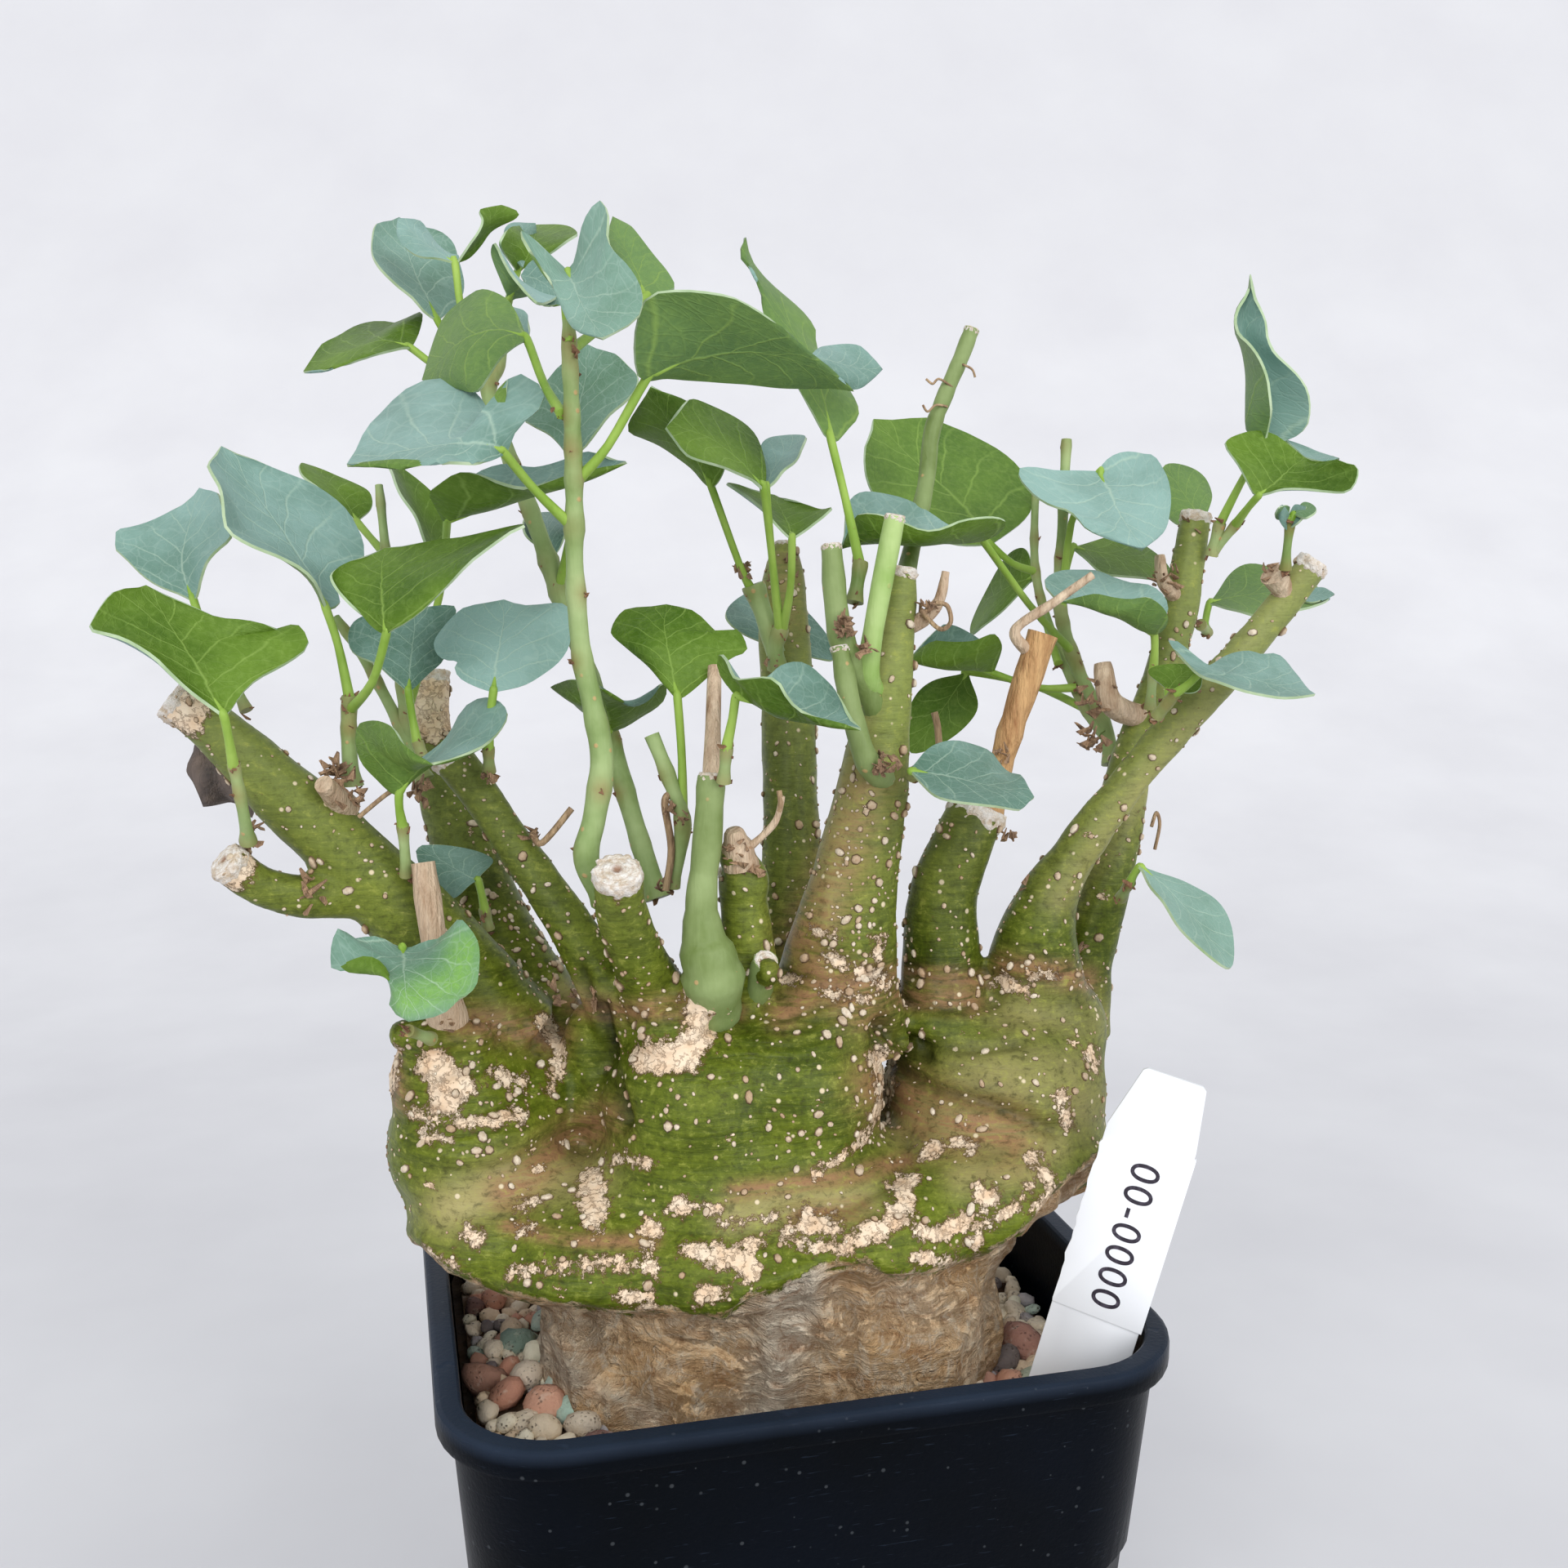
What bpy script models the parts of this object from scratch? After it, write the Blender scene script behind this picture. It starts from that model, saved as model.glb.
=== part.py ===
"""Potted adenia: a fat green caudex with cut trunks and leafy shoots in a square black pot.

The part stands on the pot's foot. The origin is the centre of the foot face, +Z is up and
the pot's front wall faces -Y. Lengths are in metres unless a name ends in _MM or _PX.

The plant is laid out along sight lines: a point is written as (x pixel, y pixel, distance in
millimetres), seen from one fixed station in front of the pot, because a plant has no drawing
but only a look. Everything made, such as the pot and the label, has plain sizes.
"""
import math
import random
from dataclasses import dataclass

import bmesh
import bpy
import numpy as np
from mathutils import Matrix, Vector

MM = 0.001
GAP = 0.3 * MM

# Pot: a square nursery pot with drainage slits in four scooped corners.
POT_WIDTH = 105 * MM
POT_HEIGHT = 100 * MM
FOOT_WIDTH = 86 * MM
CORNER_RADIUS = 16.3 * MM
FOOT_CORNER_RADIUS = 13 * MM
RIM_WIDTH = 3.6 * MM
RIM_DEPTH = 4.2 * MM
RIM_BEVEL = 0.5 * MM
FOOT_BEVEL = 1.2 * MM
WALL = 1.5 * MM
FLOOR = 2.0 * MM
CORNER_STEPS = 4
SCOOP_HEIGHT = 68 * MM
SCOOP_RADIUS = 15 * MM
SCOOP_DEPTH = 2.2 * MM
SLIT_WIDTH = 2.4 * MM
SLIT_TOP = 26 * MM
SLIT_ABOVE_FLOOR = 1.5 * MM
SLITS_PER_CORNER = 3
INNER_FOOT_RADIUS = 20 * MM

# Filling: potting mix with a layer of loose stones on it.
SOIL_BELOW_RIM = 17 * MM
GRAVEL_BED = 2.4 * MM
STONE_SIZE = (3.0 * MM, 4.8 * MM)
STONE_PITCH = 8.8 * MM
STONE_SEED = 11
STONE_CLEAR = 1.0 * MM
CORNER_CLEAR = 9 * MM

# Root: where the caudex goes down into the filling, an upright oval plug.
ROOT_CENTRE = (-1.5 * MM, -1.0 * MM)
ROOT_HALF = (34.5 * MM, 28.0 * MM)
ROOT_DEPTH = 24 * MM
COLLAR_ABOVE_RIM = -5.5 * MM
PLUG_SIDES = 40

# Label: a flat tag with a band of tape round its upper part.
TAG_WIDTH = 13.0 * MM
TAG_LENGTH = 76 * MM
TAG_THICK = 0.9 * MM
TAG_CHAMFER = 9.6 * MM
TAG_POINT = 12 * MM
TAPE_THICK = 0.3 * MM
TAPE_FROM_TOP = 10.5 * MM
TAPE_WIDTH = 13.6 * MM
TAPE_LENGTH = 27 * MM
TAPE_SLANT = 1.5 * MM

# Station that the plant's sight lines start from, in millimetres from the rim's centre.
STATION_MM = (-56.0, -240.6, 113.7)
STATION_YAW = math.radians(14.11)
STATION_PITCH = math.radians(8.78)
FOCAL_PX = 1975.0
CENTRE_PX = 960.0

# Caudex surface: lumps and thick trunks flow together on a grid of this size.
BLEND_GRID = 1.5 * MM
CAUDEX_FACES = 2300
LUMP_SMOOTHING = 9
TRUNK_SMOOTHING = 3
TRUNK_SIDES = 12
TRUNK_PIECES = 3
PLUG_TAPER = 0.4 * MM
PLUG_BELOW_RIM = 2 * MM

# Leaves.
BLADE_THICK = 0.75 * MM
BLADE_ROWS = (0.0, 0.24, 0.5, 0.76, 0.94)
BLADE_COLUMNS = (-1.0, -0.5, 0.0, 0.5, 1.0)
SMALL_BLADE = 16 * MM
SMALL_ROWS = (0.0, 0.32, 0.66, 0.92)
SMALL_COLUMNS = (-1.0, 0.0, 1.0)
BASE_WIDTH = 0.07
WIDEST_AT = 0.66
STALK_RADIUS = 0.72 * MM
STALK_INTO_BLADE = 0.13
STEM_SIDES = 5
STALK_SIDES = 4
EDGE_WAVE = 0.55 * MM

COLOURS = {
    "pot": ((0.012, 0.017, 0.028), 0.42),
    "soil": ((0.055, 0.036, 0.022), 0.95),
    "gravel": ((0.50, 0.34, 0.22), 0.80),
    "label": ((0.86, 0.88, 0.90), 0.40),
    "caudex": ((0.17, 0.23, 0.07), 0.60),
    "leaf": ((0.20, 0.38, 0.20), 0.55),
}


@dataclass(frozen=True)
class Leaf:
    """One leaf: its stalk's points, four pins of its blade, and which face the station sees.

    The stalk runs from the stem to the blade's base. side_a and side_b are the widest points
    of the two edges. bends holds further pins as ((across, along), sight point), with across
    from -0.5 to 0.5 and along from 0 at the base to 1 at the tip.
    """

    name: str
    stalk: tuple
    base: tuple
    tip: tuple
    side_a: tuple
    side_b: tuple
    shows: str = "under"
    bends: tuple = ()


@dataclass(frozen=True)
class Shoot:
    """One leafy shoot: its seat on the caudex, its stems and its leaves.

    Each stem is a tuple of (x pixel, y pixel, distance, radius in millimetres). The seat is
    the first stem's first point, and root is the point inside the caudex that it grows from.
    """

    name: str
    root: tuple
    stems: tuple
    leaves: tuple


# Lumps of the caudex: sight point of the centre, half sizes in millimetres across, deep, high.
LUMPS = (
    ((590, 1395, 242), (14.0, 17.0, 12.0)),
    ((562, 1318, 240), (10.4, 12.0, 9.8)),
    ((640, 1335, 249), (11.5, 15.0, 11.0)),
    ((530, 1398, 245), (6.8, 12.0, 9.5)),
    ((860, 1350, 240), (15.5, 18.0, 16.0)),
    ((965, 1330, 241), (14.5, 17.0, 15.5)),
    ((1015, 1250, 241), (9.0, 11.0, 9.0)),
    ((900, 1440, 237), (22.0, 16.0, 10.0)),
    ((1218, 1330, 254), (17.8, 18.0, 14.0)),
    ((1150, 1250, 253), (8.5, 10.0, 8.5)),
    ((1290, 1260, 256), (8.8, 10.0, 9.5)),
    ((1250, 1400, 252), (14.0, 16.0, 10.5)),
    ((614, 1475, 241), (13.6, 19.0, 9.0)),
    ((740, 1505, 237), (19.0, 20.0, 10.0)),
    ((900, 1512, 236), (20.0, 20.0, 10.0)),
    ((1050, 1478, 239), (18.0, 20.0, 9.8)),
    ((1185, 1440, 244), (16.0, 18.0, 9.6)),
    ((880, 1400, 268), (44.0, 25.0, 15.0)),
    ((905, 1480, 259), (48.0, 34.0, 11.5)),
)

# Bark-covered neck between the lumps and the root plug.
NECK = (
    ((925, 1585, 254), (35.0, 27.0, 12.0)),
    ((905, 1650, 251), (33.0, 26.5, 10.5)),
)

# Thick trunks that flow into the caudex: sight points with a radius in millimetres.
TRUNKS = (
    ((620, 1270, 246, 9.0), (556, 1180, 242, 7.0), (480, 1100, 239, 6.1), (415, 1035, 237, 5.4),
     (357, 980, 235, 4.9), (300, 925, 233, 4.2), (250, 882, 231, 3.6), (212, 857, 230, 3.3)),
    ((455, 1090, 238, 4.2), (385, 1098, 234, 3.2), (322, 1086, 231, 3.0), (276, 1054, 227, 2.9)),
    ((790, 1290, 242, 7.0), (745, 1212, 239, 4.4), (702, 1140, 239, 3.3), (655, 1070, 240, 3.0),
     (610, 1005, 241, 2.9), (575, 955, 242, 3.2), (550, 922, 242, 3.3)),
    ((700, 1290, 256, 8.5), (660, 1240, 256, 7.6), (610, 1150, 258, 6.5), (565, 1030, 260, 5.0),
     (538, 950, 262, 3.8), (528, 890, 263, 3.2), (528, 824, 264, 3.1)),
    ((830, 1260, 238, 6.5), (800, 1212, 233, 4.8), (780, 1170, 227, 4.0), (760, 1115, 221, 3.7),
     (756, 1068, 216, 3.4)),
    ((915, 1230, 238, 5.0), (915, 1150, 234, 3.7), (905, 1062, 235, 3.1)),
    ((1020, 1270, 244, 12.0), (1028, 1190, 242, 9.0), (1042, 1100, 240, 7.0), (1062, 1000, 239, 5.6),
     (1077, 900, 238, 4.4), (1086, 840, 237, 3.7), (1095, 780, 237, 2.9), (1103, 695, 236, 2.5)),
    ((985, 1270, 262, 8.0), (972, 1120, 264, 5.4), (968, 1000, 266, 4.8), (966, 900, 267, 4.6),
     (960, 760, 269, 4.2), (960, 702, 270, 3.4), (962, 662, 270, 1.8)),
    ((1160, 1290, 255, 9.0), (1155, 1230, 252, 6.8), (1152, 1160, 252, 6.0), (1156, 1092, 251, 5.3),
     (1181, 1030, 250, 4.8), (1197, 992, 250, 4.6)),
    ((1275, 1270, 257, 9.5), (1266, 1180, 253, 7.4), (1282, 1105, 251, 4.9), (1313, 1050, 250, 3.5),
     (1390, 947, 249, 2.9), (1450, 878, 248, 2.8), (1523, 797, 247, 2.8), (1610, 688, 245, 2.5)),
    ((1308, 1260, 267, 7.2), (1326, 1180, 266, 4.9), (1350, 1090, 266, 4.2), (1370, 1010, 267, 4.0),
     (1384, 940, 267, 3.6), (1412, 860, 268, 3.1), (1440, 770, 269, 2.9), (1455, 690, 270, 2.8),
     (1465, 628, 270, 2.6)),
)

# Thin stubs, dry sticks and knobs, joined to the caudex as they are.
STUBS = (
    ((560, 1300, 238, 3.6), (546, 1240, 232, 2.9), (531, 1150, 230, 2.0), (518, 1056, 230, 1.8)),
    ((874, 1245, 234, 3.6), (873, 1195, 228, 4.6), (862, 1150, 227, 3.2), (859, 1100, 226, 2.2),
     (866, 1030, 226, 2.1), (871, 950, 226, 1.9)),
    ((871, 970, 227, 1.3), (875, 816, 232, 1.0)),
    ((925, 1215, 235, 2.4), (938, 1176, 229, 1.7)),
    ((1202, 1000, 250, 3.4), (1224, 940, 250, 1.9), (1242, 880, 249, 2.0), (1277, 776, 248, 2.4)),
    ((1262, 800, 248, 1.1), (1243, 772, 246, 0.8), (1290, 738, 246, 0.7), (1338, 704, 246, 0.6)),
    ((1080, 880, 237, 2.4), (1042, 810, 231, 1.9), (1026, 760, 230, 1.8), (1018, 668, 230, 1.5)),
    ((1075, 850, 236, 1.8), (1064, 810, 231, 1.6), (1096, 632, 228, 1.5)),
    ((1090, 960, 238, 2.2), (1062, 932, 230, 1.8), (1043, 870, 229, 1.5), (1028, 792, 229, 1.4)),
    ((1095, 775, 237, 1.6), (1130, 758, 237, 1.2), (1150, 735, 237, 0.8), (1158, 700, 237, 0.6)),
    ((1092, 790, 240, 1.7), (1110, 700, 258, 1.5), (1133, 596, 263, 1.4), (1141, 530, 264, 1.4),
     (1158, 482, 264, 1.3), (1176, 440, 264, 1.3), (1190, 403, 264, 1.3)),
    ((1578, 735, 246, 1.6), (1560, 703, 243, 2.0)),
    ((424, 990, 236, 2.2), (396, 960, 229, 1.3)),
    ((1405, 880, 268, 2.0), (1362, 862, 262, 2.0), (1350, 812, 262, 1.4)),
    ((1445, 735, 269, 1.4), (1425, 712, 266, 1.1), (1420, 680, 266, 0.9)),
)


def leaf(name, stalk, base, tip, side_a, side_b, shows="under", bends=()):
    """Short form of Leaf for the tables below."""
    return Leaf(name, stalk, base, tip, side_a, side_b, shows, bends)


SHOOTS = (
    Shoot("shoot_tall_front", (770, 1180, 236), (
        ((742, 1100, 230, 2.1), (718, 1052, 226, 2.0), (728, 1000, 225, 1.9), (737, 930, 224, 1.9),
         (725, 860, 223, 1.7), (712, 800, 222, 1.6), (704, 700, 219, 1.4), (703, 600, 217, 1.3),
         (700, 500, 214, 1.2), (696, 392, 212, 0.9)),
    ), (
        leaf("crown_front", ((698, 420, 212), (692, 365, 213)), (691, 328, 212), (768, 406, 197),
             (690, 373, 204), (757, 318, 203), "upper",
             (((-0.3, 0.25), (642, 286, 212)), ((0.36, 0.28), (731, 253, 209)))),
        leaf("crown_right", ((698, 430, 212), (735, 402, 219)), (775, 385, 223), (750, 265, 236),
             (830, 356, 224), (742, 330, 232), "under"),
        leaf("great_right", ((710, 585, 217), (745, 545, 215)),
             (787, 466, 214), (1080, 457, 229), (945, 388, 209), (950, 473, 226), "under",
             (((-0.15, 0.15), (779, 408, 210)), ((-0.3, 0.3), (830, 358, 206)),
              ((-0.37, 0.88), (1040, 428, 216)), ((0.3, 0.3), (856, 466, 221)),
              ((0.37, 0.88), (1036, 479, 228)), ((0.0, 0.5), (900, 424, 217)))),
        leaf("cupped_left", ((688, 507, 214), (666, 470, 220)),
             (645, 417, 226), (521, 452, 236), (575, 361, 238), (572, 481, 222), "under",
             (((-0.3, 0.3), (622, 374, 233)), ((0.3, 0.3), (617, 438, 223)),
              ((-0.37, 0.88), (541, 390, 240)), ((0.0, 0.5), (580, 416, 230)))),
        leaf("blue_left", ((701, 645, 218), (655, 600, 214)), (618, 543, 209), (578, 478, 232),
             (446, 500, 212), (664, 486, 218), "upper",
             (((-0.3, 0.3), (552, 563, 204)), ((-0.43, 0.48), (424, 572, 205)),
              ((-0.37, 0.88), (520, 463, 224)), ((0.3, 0.3), (645, 518, 213)),
              ((0.0, 0.35), (593, 522, 212)), ((0.37, 0.88), (636, 462, 226)))),
    )),
    Shoot("shoot_tall_back", (838, 1272, 251), (
        ((806, 1100, 250, 2.0), (785, 1035, 251, 1.8), (760, 950, 253, 1.8), (740, 880, 255, 1.7),
         (690, 740, 259, 1.7), (655, 640, 261, 1.6), (620, 550, 263, 1.5), (598, 480, 264, 1.3),
         (612, 440, 265, 1.1), (620, 378, 265, 0.9)),
    ), (
        leaf("far_top_left", ((606, 455, 265), (560, 430, 268)),
             (537, 393, 270), (472, 266, 284), (457, 320, 268), (560, 312, 286), "upper",
             (((-0.3, 0.3), (496, 367, 266)), ((0.3, 0.3), (566, 362, 278)))),
        leaf("folded_top", ((608, 450, 265), (570, 400, 262)), (563, 323, 262), (528, 272, 280),
             (484, 284, 262), (634, 262, 270), "upper",
             (((-0.3, 0.3), (515, 312, 259)), ((0.3, 0.3), (590, 303, 262)))),
        leaf("low_left_top", ((600, 470, 264), (545, 455, 268)), (506, 427, 270), (377, 455, 266),
             (518, 383, 288), (452, 435, 258), "under"),
        leaf("strip_top", ((620, 380, 265), (622, 372, 265)), (623, 366, 264), (657, 371, 246),
             (603, 300, 262), (690, 348, 276), "under"),
        leaf("green_top", ((619, 382, 265), (628, 350, 268)), (633, 334, 270), (660, 276, 286),
             (616, 288, 262), (706, 286, 272), "under"),
        leaf("veined_centre", ((684, 722, 259), (700, 640, 254)),
             (705, 560, 250), (722, 422, 256), (668, 468, 262), (780, 464, 246), "upper",
             (((-0.3, 0.3), (650, 522, 257)), ((0.3, 0.3), (742, 519, 245)))),
        leaf("under_crossing", ((738, 876, 255), (744, 890, 249)), (748, 894, 246), (745, 838, 222),
             (676, 843, 250), (813, 845, 250), "under"),
        leaf("small_behind", ((668, 690, 260), (672, 692, 262)), (677, 686, 263), (668, 628, 278),
             (640, 642, 262), (695, 640, 268), "upper"),
    )),
    Shoot("shoot_left_upright", (430, 1010, 237), (
        ((431, 962, 236, 1.5), (427, 905, 235, 1.2), (428, 852, 234, 1.0)),
    ), (
        leaf("great_blue", ((428, 856, 234), (414, 790, 233)),
             (400, 748, 232), (258, 553, 240), (274, 642, 224), (404, 605, 247), "upper",
             (((-0.3, 0.3), (348, 687, 222)), ((0.3, 0.3), (447, 684, 242)),
              ((-0.37, 0.88), (264, 592, 231)), ((0.37, 0.88), (312, 555, 248)),
              ((0.0, 0.5), (346, 650, 238)))),
        leaf("wide_under", ((430, 868, 234), (456, 835, 226)),
             (474, 773, 221), (470, 671, 229), (407, 706, 223), (646, 641, 212), "under",
             (((-0.3, 0.3), (432, 748, 219)), ((0.3, 0.3), (548, 716, 214)),
              ((0.37, 0.88), (550, 660, 222)))),
    )),
    Shoot("leaf_left_low", (318, 1060, 231), (
        ((304, 1030, 227, 1.1), (298, 995, 223, 0.9), (286, 935, 220, 0.8)),
    ), (
        leaf("fan_under", ((286, 938, 220), (280, 905, 217)),
             (275, 884, 215), (160, 714, 219), (113, 771, 207), (377, 784, 222), "under",
             (((-0.3, 0.3), (207, 810, 208)), ((0.3, 0.3), (336, 828, 219)),
              ((0.37, 0.88), (296, 762, 227)), ((0.0, 0.5), (218, 790, 217)))),
    )),
    Shoot("leaf_left_far", (300, 908, 234), (
        ((302, 870, 239, 0.9), (284, 832, 240, 0.8)),
    ), (
        leaf("far_blue", ((285, 834, 240), (256, 788, 240)),
             (239, 744, 240), (246, 612, 248), (131, 661, 241), (281, 656, 236), "upper",
             (((-0.3, 0.3), (190, 713, 241)), ((0.3, 0.3), (252, 694, 235)))),
    )),
    Shoot("shoot_left_thin", (560, 1005, 259), (
        ((520, 955, 251, 1.4), (498, 905, 252, 1.1), (470, 850, 253, 1.0), (440, 797, 254, 0.9),
         (411, 756, 255, 0.8)),
        ((500, 908, 252, 1.0), (482, 760, 252, 0.9), (472, 672, 253, 0.8), (464, 594, 254, 0.7)),
    ), (
        leaf("narrow_green", ((484, 775, 252), (515, 720, 251)), (534, 690, 250), (478, 566, 257),
             (497, 612, 246), (541, 625, 257), "under"),
        leaf("small_left", ((473, 680, 253), (455, 660, 256)), (438, 640, 259), (384, 572, 268),
             (372, 580, 260), (452, 606, 264), "under"),
        leaf("level_green", ((496, 880, 252), (520, 800, 254), (542, 710, 252)), (551, 641, 239), (766, 566, 231),
             (650, 606, 229), (638, 572, 246), "under", (((0.3, 0.25), (528, 597, 246)),)),
    )),
    Shoot("leaf_knot_left", (552, 965, 243), (
        ((517, 927, 240, 0.9), (511, 908, 240, 0.8)),
    ), (
        leaf("rhomb_blue", ((511, 910, 240), (505, 880, 240)), (500, 848, 239), (532, 732, 242),
             (428, 768, 238), (560, 760, 240), "upper",
             (((-0.3, 0.3), (455, 810, 236)), ((0.3, 0.3), (543, 808, 238)))),
    )),
    Shoot("leaf_knot_right", (585, 985, 243), (
        ((599, 945, 236, 0.9), (598, 915, 234, 0.8)),
    ), (
        leaf("lobed_blue", ((598, 918, 234), (600, 880, 233)),
             (604, 848, 232), (622, 736, 236), (533, 784, 234), (702, 773, 238), "upper",
             (((-0.3, 0.3), (560, 824, 231)), ((0.3, 0.3), (652, 828, 234)),
              ((0.37, 0.88), (688, 740, 240)), ((-0.37, 0.88), (562, 745, 237)))),
    )),
    Shoot("leaf_cup_left", (520, 1130, 240), (
        ((498, 1072, 233, 0.9), (493, 1010, 229, 0.8)),
    ), (
        leaf("cup_green", ((493, 1012, 229), (489, 990, 227)), (487, 973, 226), (530, 918, 214),
             (440, 888, 230), (618, 866, 232), "upper", (((0.0, 0.55), (520, 925, 222)),)),
    )),
    Shoot("leaf_back_left", (608, 1182, 257), (
        ((598, 1138, 249, 0.9), (593, 1112, 248, 0.8)),
    ), (
        leaf("low_blue", ((594, 1116, 248), (590, 1096, 247)), (586, 1078, 246), (512, 1038, 244),
             (545, 1098, 247), (598, 1048, 247), "upper"),
    )),
    Shoot("leaf_front_low", (552, 1268, 236), (
        ((528, 1272, 226, 0.9), (500, 1262, 219, 0.8)),
    ), (
        leaf("patched_front", ((500, 1262, 219), (486, 1255, 216)), (480, 1244, 214), (545, 1150, 224),
             (409, 1160, 220), (582, 1200, 210), "upper", (((0.4, 0.25), (540, 1246, 211)),)),
    )),
    Shoot("shoot_red_tip", (838, 1250, 240), (
        ((822, 1085, 236, 1.2), (836, 1010, 233, 1.2), (818, 950, 232, 1.2), (798, 900, 232, 1.3)),
    ), (
        leaf("fan_centre", ((836, 1006, 233), (835, 930, 232)), (830, 853, 231), (828, 742, 238),
             (750, 770, 235), (904, 788, 236), "under"),
    )),
    Shoot("leaf_stick_side", (868, 990, 226), (
        ((886, 958, 223, 0.9), (890, 915, 221, 0.8)),
    ), (
        leaf("roofed_blue", ((889, 918, 221), (897, 880, 219)), (901, 850, 218), (1048, 888, 213),
             (975, 812, 225), (975, 872, 206), "upper",
             (((-0.2, 0.2), (884, 806, 221)), ((-0.37, 0.88), (1028, 850, 219)))),
    )),
    Shoot("shoot_middle", (962, 850, 267), (
        ((952, 818, 260, 1.5), (950, 790, 258, 1.4), (957, 768, 257, 1.1)),
        ((950, 800, 259, 1.7), (936, 755, 258, 1.7), (922, 716, 257, 1.7)),
    ), (
        leaf("hooded_green", ((920, 722, 257), (905, 690, 255)), (872, 599, 250), (778, 480, 244),
             (795, 540, 256), (886, 520, 246), "under"),
        leaf("long_green", ((955, 775, 257), (945, 680, 250)), (936, 600, 243), (814, 526, 232),
             (895, 502, 248), (858, 562, 229), "under"),
        leaf("blue_flag", ((955, 775, 257), (945, 680, 250)), (938, 600, 244), (985, 534, 262),
             (933, 545, 254), (972, 562, 246), "upper"),
        leaf("small_fan", ((958, 772, 257), (968, 720, 252)), (970, 661, 248), (950, 610, 262),
             (893, 593, 246), (1024, 622, 250), "under"),
    )),
    Shoot("leaf_long_right", (1036, 782, 231), (
        ((1046, 738, 235, 1.2), (1054, 688, 236, 1.0)),
    ), (
        leaf("long_hanging", ((1053, 692, 236), (1035, 610, 235)),
             (1018, 543, 234), (909, 292, 250), (934, 372, 242), (998, 408, 252), "under",
             (((-0.3, 0.3), (976, 480, 235)), ((0.3, 0.3), (1050, 500, 241)))),
    )),
    Shoot("shoot_right_thin", (1385, 1000, 268), (
        ((1362, 935, 272, 1.6), (1350, 879, 274, 1.3), (1320, 820, 275, 1.2), (1298, 742, 275, 1.1),
         (1301, 645, 275, 1.0), (1306, 538, 275, 0.9)),
        ((1352, 900, 273, 1.2), (1328, 865, 277, 1.0), (1290, 780, 279, 0.9), (1268, 700, 281, 0.8),
         (1268, 600, 282, 0.7)),
    ), (
        leaf("great_round", ((1268, 700, 281), (1240, 690, 278)),
             (1211, 663, 276), (1086, 513, 282), (1060, 590, 272), (1240, 560, 288), "under",
             (((-0.3, 0.3), (1118, 662, 270)), ((0.3, 0.3), (1262, 620, 283)),
              ((0.37, 0.88), (1168, 512, 288)))),
        leaf("roof_blue", ((1313, 798, 275), (1260, 740, 265)), (1206, 661, 256), (1036, 616, 248),
             (1115, 613, 254), (1120, 652, 240), "upper"),
        leaf("heart_blue", ((1299, 760, 275), (1312, 640, 272)), (1342, 577, 268), (1404, 672, 252),
             (1250, 579, 262), (1431, 590, 266), "upper", (((0.27, 0.28), (1385, 556, 269)),)),
        leaf("far_small", ((1296, 812, 276), (1280, 760, 282)), (1268, 706, 286), (1200, 740, 296),
             (1245, 672, 290), (1195, 775, 286), "under"),
        leaf("low_pair", ((1318, 842, 276), (1270, 842, 277)),
             (1216, 824, 277), (1122, 775, 281), (1165, 768, 291), (1160, 815, 269), "upper"),
        leaf("far_hanging", ((1330, 868, 277), (1262, 838, 285)), (1186, 822, 290), (1116, 922, 286),
             (1122, 850, 290), (1190, 880, 290), "under"),
        leaf("under_heart", ((1299, 745, 275), (1304, 705, 277)), (1312, 670, 279), (1434, 704, 283),
             (1385, 660, 291), (1365, 704, 274), "under"),
    )),
    Shoot("leaf_right_roof", (1405, 900, 267), (
        ((1408, 868, 260, 0.9), (1412, 820, 258, 0.8)),
    ), (
        leaf("green_roof", ((1412, 822, 258), (1414, 795, 256)), (1415, 776, 255), (1280, 726, 256),
             (1372, 702, 264), (1346, 742, 247), "under"),
    )),
    Shoot("leaf_right_top", (1452, 720, 269), (
        ((1483, 680, 267, 1.0), (1494, 640, 265, 0.9)),
        ((1484, 678, 267, 0.9), (1515, 640, 264, 0.8)),
    ), (
        leaf("tall_strip", ((1493, 643, 265), (1520, 590, 262)), (1556, 542, 262), (1530, 338, 264),
             (1524, 440, 274), (1604, 482, 254), "upper",
             (((-0.36, 0.88), (1514, 384, 270)), ((0.36, 0.88), (1552, 402, 260)))),
        leaf("wide_top", ((1513, 642, 264), (1528, 622, 259)), (1540, 608, 256), (1570, 532, 262),
             (1503, 542, 256), (1660, 574, 248), "under"),
    )),
    Shoot("leaf_right_side", (1432, 898, 248), (
        ((1416, 878, 241, 0.9), (1440, 848, 238, 0.8)),
    ), (
        leaf("curved_blue", ((1438, 850, 238), (1455, 838, 237)), (1469, 828, 236), (1607, 855, 234),
             (1560, 803, 241), (1535, 850, 226), "upper", (((-0.2, 0.1), (1436, 790, 240)),)),
        leaf("green_under", ((1429, 862, 239), (1431, 856, 240)), (1430, 846, 241), (1463, 816, 241),
             (1408, 820, 244), (1466, 846, 239), "under"),
    )),
    Shoot("leaf_right_low", (1345, 1110, 262), (
        ((1372, 1100, 252, 0.9), (1384, 1080, 248, 0.8)),
    ), (
        leaf("hanging_right", ((1383, 1082, 248), (1389, 1070, 247)), (1395, 1060, 246), (1506, 1186, 240),
             (1488, 1104, 250), (1438, 1124, 238), "upper"),
    )),
    Shoot("leaf_trunk_right", (1080, 950, 239), (
        ((1118, 950, 232, 0.9), (1121, 946, 230, 0.8)),
    ), (
        leaf("spoon_blue", ((1120, 947, 231), (1124, 945, 229)), (1130, 943, 228), (1262, 978, 225),
             (1190, 912, 237), (1190, 984, 219), "upper"),
    )),
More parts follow.
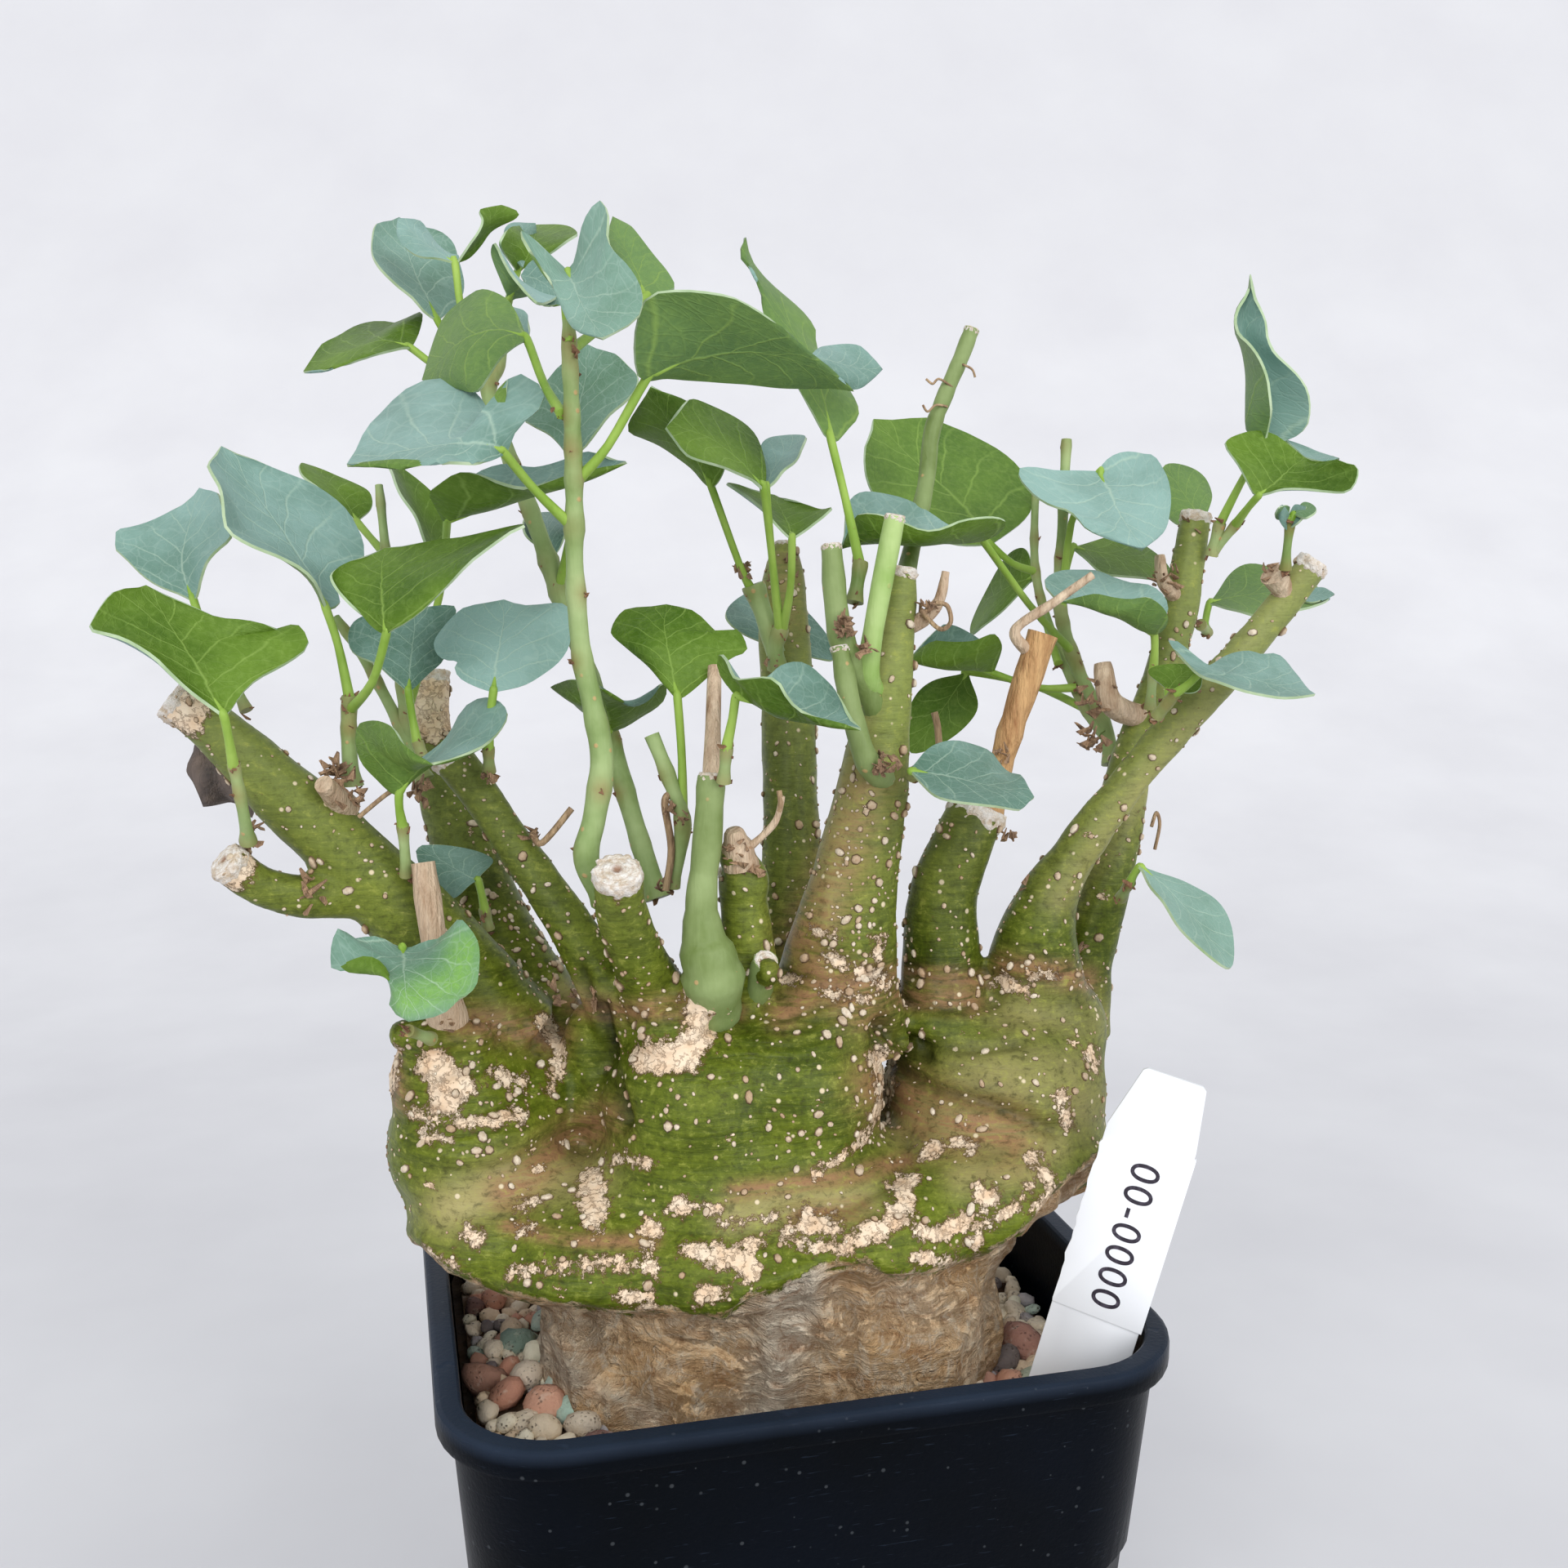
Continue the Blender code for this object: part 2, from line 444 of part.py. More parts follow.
    Shoot("leaf_back_middle", (970, 920, 268), (
        ((990, 860, 275, 0.9), (985, 830, 279, 0.8)),
    ), (
        leaf("far_centre", ((985, 832, 279), (975, 815, 282)), (965, 802, 284), (950, 722, 296),
             (888, 757, 280), (1022, 800, 288), "upper"),
    )),
    Shoot("leaf_back_right", (1450, 730, 270), (
        ((1470, 765, 277, 0.9), (1480, 775, 282, 0.8)),
    ), (
        leaf("far_right", ((1479, 773, 281), (1476, 762, 284)), (1480, 738, 286), (1628, 730, 288),
             (1530, 694, 296), (1548, 752, 276), "under"),
    )),
    Shoot("leaf_back_top", (1455, 690, 270), (
        ((1462, 660, 276, 0.8), (1466, 652, 279, 0.7)),
    ), (
        leaf("half_hidden", ((1466, 653, 279), (1470, 648, 281)), (1474, 644, 283), (1426, 570, 290),
             (1480, 592, 294), (1428, 632, 282), "under"),
    )),
    Shoot("leaf_tiny_bright", (1560, 735, 246), (
        ((1574, 698, 241, 0.8), (1576, 672, 240, 0.7), (1580, 640, 239, 0.7)),
    ), (
        leaf("tiny_up", ((1580, 642, 239), (1582, 636, 239)), (1584, 630, 239), (1612, 624, 237),
             (1598, 616, 242), (1600, 634, 235), "upper"),
        leaf("tiny_left", ((1580, 642, 239), (1578, 638, 239)), (1576, 634, 239), (1566, 622, 235),
             (1562, 634, 239), (1578, 620, 239), "upper"),
    )),
)


def sight(x_px, y_px, distance_mm):
    """Point at a distance along the sight line through a pixel, in metres from the foot."""
    sin_yaw, cos_yaw = math.sin(STATION_YAW), math.cos(STATION_YAW)
    sin_pitch, cos_pitch = math.sin(STATION_PITCH), math.cos(STATION_PITCH)
    ahead = Vector((sin_yaw * cos_pitch, cos_yaw * cos_pitch, -sin_pitch))
    right = Vector((cos_yaw, -sin_yaw, 0.0))
    up = right.cross(ahead)
    across = (x_px - CENTRE_PX) / FOCAL_PX
    rise = (CENTRE_PX - y_px) / FOCAL_PX
    point_mm = Vector(STATION_MM) + distance_mm * (ahead + across * right + rise * up)
    return point_mm * MM + Vector((0.0, 0.0, POT_HEIGHT))


def clear_scene():
    """Remove every object, so that the script can be run again."""
    for thing in list(bpy.data.objects):
        bpy.data.objects.remove(thing, do_unlink=True)


def material(name):
    """Principled material of a named colour and roughness."""
    colour, roughness = COLOURS[name]
    made = bpy.data.materials.new(name)
    made.use_nodes = True
    shader = made.node_tree.nodes["Principled BSDF"]
    shader.inputs["Base Color"].default_value = (*colour, 1.0)
    shader.inputs["Roughness"].default_value = roughness
    shader.inputs["Metallic"].default_value = 0.0
    made.diffuse_color = (*colour, 1.0)
    return made


def object_of(name, mesh_or_bmesh, finish=None):
    """Put a mesh, or a bmesh that is then freed, into the scene as a named object."""
    if isinstance(mesh_or_bmesh, bmesh.types.BMesh):
        mesh = bpy.data.meshes.new(name)
        mesh_or_bmesh.to_mesh(mesh)
        mesh_or_bmesh.free()
    else:
        mesh = mesh_or_bmesh
    made = bpy.data.objects.new(name, mesh)
    bpy.context.scene.collection.objects.link(made)
    if finish is not None:
        made.data.materials.append(finish)
    return made


def bake(thing):
    """Replace an object's mesh by its evaluated mesh and drop its modifiers."""
    bpy.context.view_layer.update()
    seen = thing.evaluated_get(bpy.context.evaluated_depsgraph_get())
    baked = bpy.data.meshes.new_from_object(seen)
    thing.modifiers.clear()
    thing.data = baked


def hide_cutter(cutter):
    """Mark an object as a cutter, which isn't part of the model."""
    cutter.hide_render = True
    cutter.display_type = "WIRE"


def cut(thing, cutters):
    """Subtract cutters from an object, apply the cuts and drop the cutters."""
    for cutter in cutters:
        hide_cutter(cutter)
        boolean = thing.modifiers.new("cut", "BOOLEAN")
        boolean.operation = "DIFFERENCE"
        boolean.solver = "EXACT"
        boolean.object = cutter
    bake(thing)
    for cutter in cutters:
        bpy.data.objects.remove(cutter, do_unlink=True)


def fuse(thing, others, solver="EXACT"):
    """Union an object with others in one collection, apply it and drop the others."""
    group = bpy.data.collections.new(thing.name + "_repeats")
    bpy.context.scene.collection.children.link(group)
    for other in others:
        bpy.context.scene.collection.objects.unlink(other)
        group.objects.link(other)
    boolean = thing.modifiers.new("fuse", "BOOLEAN")
    boolean.operation = "UNION"
    boolean.solver = solver
    boolean.operand_type = "COLLECTION"
    boolean.collection = group
    bake(thing)
    for other in others:
        bpy.data.objects.remove(other, do_unlink=True)
    bpy.data.collections.remove(group)


def rounded_square(half, radius, steps=CORNER_STEPS):
    """Points of a rounded square, anticlockwise from the front of the +X side."""
    points = []
    for corner in range(4):
        centre_angle = math.pi / 4 + corner * math.pi / 2
        centre = Vector((math.copysign(half - radius, math.cos(centre_angle)),
                         math.copysign(half - radius, math.sin(centre_angle))))
        for step in range(steps + 1):
            angle = corner * math.pi / 2 + step / steps * math.pi / 2
            points.append(centre + radius * Vector((math.cos(angle), math.sin(angle))))
    return points


def loft(sections):
    """Closed solid through sections of (half width, corner radius, height), bottom to top."""
    shape = bmesh.new()
    rings = []
    for half, radius, height in sections:
        rings.append([shape.verts.new((p.x, p.y, height)) for p in rounded_square(half, radius)])
    count = len(rings[0])
    for low, high in zip(rings, rings[1:]):
        for i in range(count):
            j = (i + 1) % count
            shape.faces.new((low[i], low[j], high[j], high[i]))
    shape.faces.new(list(reversed(rings[0])))
    shape.faces.new(rings[-1])
    bmesh.ops.recalc_face_normals(shape, faces=shape.faces)
    return shape


def oval_prism(centre, half_x, half_y, low, high, sides=PLUG_SIDES):
    """Upright prism on an oval."""
    shape = bmesh.new()
    rings = []
    for height in (low, high):
        ring = []
        for i in range(sides):
            angle = 2 * math.pi * i / sides
            ring.append(shape.verts.new((centre[0] + half_x * math.cos(angle),
                                         centre[1] + half_y * math.sin(angle), height)))
        rings.append(ring)
    for i in range(sides):
        j = (i + 1) % sides
        shape.faces.new((rings[0][i], rings[0][j], rings[1][j], rings[1][i]))
    shape.faces.new(list(reversed(rings[0])))
    shape.faces.new(rings[1])
    bmesh.ops.recalc_face_normals(shape, faces=shape.faces)
    return shape


def box(low, high):
    """Closed box between two corners."""
    shape = bmesh.new()
    size = Vector(high) - Vector(low)
    middle = (Vector(high) + Vector(low)) / 2
    placed = Matrix.Translation(middle) @ Matrix.Diagonal((*size, 1.0))
    bmesh.ops.create_cube(shape, size=1.0, matrix=placed)
    return shape


def tube(path, sides, radii):
    """Closed tube along points, with a flat end square to the path at each end."""
    points = [Vector(p) for p in path]
    tangents = []
    for i in range(len(points)):
        before = points[max(i - 1, 0)]
        after = points[min(i + 1, len(points) - 1)]
        tangents.append((after - before).normalized())
    helper = Vector((0.0, 1.0, 0.0))
    if abs(tangents[0].dot(helper)) > 0.9:
        helper = Vector((1.0, 0.0, 0.0))
    side = tangents[0].cross(helper).normalized()
    shape = bmesh.new()
    rings = []
    for point, tangent, radius in zip(points, tangents, radii):
        side = (side - tangent * side.dot(tangent)).normalized()
        other = tangent.cross(side)
        ring = []
        for i in range(sides):
            angle = 2 * math.pi * i / sides
            ring.append(shape.verts.new(point + radius * (math.cos(angle) * side + math.sin(angle) * other)))
        rings.append(ring)
    for low, high in zip(rings, rings[1:]):
        for i in range(sides):
            j = (i + 1) % sides
            shape.faces.new((low[i], low[j], high[j], high[i]))
    shape.faces.new(list(reversed(rings[0])))
    shape.faces.new(rings[-1])
    bmesh.ops.recalc_face_normals(shape, faces=shape.faces)
    return shape


def smooth_path(stations, pieces):
    """Catmull-Rom curve through (point, radius) stations, with pieces steps per stretch."""
    points = [Vector(point) for point, radius in stations]
    radii = [radius for point, radius in stations]
    path, widths = [points[0]], [radii[0]]
    for i in range(len(points) - 1):
        before = points[max(i - 1, 0)]
        after = points[min(i + 2, len(points) - 1)]
        start, end = points[i], points[i + 1]
        for step in range(1, pieces + 1):
            t = step / pieces
            bend = (2 * start + (end - before) * t + (2 * before - 5 * start + 4 * end - after) * t * t
                    + (3 * start - before - 3 * end + after) * t ** 3)
            path.append(bend / 2)
            widths.append(radii[i] * (1 - t) + radii[i + 1] * t)
    return path, widths


def stem_stations(stem):
    """Sight points with radii in millimetres, as points and radii in metres."""
    return [(sight(x, y, distance), radius * MM) for x, y, distance, radius in stem]


def pot_half_width(height, wall=0.0):
    """Half width of the pot's wall at a height, less a wall thickness."""
    top = POT_HEIGHT - RIM_DEPTH
    top_half = POT_WIDTH / 2 - RIM_WIDTH + WALL
    foot_half = FOOT_WIDTH / 2
    share = min(max(height / top, 0.0), 1.0)
    return foot_half + (top_half - foot_half) * share - wall


def pot_corner(height):
    """Corner radius of the pot's wall at a height."""
    share = min(max(height / POT_HEIGHT, 0.0), 1.0)
    return FOOT_CORNER_RADIUS + (CORNER_RADIUS - RIM_WIDTH + WALL - FOOT_CORNER_RADIUS) * share


def make_pot():
    """Square pot: tapered wall, lipped rim, and scooped corners with drainage slits."""
    under_rim = POT_HEIGHT - RIM_DEPTH
    half = POT_WIDTH / 2
    pot = object_of("pot", loft([
        (FOOT_WIDTH / 2 - FOOT_BEVEL, FOOT_CORNER_RADIUS - FOOT_BEVEL, 0.0),
        (FOOT_WIDTH / 2, FOOT_CORNER_RADIUS, FOOT_BEVEL),
        (pot_half_width(under_rim), pot_corner(under_rim), under_rim),
        (half - RIM_BEVEL, CORNER_RADIUS - RIM_BEVEL, under_rim + 0.01 * MM),
        (half, CORNER_RADIUS, under_rim + RIM_BEVEL),
        (half, CORNER_RADIUS, POT_HEIGHT - RIM_BEVEL),
        (half - RIM_BEVEL, CORNER_RADIUS - RIM_BEVEL, POT_HEIGHT),
    ]), material("pot"))
    inside_top = half - RIM_WIDTH
    cavity = object_of("cavity", loft([
        (pot_half_width(FLOOR, WALL), inner_corner(FLOOR), FLOOR),
        (pot_half_width(under_rim, WALL), inner_corner(under_rim), under_rim),
        (inside_top, CORNER_RADIUS - RIM_WIDTH, POT_HEIGHT + 1 * MM),
    ]))
    cutters = [cavity]
    for corner in range(4):
        turn = Matrix.Rotation(math.pi / 4 + corner * math.pi / 2, 4, "Z")
        cutters.append(scoop(corner, turn))
        cutters.extend(slits(corner, turn))
    cut(pot, cutters)
    return pot


def inner_corner(height):
    """Corner radius inside the pot, larger low down where the corners are scooped outside."""
    share = min(max(height / POT_HEIGHT, 0.0), 1.0)
    high_radius = CORNER_RADIUS - RIM_WIDTH
    return INNER_FOOT_RADIUS + (high_radius - INNER_FOOT_RADIUS) * share


def corner_reach(height):
    """Distance from the axis to the outside of the wall, measured over a corner."""
    radius = pot_corner(height)
    return (pot_half_width(height) - radius) * math.sqrt(2) + radius


def scoop(corner, turn):
    """Arched block that takes a shallow scoop off one corner, its face as steep as the corner."""
    shape = bmesh.new()
    outline = [(-SCOOP_RADIUS, -5 * MM)]
    arc_steps = 10
    for step in range(arc_steps + 1):
        angle = math.pi - math.pi * step / arc_steps
        outline.append((SCOOP_RADIUS * math.cos(angle),
                        SCOOP_HEIGHT - SCOOP_RADIUS + SCOOP_RADIUS * math.sin(angle)))
    outline.append((SCOOP_RADIUS, -5 * MM))
    near, far = [], []
    for across, height in outline:
        reach = corner_reach(max(height, 0.0)) - SCOOP_DEPTH
        near.append(shape.verts.new(turn @ Vector((reach, across, height))))
        far.append(shape.verts.new(turn @ Vector((reach + 20 * MM, across, height))))
    count = len(outline)
    for i in range(count):
        j = (i + 1) % count
        shape.faces.new((near[i], near[j], far[j], far[i]))
    shape.faces.new(near)
    shape.faces.new(list(reversed(far)))
    bmesh.ops.recalc_face_normals(shape, faces=shape.faces)
    bmesh.ops.triangulate(shape, faces=[face for face in shape.faces if len(face.verts) > 4])
    return object_of("scoop_%d" % corner, shape)


def slits(corner, turn):
    """Upright drainage slits through the wall of one scooped corner."""
    made = []
    pitch = 2 * SCOOP_RADIUS / (SLITS_PER_CORNER + 1)
    for number in range(SLITS_PER_CORNER):
        across = (number - (SLITS_PER_CORNER - 1) / 2) * pitch
        shape = box((corner_reach(0.0) - 14 * MM, across - SLIT_WIDTH / 2, FLOOR + SLIT_ABOVE_FLOOR),
                    (corner_reach(0.0) + 14 * MM, across + SLIT_WIDTH / 2, SLIT_TOP))
        bmesh.ops.transform(shape, matrix=turn, verts=shape.verts)
        made.append(object_of("slit_%d_%d" % (corner, number), shape))
    return made


def root_prism(name, clearance, low, high):
    """Oval prism of the root plug's outline, grown by a clearance."""
    return object_of(name, oval_prism(ROOT_CENTRE, ROOT_HALF[0] + clearance, ROOT_HALF[1] + clearance,
                                      low, high))


def soil_top():
    """Height of the potting mix."""
    return POT_HEIGHT - SOIL_BELOW_RIM


def make_soil():
    """Potting mix that fills the pot, with plain holes for the root and the label."""
    low, high = FLOOR + GAP, soil_top()
    sections = [(pot_half_width(z, WALL) - GAP, inner_corner(z), z) for z in (low, high)]
    soil = object_of("soil", loft(sections), material("soil"))
    cut(soil, [root_prism("root_hole", GAP, high - ROOT_DEPTH - GAP, high + 5 * MM), tag_slot()])
    return soil


def stone(rng, centre, size):
    """One stone: a cube with its corners pushed about, turned and stretched at random."""
    shape = bmesh.new()
    bmesh.ops.create_cube(shape, size=2.0 / math.sqrt(3.0))
    for vert in shape.verts:
        vert.co *= rng.uniform(0.82, 1.12)
    stretch = Matrix.Diagonal((rng.uniform(0.85, 1.25), rng.uniform(0.85, 1.15), rng.uniform(0.7, 0.95), 1.0))
    turn = (Matrix.Rotation(rng.uniform(0, math.tau), 4, "Z")
            @ Matrix.Rotation(rng.uniform(-0.7, 0.7), 4, "X")
            @ Matrix.Rotation(rng.uniform(-0.7, 0.7), 4, "Y"))
    bmesh.ops.transform(shape, matrix=Matrix.Translation(centre) @ turn @ stretch @ Matrix.Scale(size, 4),
                        verts=shape.verts)
    bmesh.ops.triangulate(shape, faces=shape.faces)
    bmesh.ops.recalc_face_normals(shape, faces=shape.faces)
    return shape


def stone_places(rng):
    """Seeded places of stones between the root and the pot's wall, on a jittered grid."""
    places = []
    reach = pot_half_width(soil_top(), WALL)
    count = int(2 * reach / STONE_PITCH)
    for i in range(count + 1):
        for j in range(count + 1):
            x = -reach + (i + rng.uniform(0.2, 0.8)) * STONE_PITCH
            y = -reach + (j + rng.uniform(0.2, 0.8)) * STONE_PITCH
            size = rng.uniform(*STONE_SIZE)
            limit = reach - size - STONE_CLEAR
            dx = (x - ROOT_CENTRE[0]) / (ROOT_HALF[0] + STONE_CLEAR)
            dy = (y - ROOT_CENTRE[1]) / (ROOT_HALF[1] + STONE_CLEAR)
            if abs(x) > limit or abs(y) > limit or dx * dx + dy * dy < 1.0:
                continue
            if abs(x) + abs(y) > 2 * limit - CORNER_CLEAR:
                continue
            places.append((Vector((x, y, soil_top() + GRAVEL_BED + rng.uniform(0.1, 0.9) * MM)), size))
    return places


def make_gravel():
    """Layer of stones on the potting mix, fused on a thin bed of finer grit."""
    low = soil_top() + GAP
    high = low + GRAVEL_BED
    bed = object_of("gravel", loft([(pot_half_width(z, WALL) - GAP, inner_corner(z), z) for z in (low, high)]),
                    material("gravel"))
    rng = random.Random(STONE_SEED)
    stones = []
    for number, (centre, size) in enumerate(stone_places(rng)):
        stones.append(object_of("stone_%d" % number, stone(rng, centre, size)))
    fuse(bed, stones)
    under = object_of("under_bed", box((-0.1, -0.1, low - 10 * MM), (0.1, 0.1, low)))
    cut(bed, [root_prism("root_hole", GAP, low - 20 * MM, POT_HEIGHT), tag_slot(), under])
    return bed


def tag_frame():
    """Matrix of the label: origin at the middle of its top edge, X across it and Z up along it."""
    low_middle = sight(1325, 1664, 236)
    high_middle = sight(1434, 1317, 230)
    up = (high_middle - low_middle).normalized()
    towards_eye = Vector(STATION_MM) * MM + Vector((0, 0, POT_HEIGHT)) - high_middle
    across = up.cross(towards_eye).normalized()
    facing = across.cross(up)
    frame = Matrix((across, -facing, up)).transposed().to_4x4()
    frame.translation = high_middle
    return frame


def tag_outline():
    """Outline of the label, with its two upper corners cut off and a pointed lower end."""
    half = TAG_WIDTH / 2
    return [(-half, -TAG_LENGTH + TAG_POINT), (-1.5 * MM, -TAG_LENGTH), (1.5 * MM, -TAG_LENGTH),
            (half, -TAG_LENGTH + TAG_POINT), (half, -TAG_CHAMFER), (half - 1.2 * MM, -0.6 * MM),
            (half - 1.9 * MM, 0.0), (-half + 3.2 * MM, 0.0), (-half + 2.6 * MM, -0.4 * MM),
            (-half, -TAG_CHAMFER)]


def plate(outline, thick, offset, frame):
    """Flat plate of an outline in the label's frame."""
    shape = bmesh.new()
    front = [shape.verts.new(frame @ Vector((x, offset - thick / 2, z))) for x, z in outline]
    back = [shape.verts.new(frame @ Vector((x, offset + thick / 2, z))) for x, z in outline]
    count = len(outline)
    for i in range(count):
        j = (i + 1) % count
        shape.faces.new((front[i], front[j], back[j], back[i]))
    shape.faces.new(list(reversed(front)))
    shape.faces.new(back)
    bmesh.ops.recalc_face_normals(shape, faces=shape.faces)
    return shape


def tag_slot():
    """Cutter for the label's slot in the filling, a little wider than the tag all round."""
    room = 2 * GAP
    half = TAG_WIDTH / 2 + room
    outline = [(-half, -TAG_LENGTH - room), (half, -TAG_LENGTH - room), (half, 0.0), (-half, 0.0)]
    return object_of("tag_slot", plate(outline, TAG_THICK + 2 * room, 0.0, tag_frame()))


def make_label():
    """Plant label: a white tag with a band of tape, standing in the filling."""
    label = object_of("label", plate(tag_outline(), TAG_THICK, 0.0, tag_frame()), material("label"))
    half = TAPE_WIDTH / 2
    low = -TAPE_FROM_TOP - TAPE_LENGTH
    band = [(-half, low), (half, low), (half, -TAPE_FROM_TOP), (-half, -TAPE_FROM_TOP - TAPE_SLANT)]
    tape = object_of("tape", plate(band, TAG_THICK + 2 * TAPE_THICK, 0.0, tag_frame()))
    fuse(label, [tape])
    return label


def ellipsoid(centre, half_sizes_mm):
    """Lump of the caudex: a squashed ball, turned to face the station."""
    shape = bmesh.new()
    bmesh.ops.create_icosphere(shape, subdivisions=3, radius=1.0)
    sizes = Matrix.Diagonal((*(Vector(half_sizes_mm) * MM), 1.0))
    turn = Matrix.Rotation(-STATION_YAW, 4, "Z")
    bmesh.ops.transform(shape, matrix=Matrix.Translation(centre) @ turn @ sizes, verts=shape.verts)
    return shape


def join_meshes(name, shapes):
    """One mesh object of several bmeshes, which may lie through each other."""
    whole = bmesh.new()
    for shape in shapes:
        mesh = bpy.data.meshes.new("piece")
        shape.to_mesh(mesh)
        shape.free()
        whole.from_mesh(mesh)
        bpy.data.meshes.remove(mesh)
    return object_of(name, whole)


def flow_together(thing, rounds):
    """Join overlapping closed meshes into one skin and smooth it by a number of rounds."""
    remesh = thing.modifiers.new("flow", "REMESH")
    remesh.mode = "VOXEL"
    remesh.voxel_size = BLEND_GRID
    soften = thing.modifiers.new("soften", "SMOOTH")
    soften.factor = 0.5
    soften.iterations = rounds
    bake(thing)


def neck_height():
    """Height down to which the caudex spreads freely, above the stones."""
    return POT_HEIGHT + COLLAR_ABOVE_RIM


def make_caudex():
    """Caudex with its trunks, stubs and root plug, which grew as one piece."""
    lumps = join_meshes("lumps", [ellipsoid(sight(*centre), sizes) for centre, sizes in LUMPS + NECK])
    flow_together(lumps, LUMP_SMOOTHING)
    body = bmesh.new()
    body.from_mesh(lumps.data)
    bpy.data.objects.remove(lumps, do_unlink=True)
    shapes = [body]
    for trunk in TRUNKS:
        path, radii = smooth_path(stem_stations(trunk), TRUNK_PIECES)
        shapes.append(tube(path, TRUNK_SIDES, radii))
    caudex = join_meshes("caudex", shapes)
    flow_together(caudex, TRUNK_SMOOTHING)
    thin = caudex.modifiers.new("thin", "DECIMATE")
    thin.ratio = CAUDEX_FACES / (2 * len(caudex.data.polygons))
    bake(caudex)
    caudex.data.materials.clear()
    caudex.data.materials.append(material("caudex"))
    skirt_low = soil_top() - 60 * MM
    ring = object_of("ring", box((-0.1, -0.1, skirt_low), (0.1, 0.1, neck_height())))
    cut(ring, [root_prism("core", 0.0, skirt_low - 1 * MM, neck_height() + 1 * MM)])
    cut(caudex, [ring])
    plug = root_prism("plug", -PLUG_TAPER, soil_top() - ROOT_DEPTH, POT_HEIGHT - PLUG_BELOW_RIM)
    fuse(caudex, [plug] + stub_objects() + seat_objects())
    return caudex


def stub_objects():
    """Thin stubs and dry sticks as tubes, to be joined to the caudex."""
    made = []
    for number, stub in enumerate(STUBS):
        path, radii = smooth_path(stem_stations(stub), 1)
        made.append(object_of("stub_%d" % number, tube(path, STEM_SIDES, radii)))
    return made


def seat_frame(shoot):
    """Seat of a shoot: the point, the direction out of the caudex, and the stem's radius."""
    first, second = shoot.stems[0][0], shoot.stems[0][1]
    point = sight(*first[:3])
    outward = (sight(*second[:3]) - point).normalized()
    return point, outward, first[3] * MM


def seat_objects():
    """Short flat-ended stub for each leafy shoot, that the shoot's own flat end faces."""
    made = []
    for shoot in SHOOTS:
        point, outward, radius = seat_frame(shoot)
        end = point - outward * GAP / 2
        root = sight(*shoot.root)
        path = [root, end - outward * radius, end]
        widths = [1.6 * radius, 1.15 * radius, 1.15 * radius]
        made.append(object_of("seat_" + shoot.name, tube(path, STEM_SIDES, widths)))
    return made


def half_width(along):
    """Half width of a blade at a place along it, as a share of its greatest."""
    rise, fall = 1.2, 0.62
    value = along ** rise * (1 - along) ** fall
    peak = WIDEST_AT ** rise * (1 - WIDEST_AT) ** fall
    return max(value / peak, BASE_WIDTH)


def bent_plate(pins):
    """Thin bent plate through pins of ((across, along), point), as a function of both."""
    flat = np.array([place for place, point in pins], dtype=float)
    space = np.array([tuple(point) for place, point in pins], dtype=float)
    count = len(pins)

    def kernel(distance):
        return np.where(distance > 1e-9, distance ** 2 * np.log(distance + 1e-12), 0.0)

    gaps = np.linalg.norm(flat[:, None] - flat[None], axis=2)
    system = np.zeros((count + 3, count + 3))
    system[:count, :count] = kernel(gaps)
    system[:count, count] = 1.0
    system[:count, count + 1:] = flat
    system[count:, :count] = system[:count, count:].T
    weights = np.linalg.solve(system, np.vstack([space, np.zeros((3, 3))]))

    def at(across, along):
        place = np.array((across, along))
        pull = kernel(np.linalg.norm(flat - place, axis=1))
        value = pull @ weights[:count] + weights[count] + across * weights[count + 1] + along * weights[count + 2]
        return Vector(value)

    return at


def blade_surface(entry):
    """Surface of a leaf as a function of (across, along), its upper face on the normal's side."""
    turn = ((entry.side_b[0] - entry.side_a[0]) * (entry.base[1] - entry.tip[1])
            - (entry.side_a[1] - entry.side_b[1]) * (entry.tip[0] - entry.base[0]))
    sides = (entry.side_a, entry.side_b)
    swap = (turn > 0) != (entry.shows == "upper")
    if swap:
        sides = (entry.side_b, entry.side_a)
    pins = [((0.0, 0.0), sight(*entry.base)), ((0.0, 1.0), sight(*entry.tip)),
            ((-0.5, WIDEST_AT), sight(*sides[0])), ((0.5, WIDEST_AT), sight(*sides[1]))]
    for (across, along), point in entry.bends:
        pins.append(((-across if swap else across, along), sight(*point)))
    return bent_plate(pins)


def blade_normal(at, across, along):
    """Unit normal of a blade's upper face."""
    step = 0.02
    over = at(across + step, along) - at(across - step, along)
    onward = at(across, along + step) - at(across, along - step)
    return over.cross(onward).normalized()


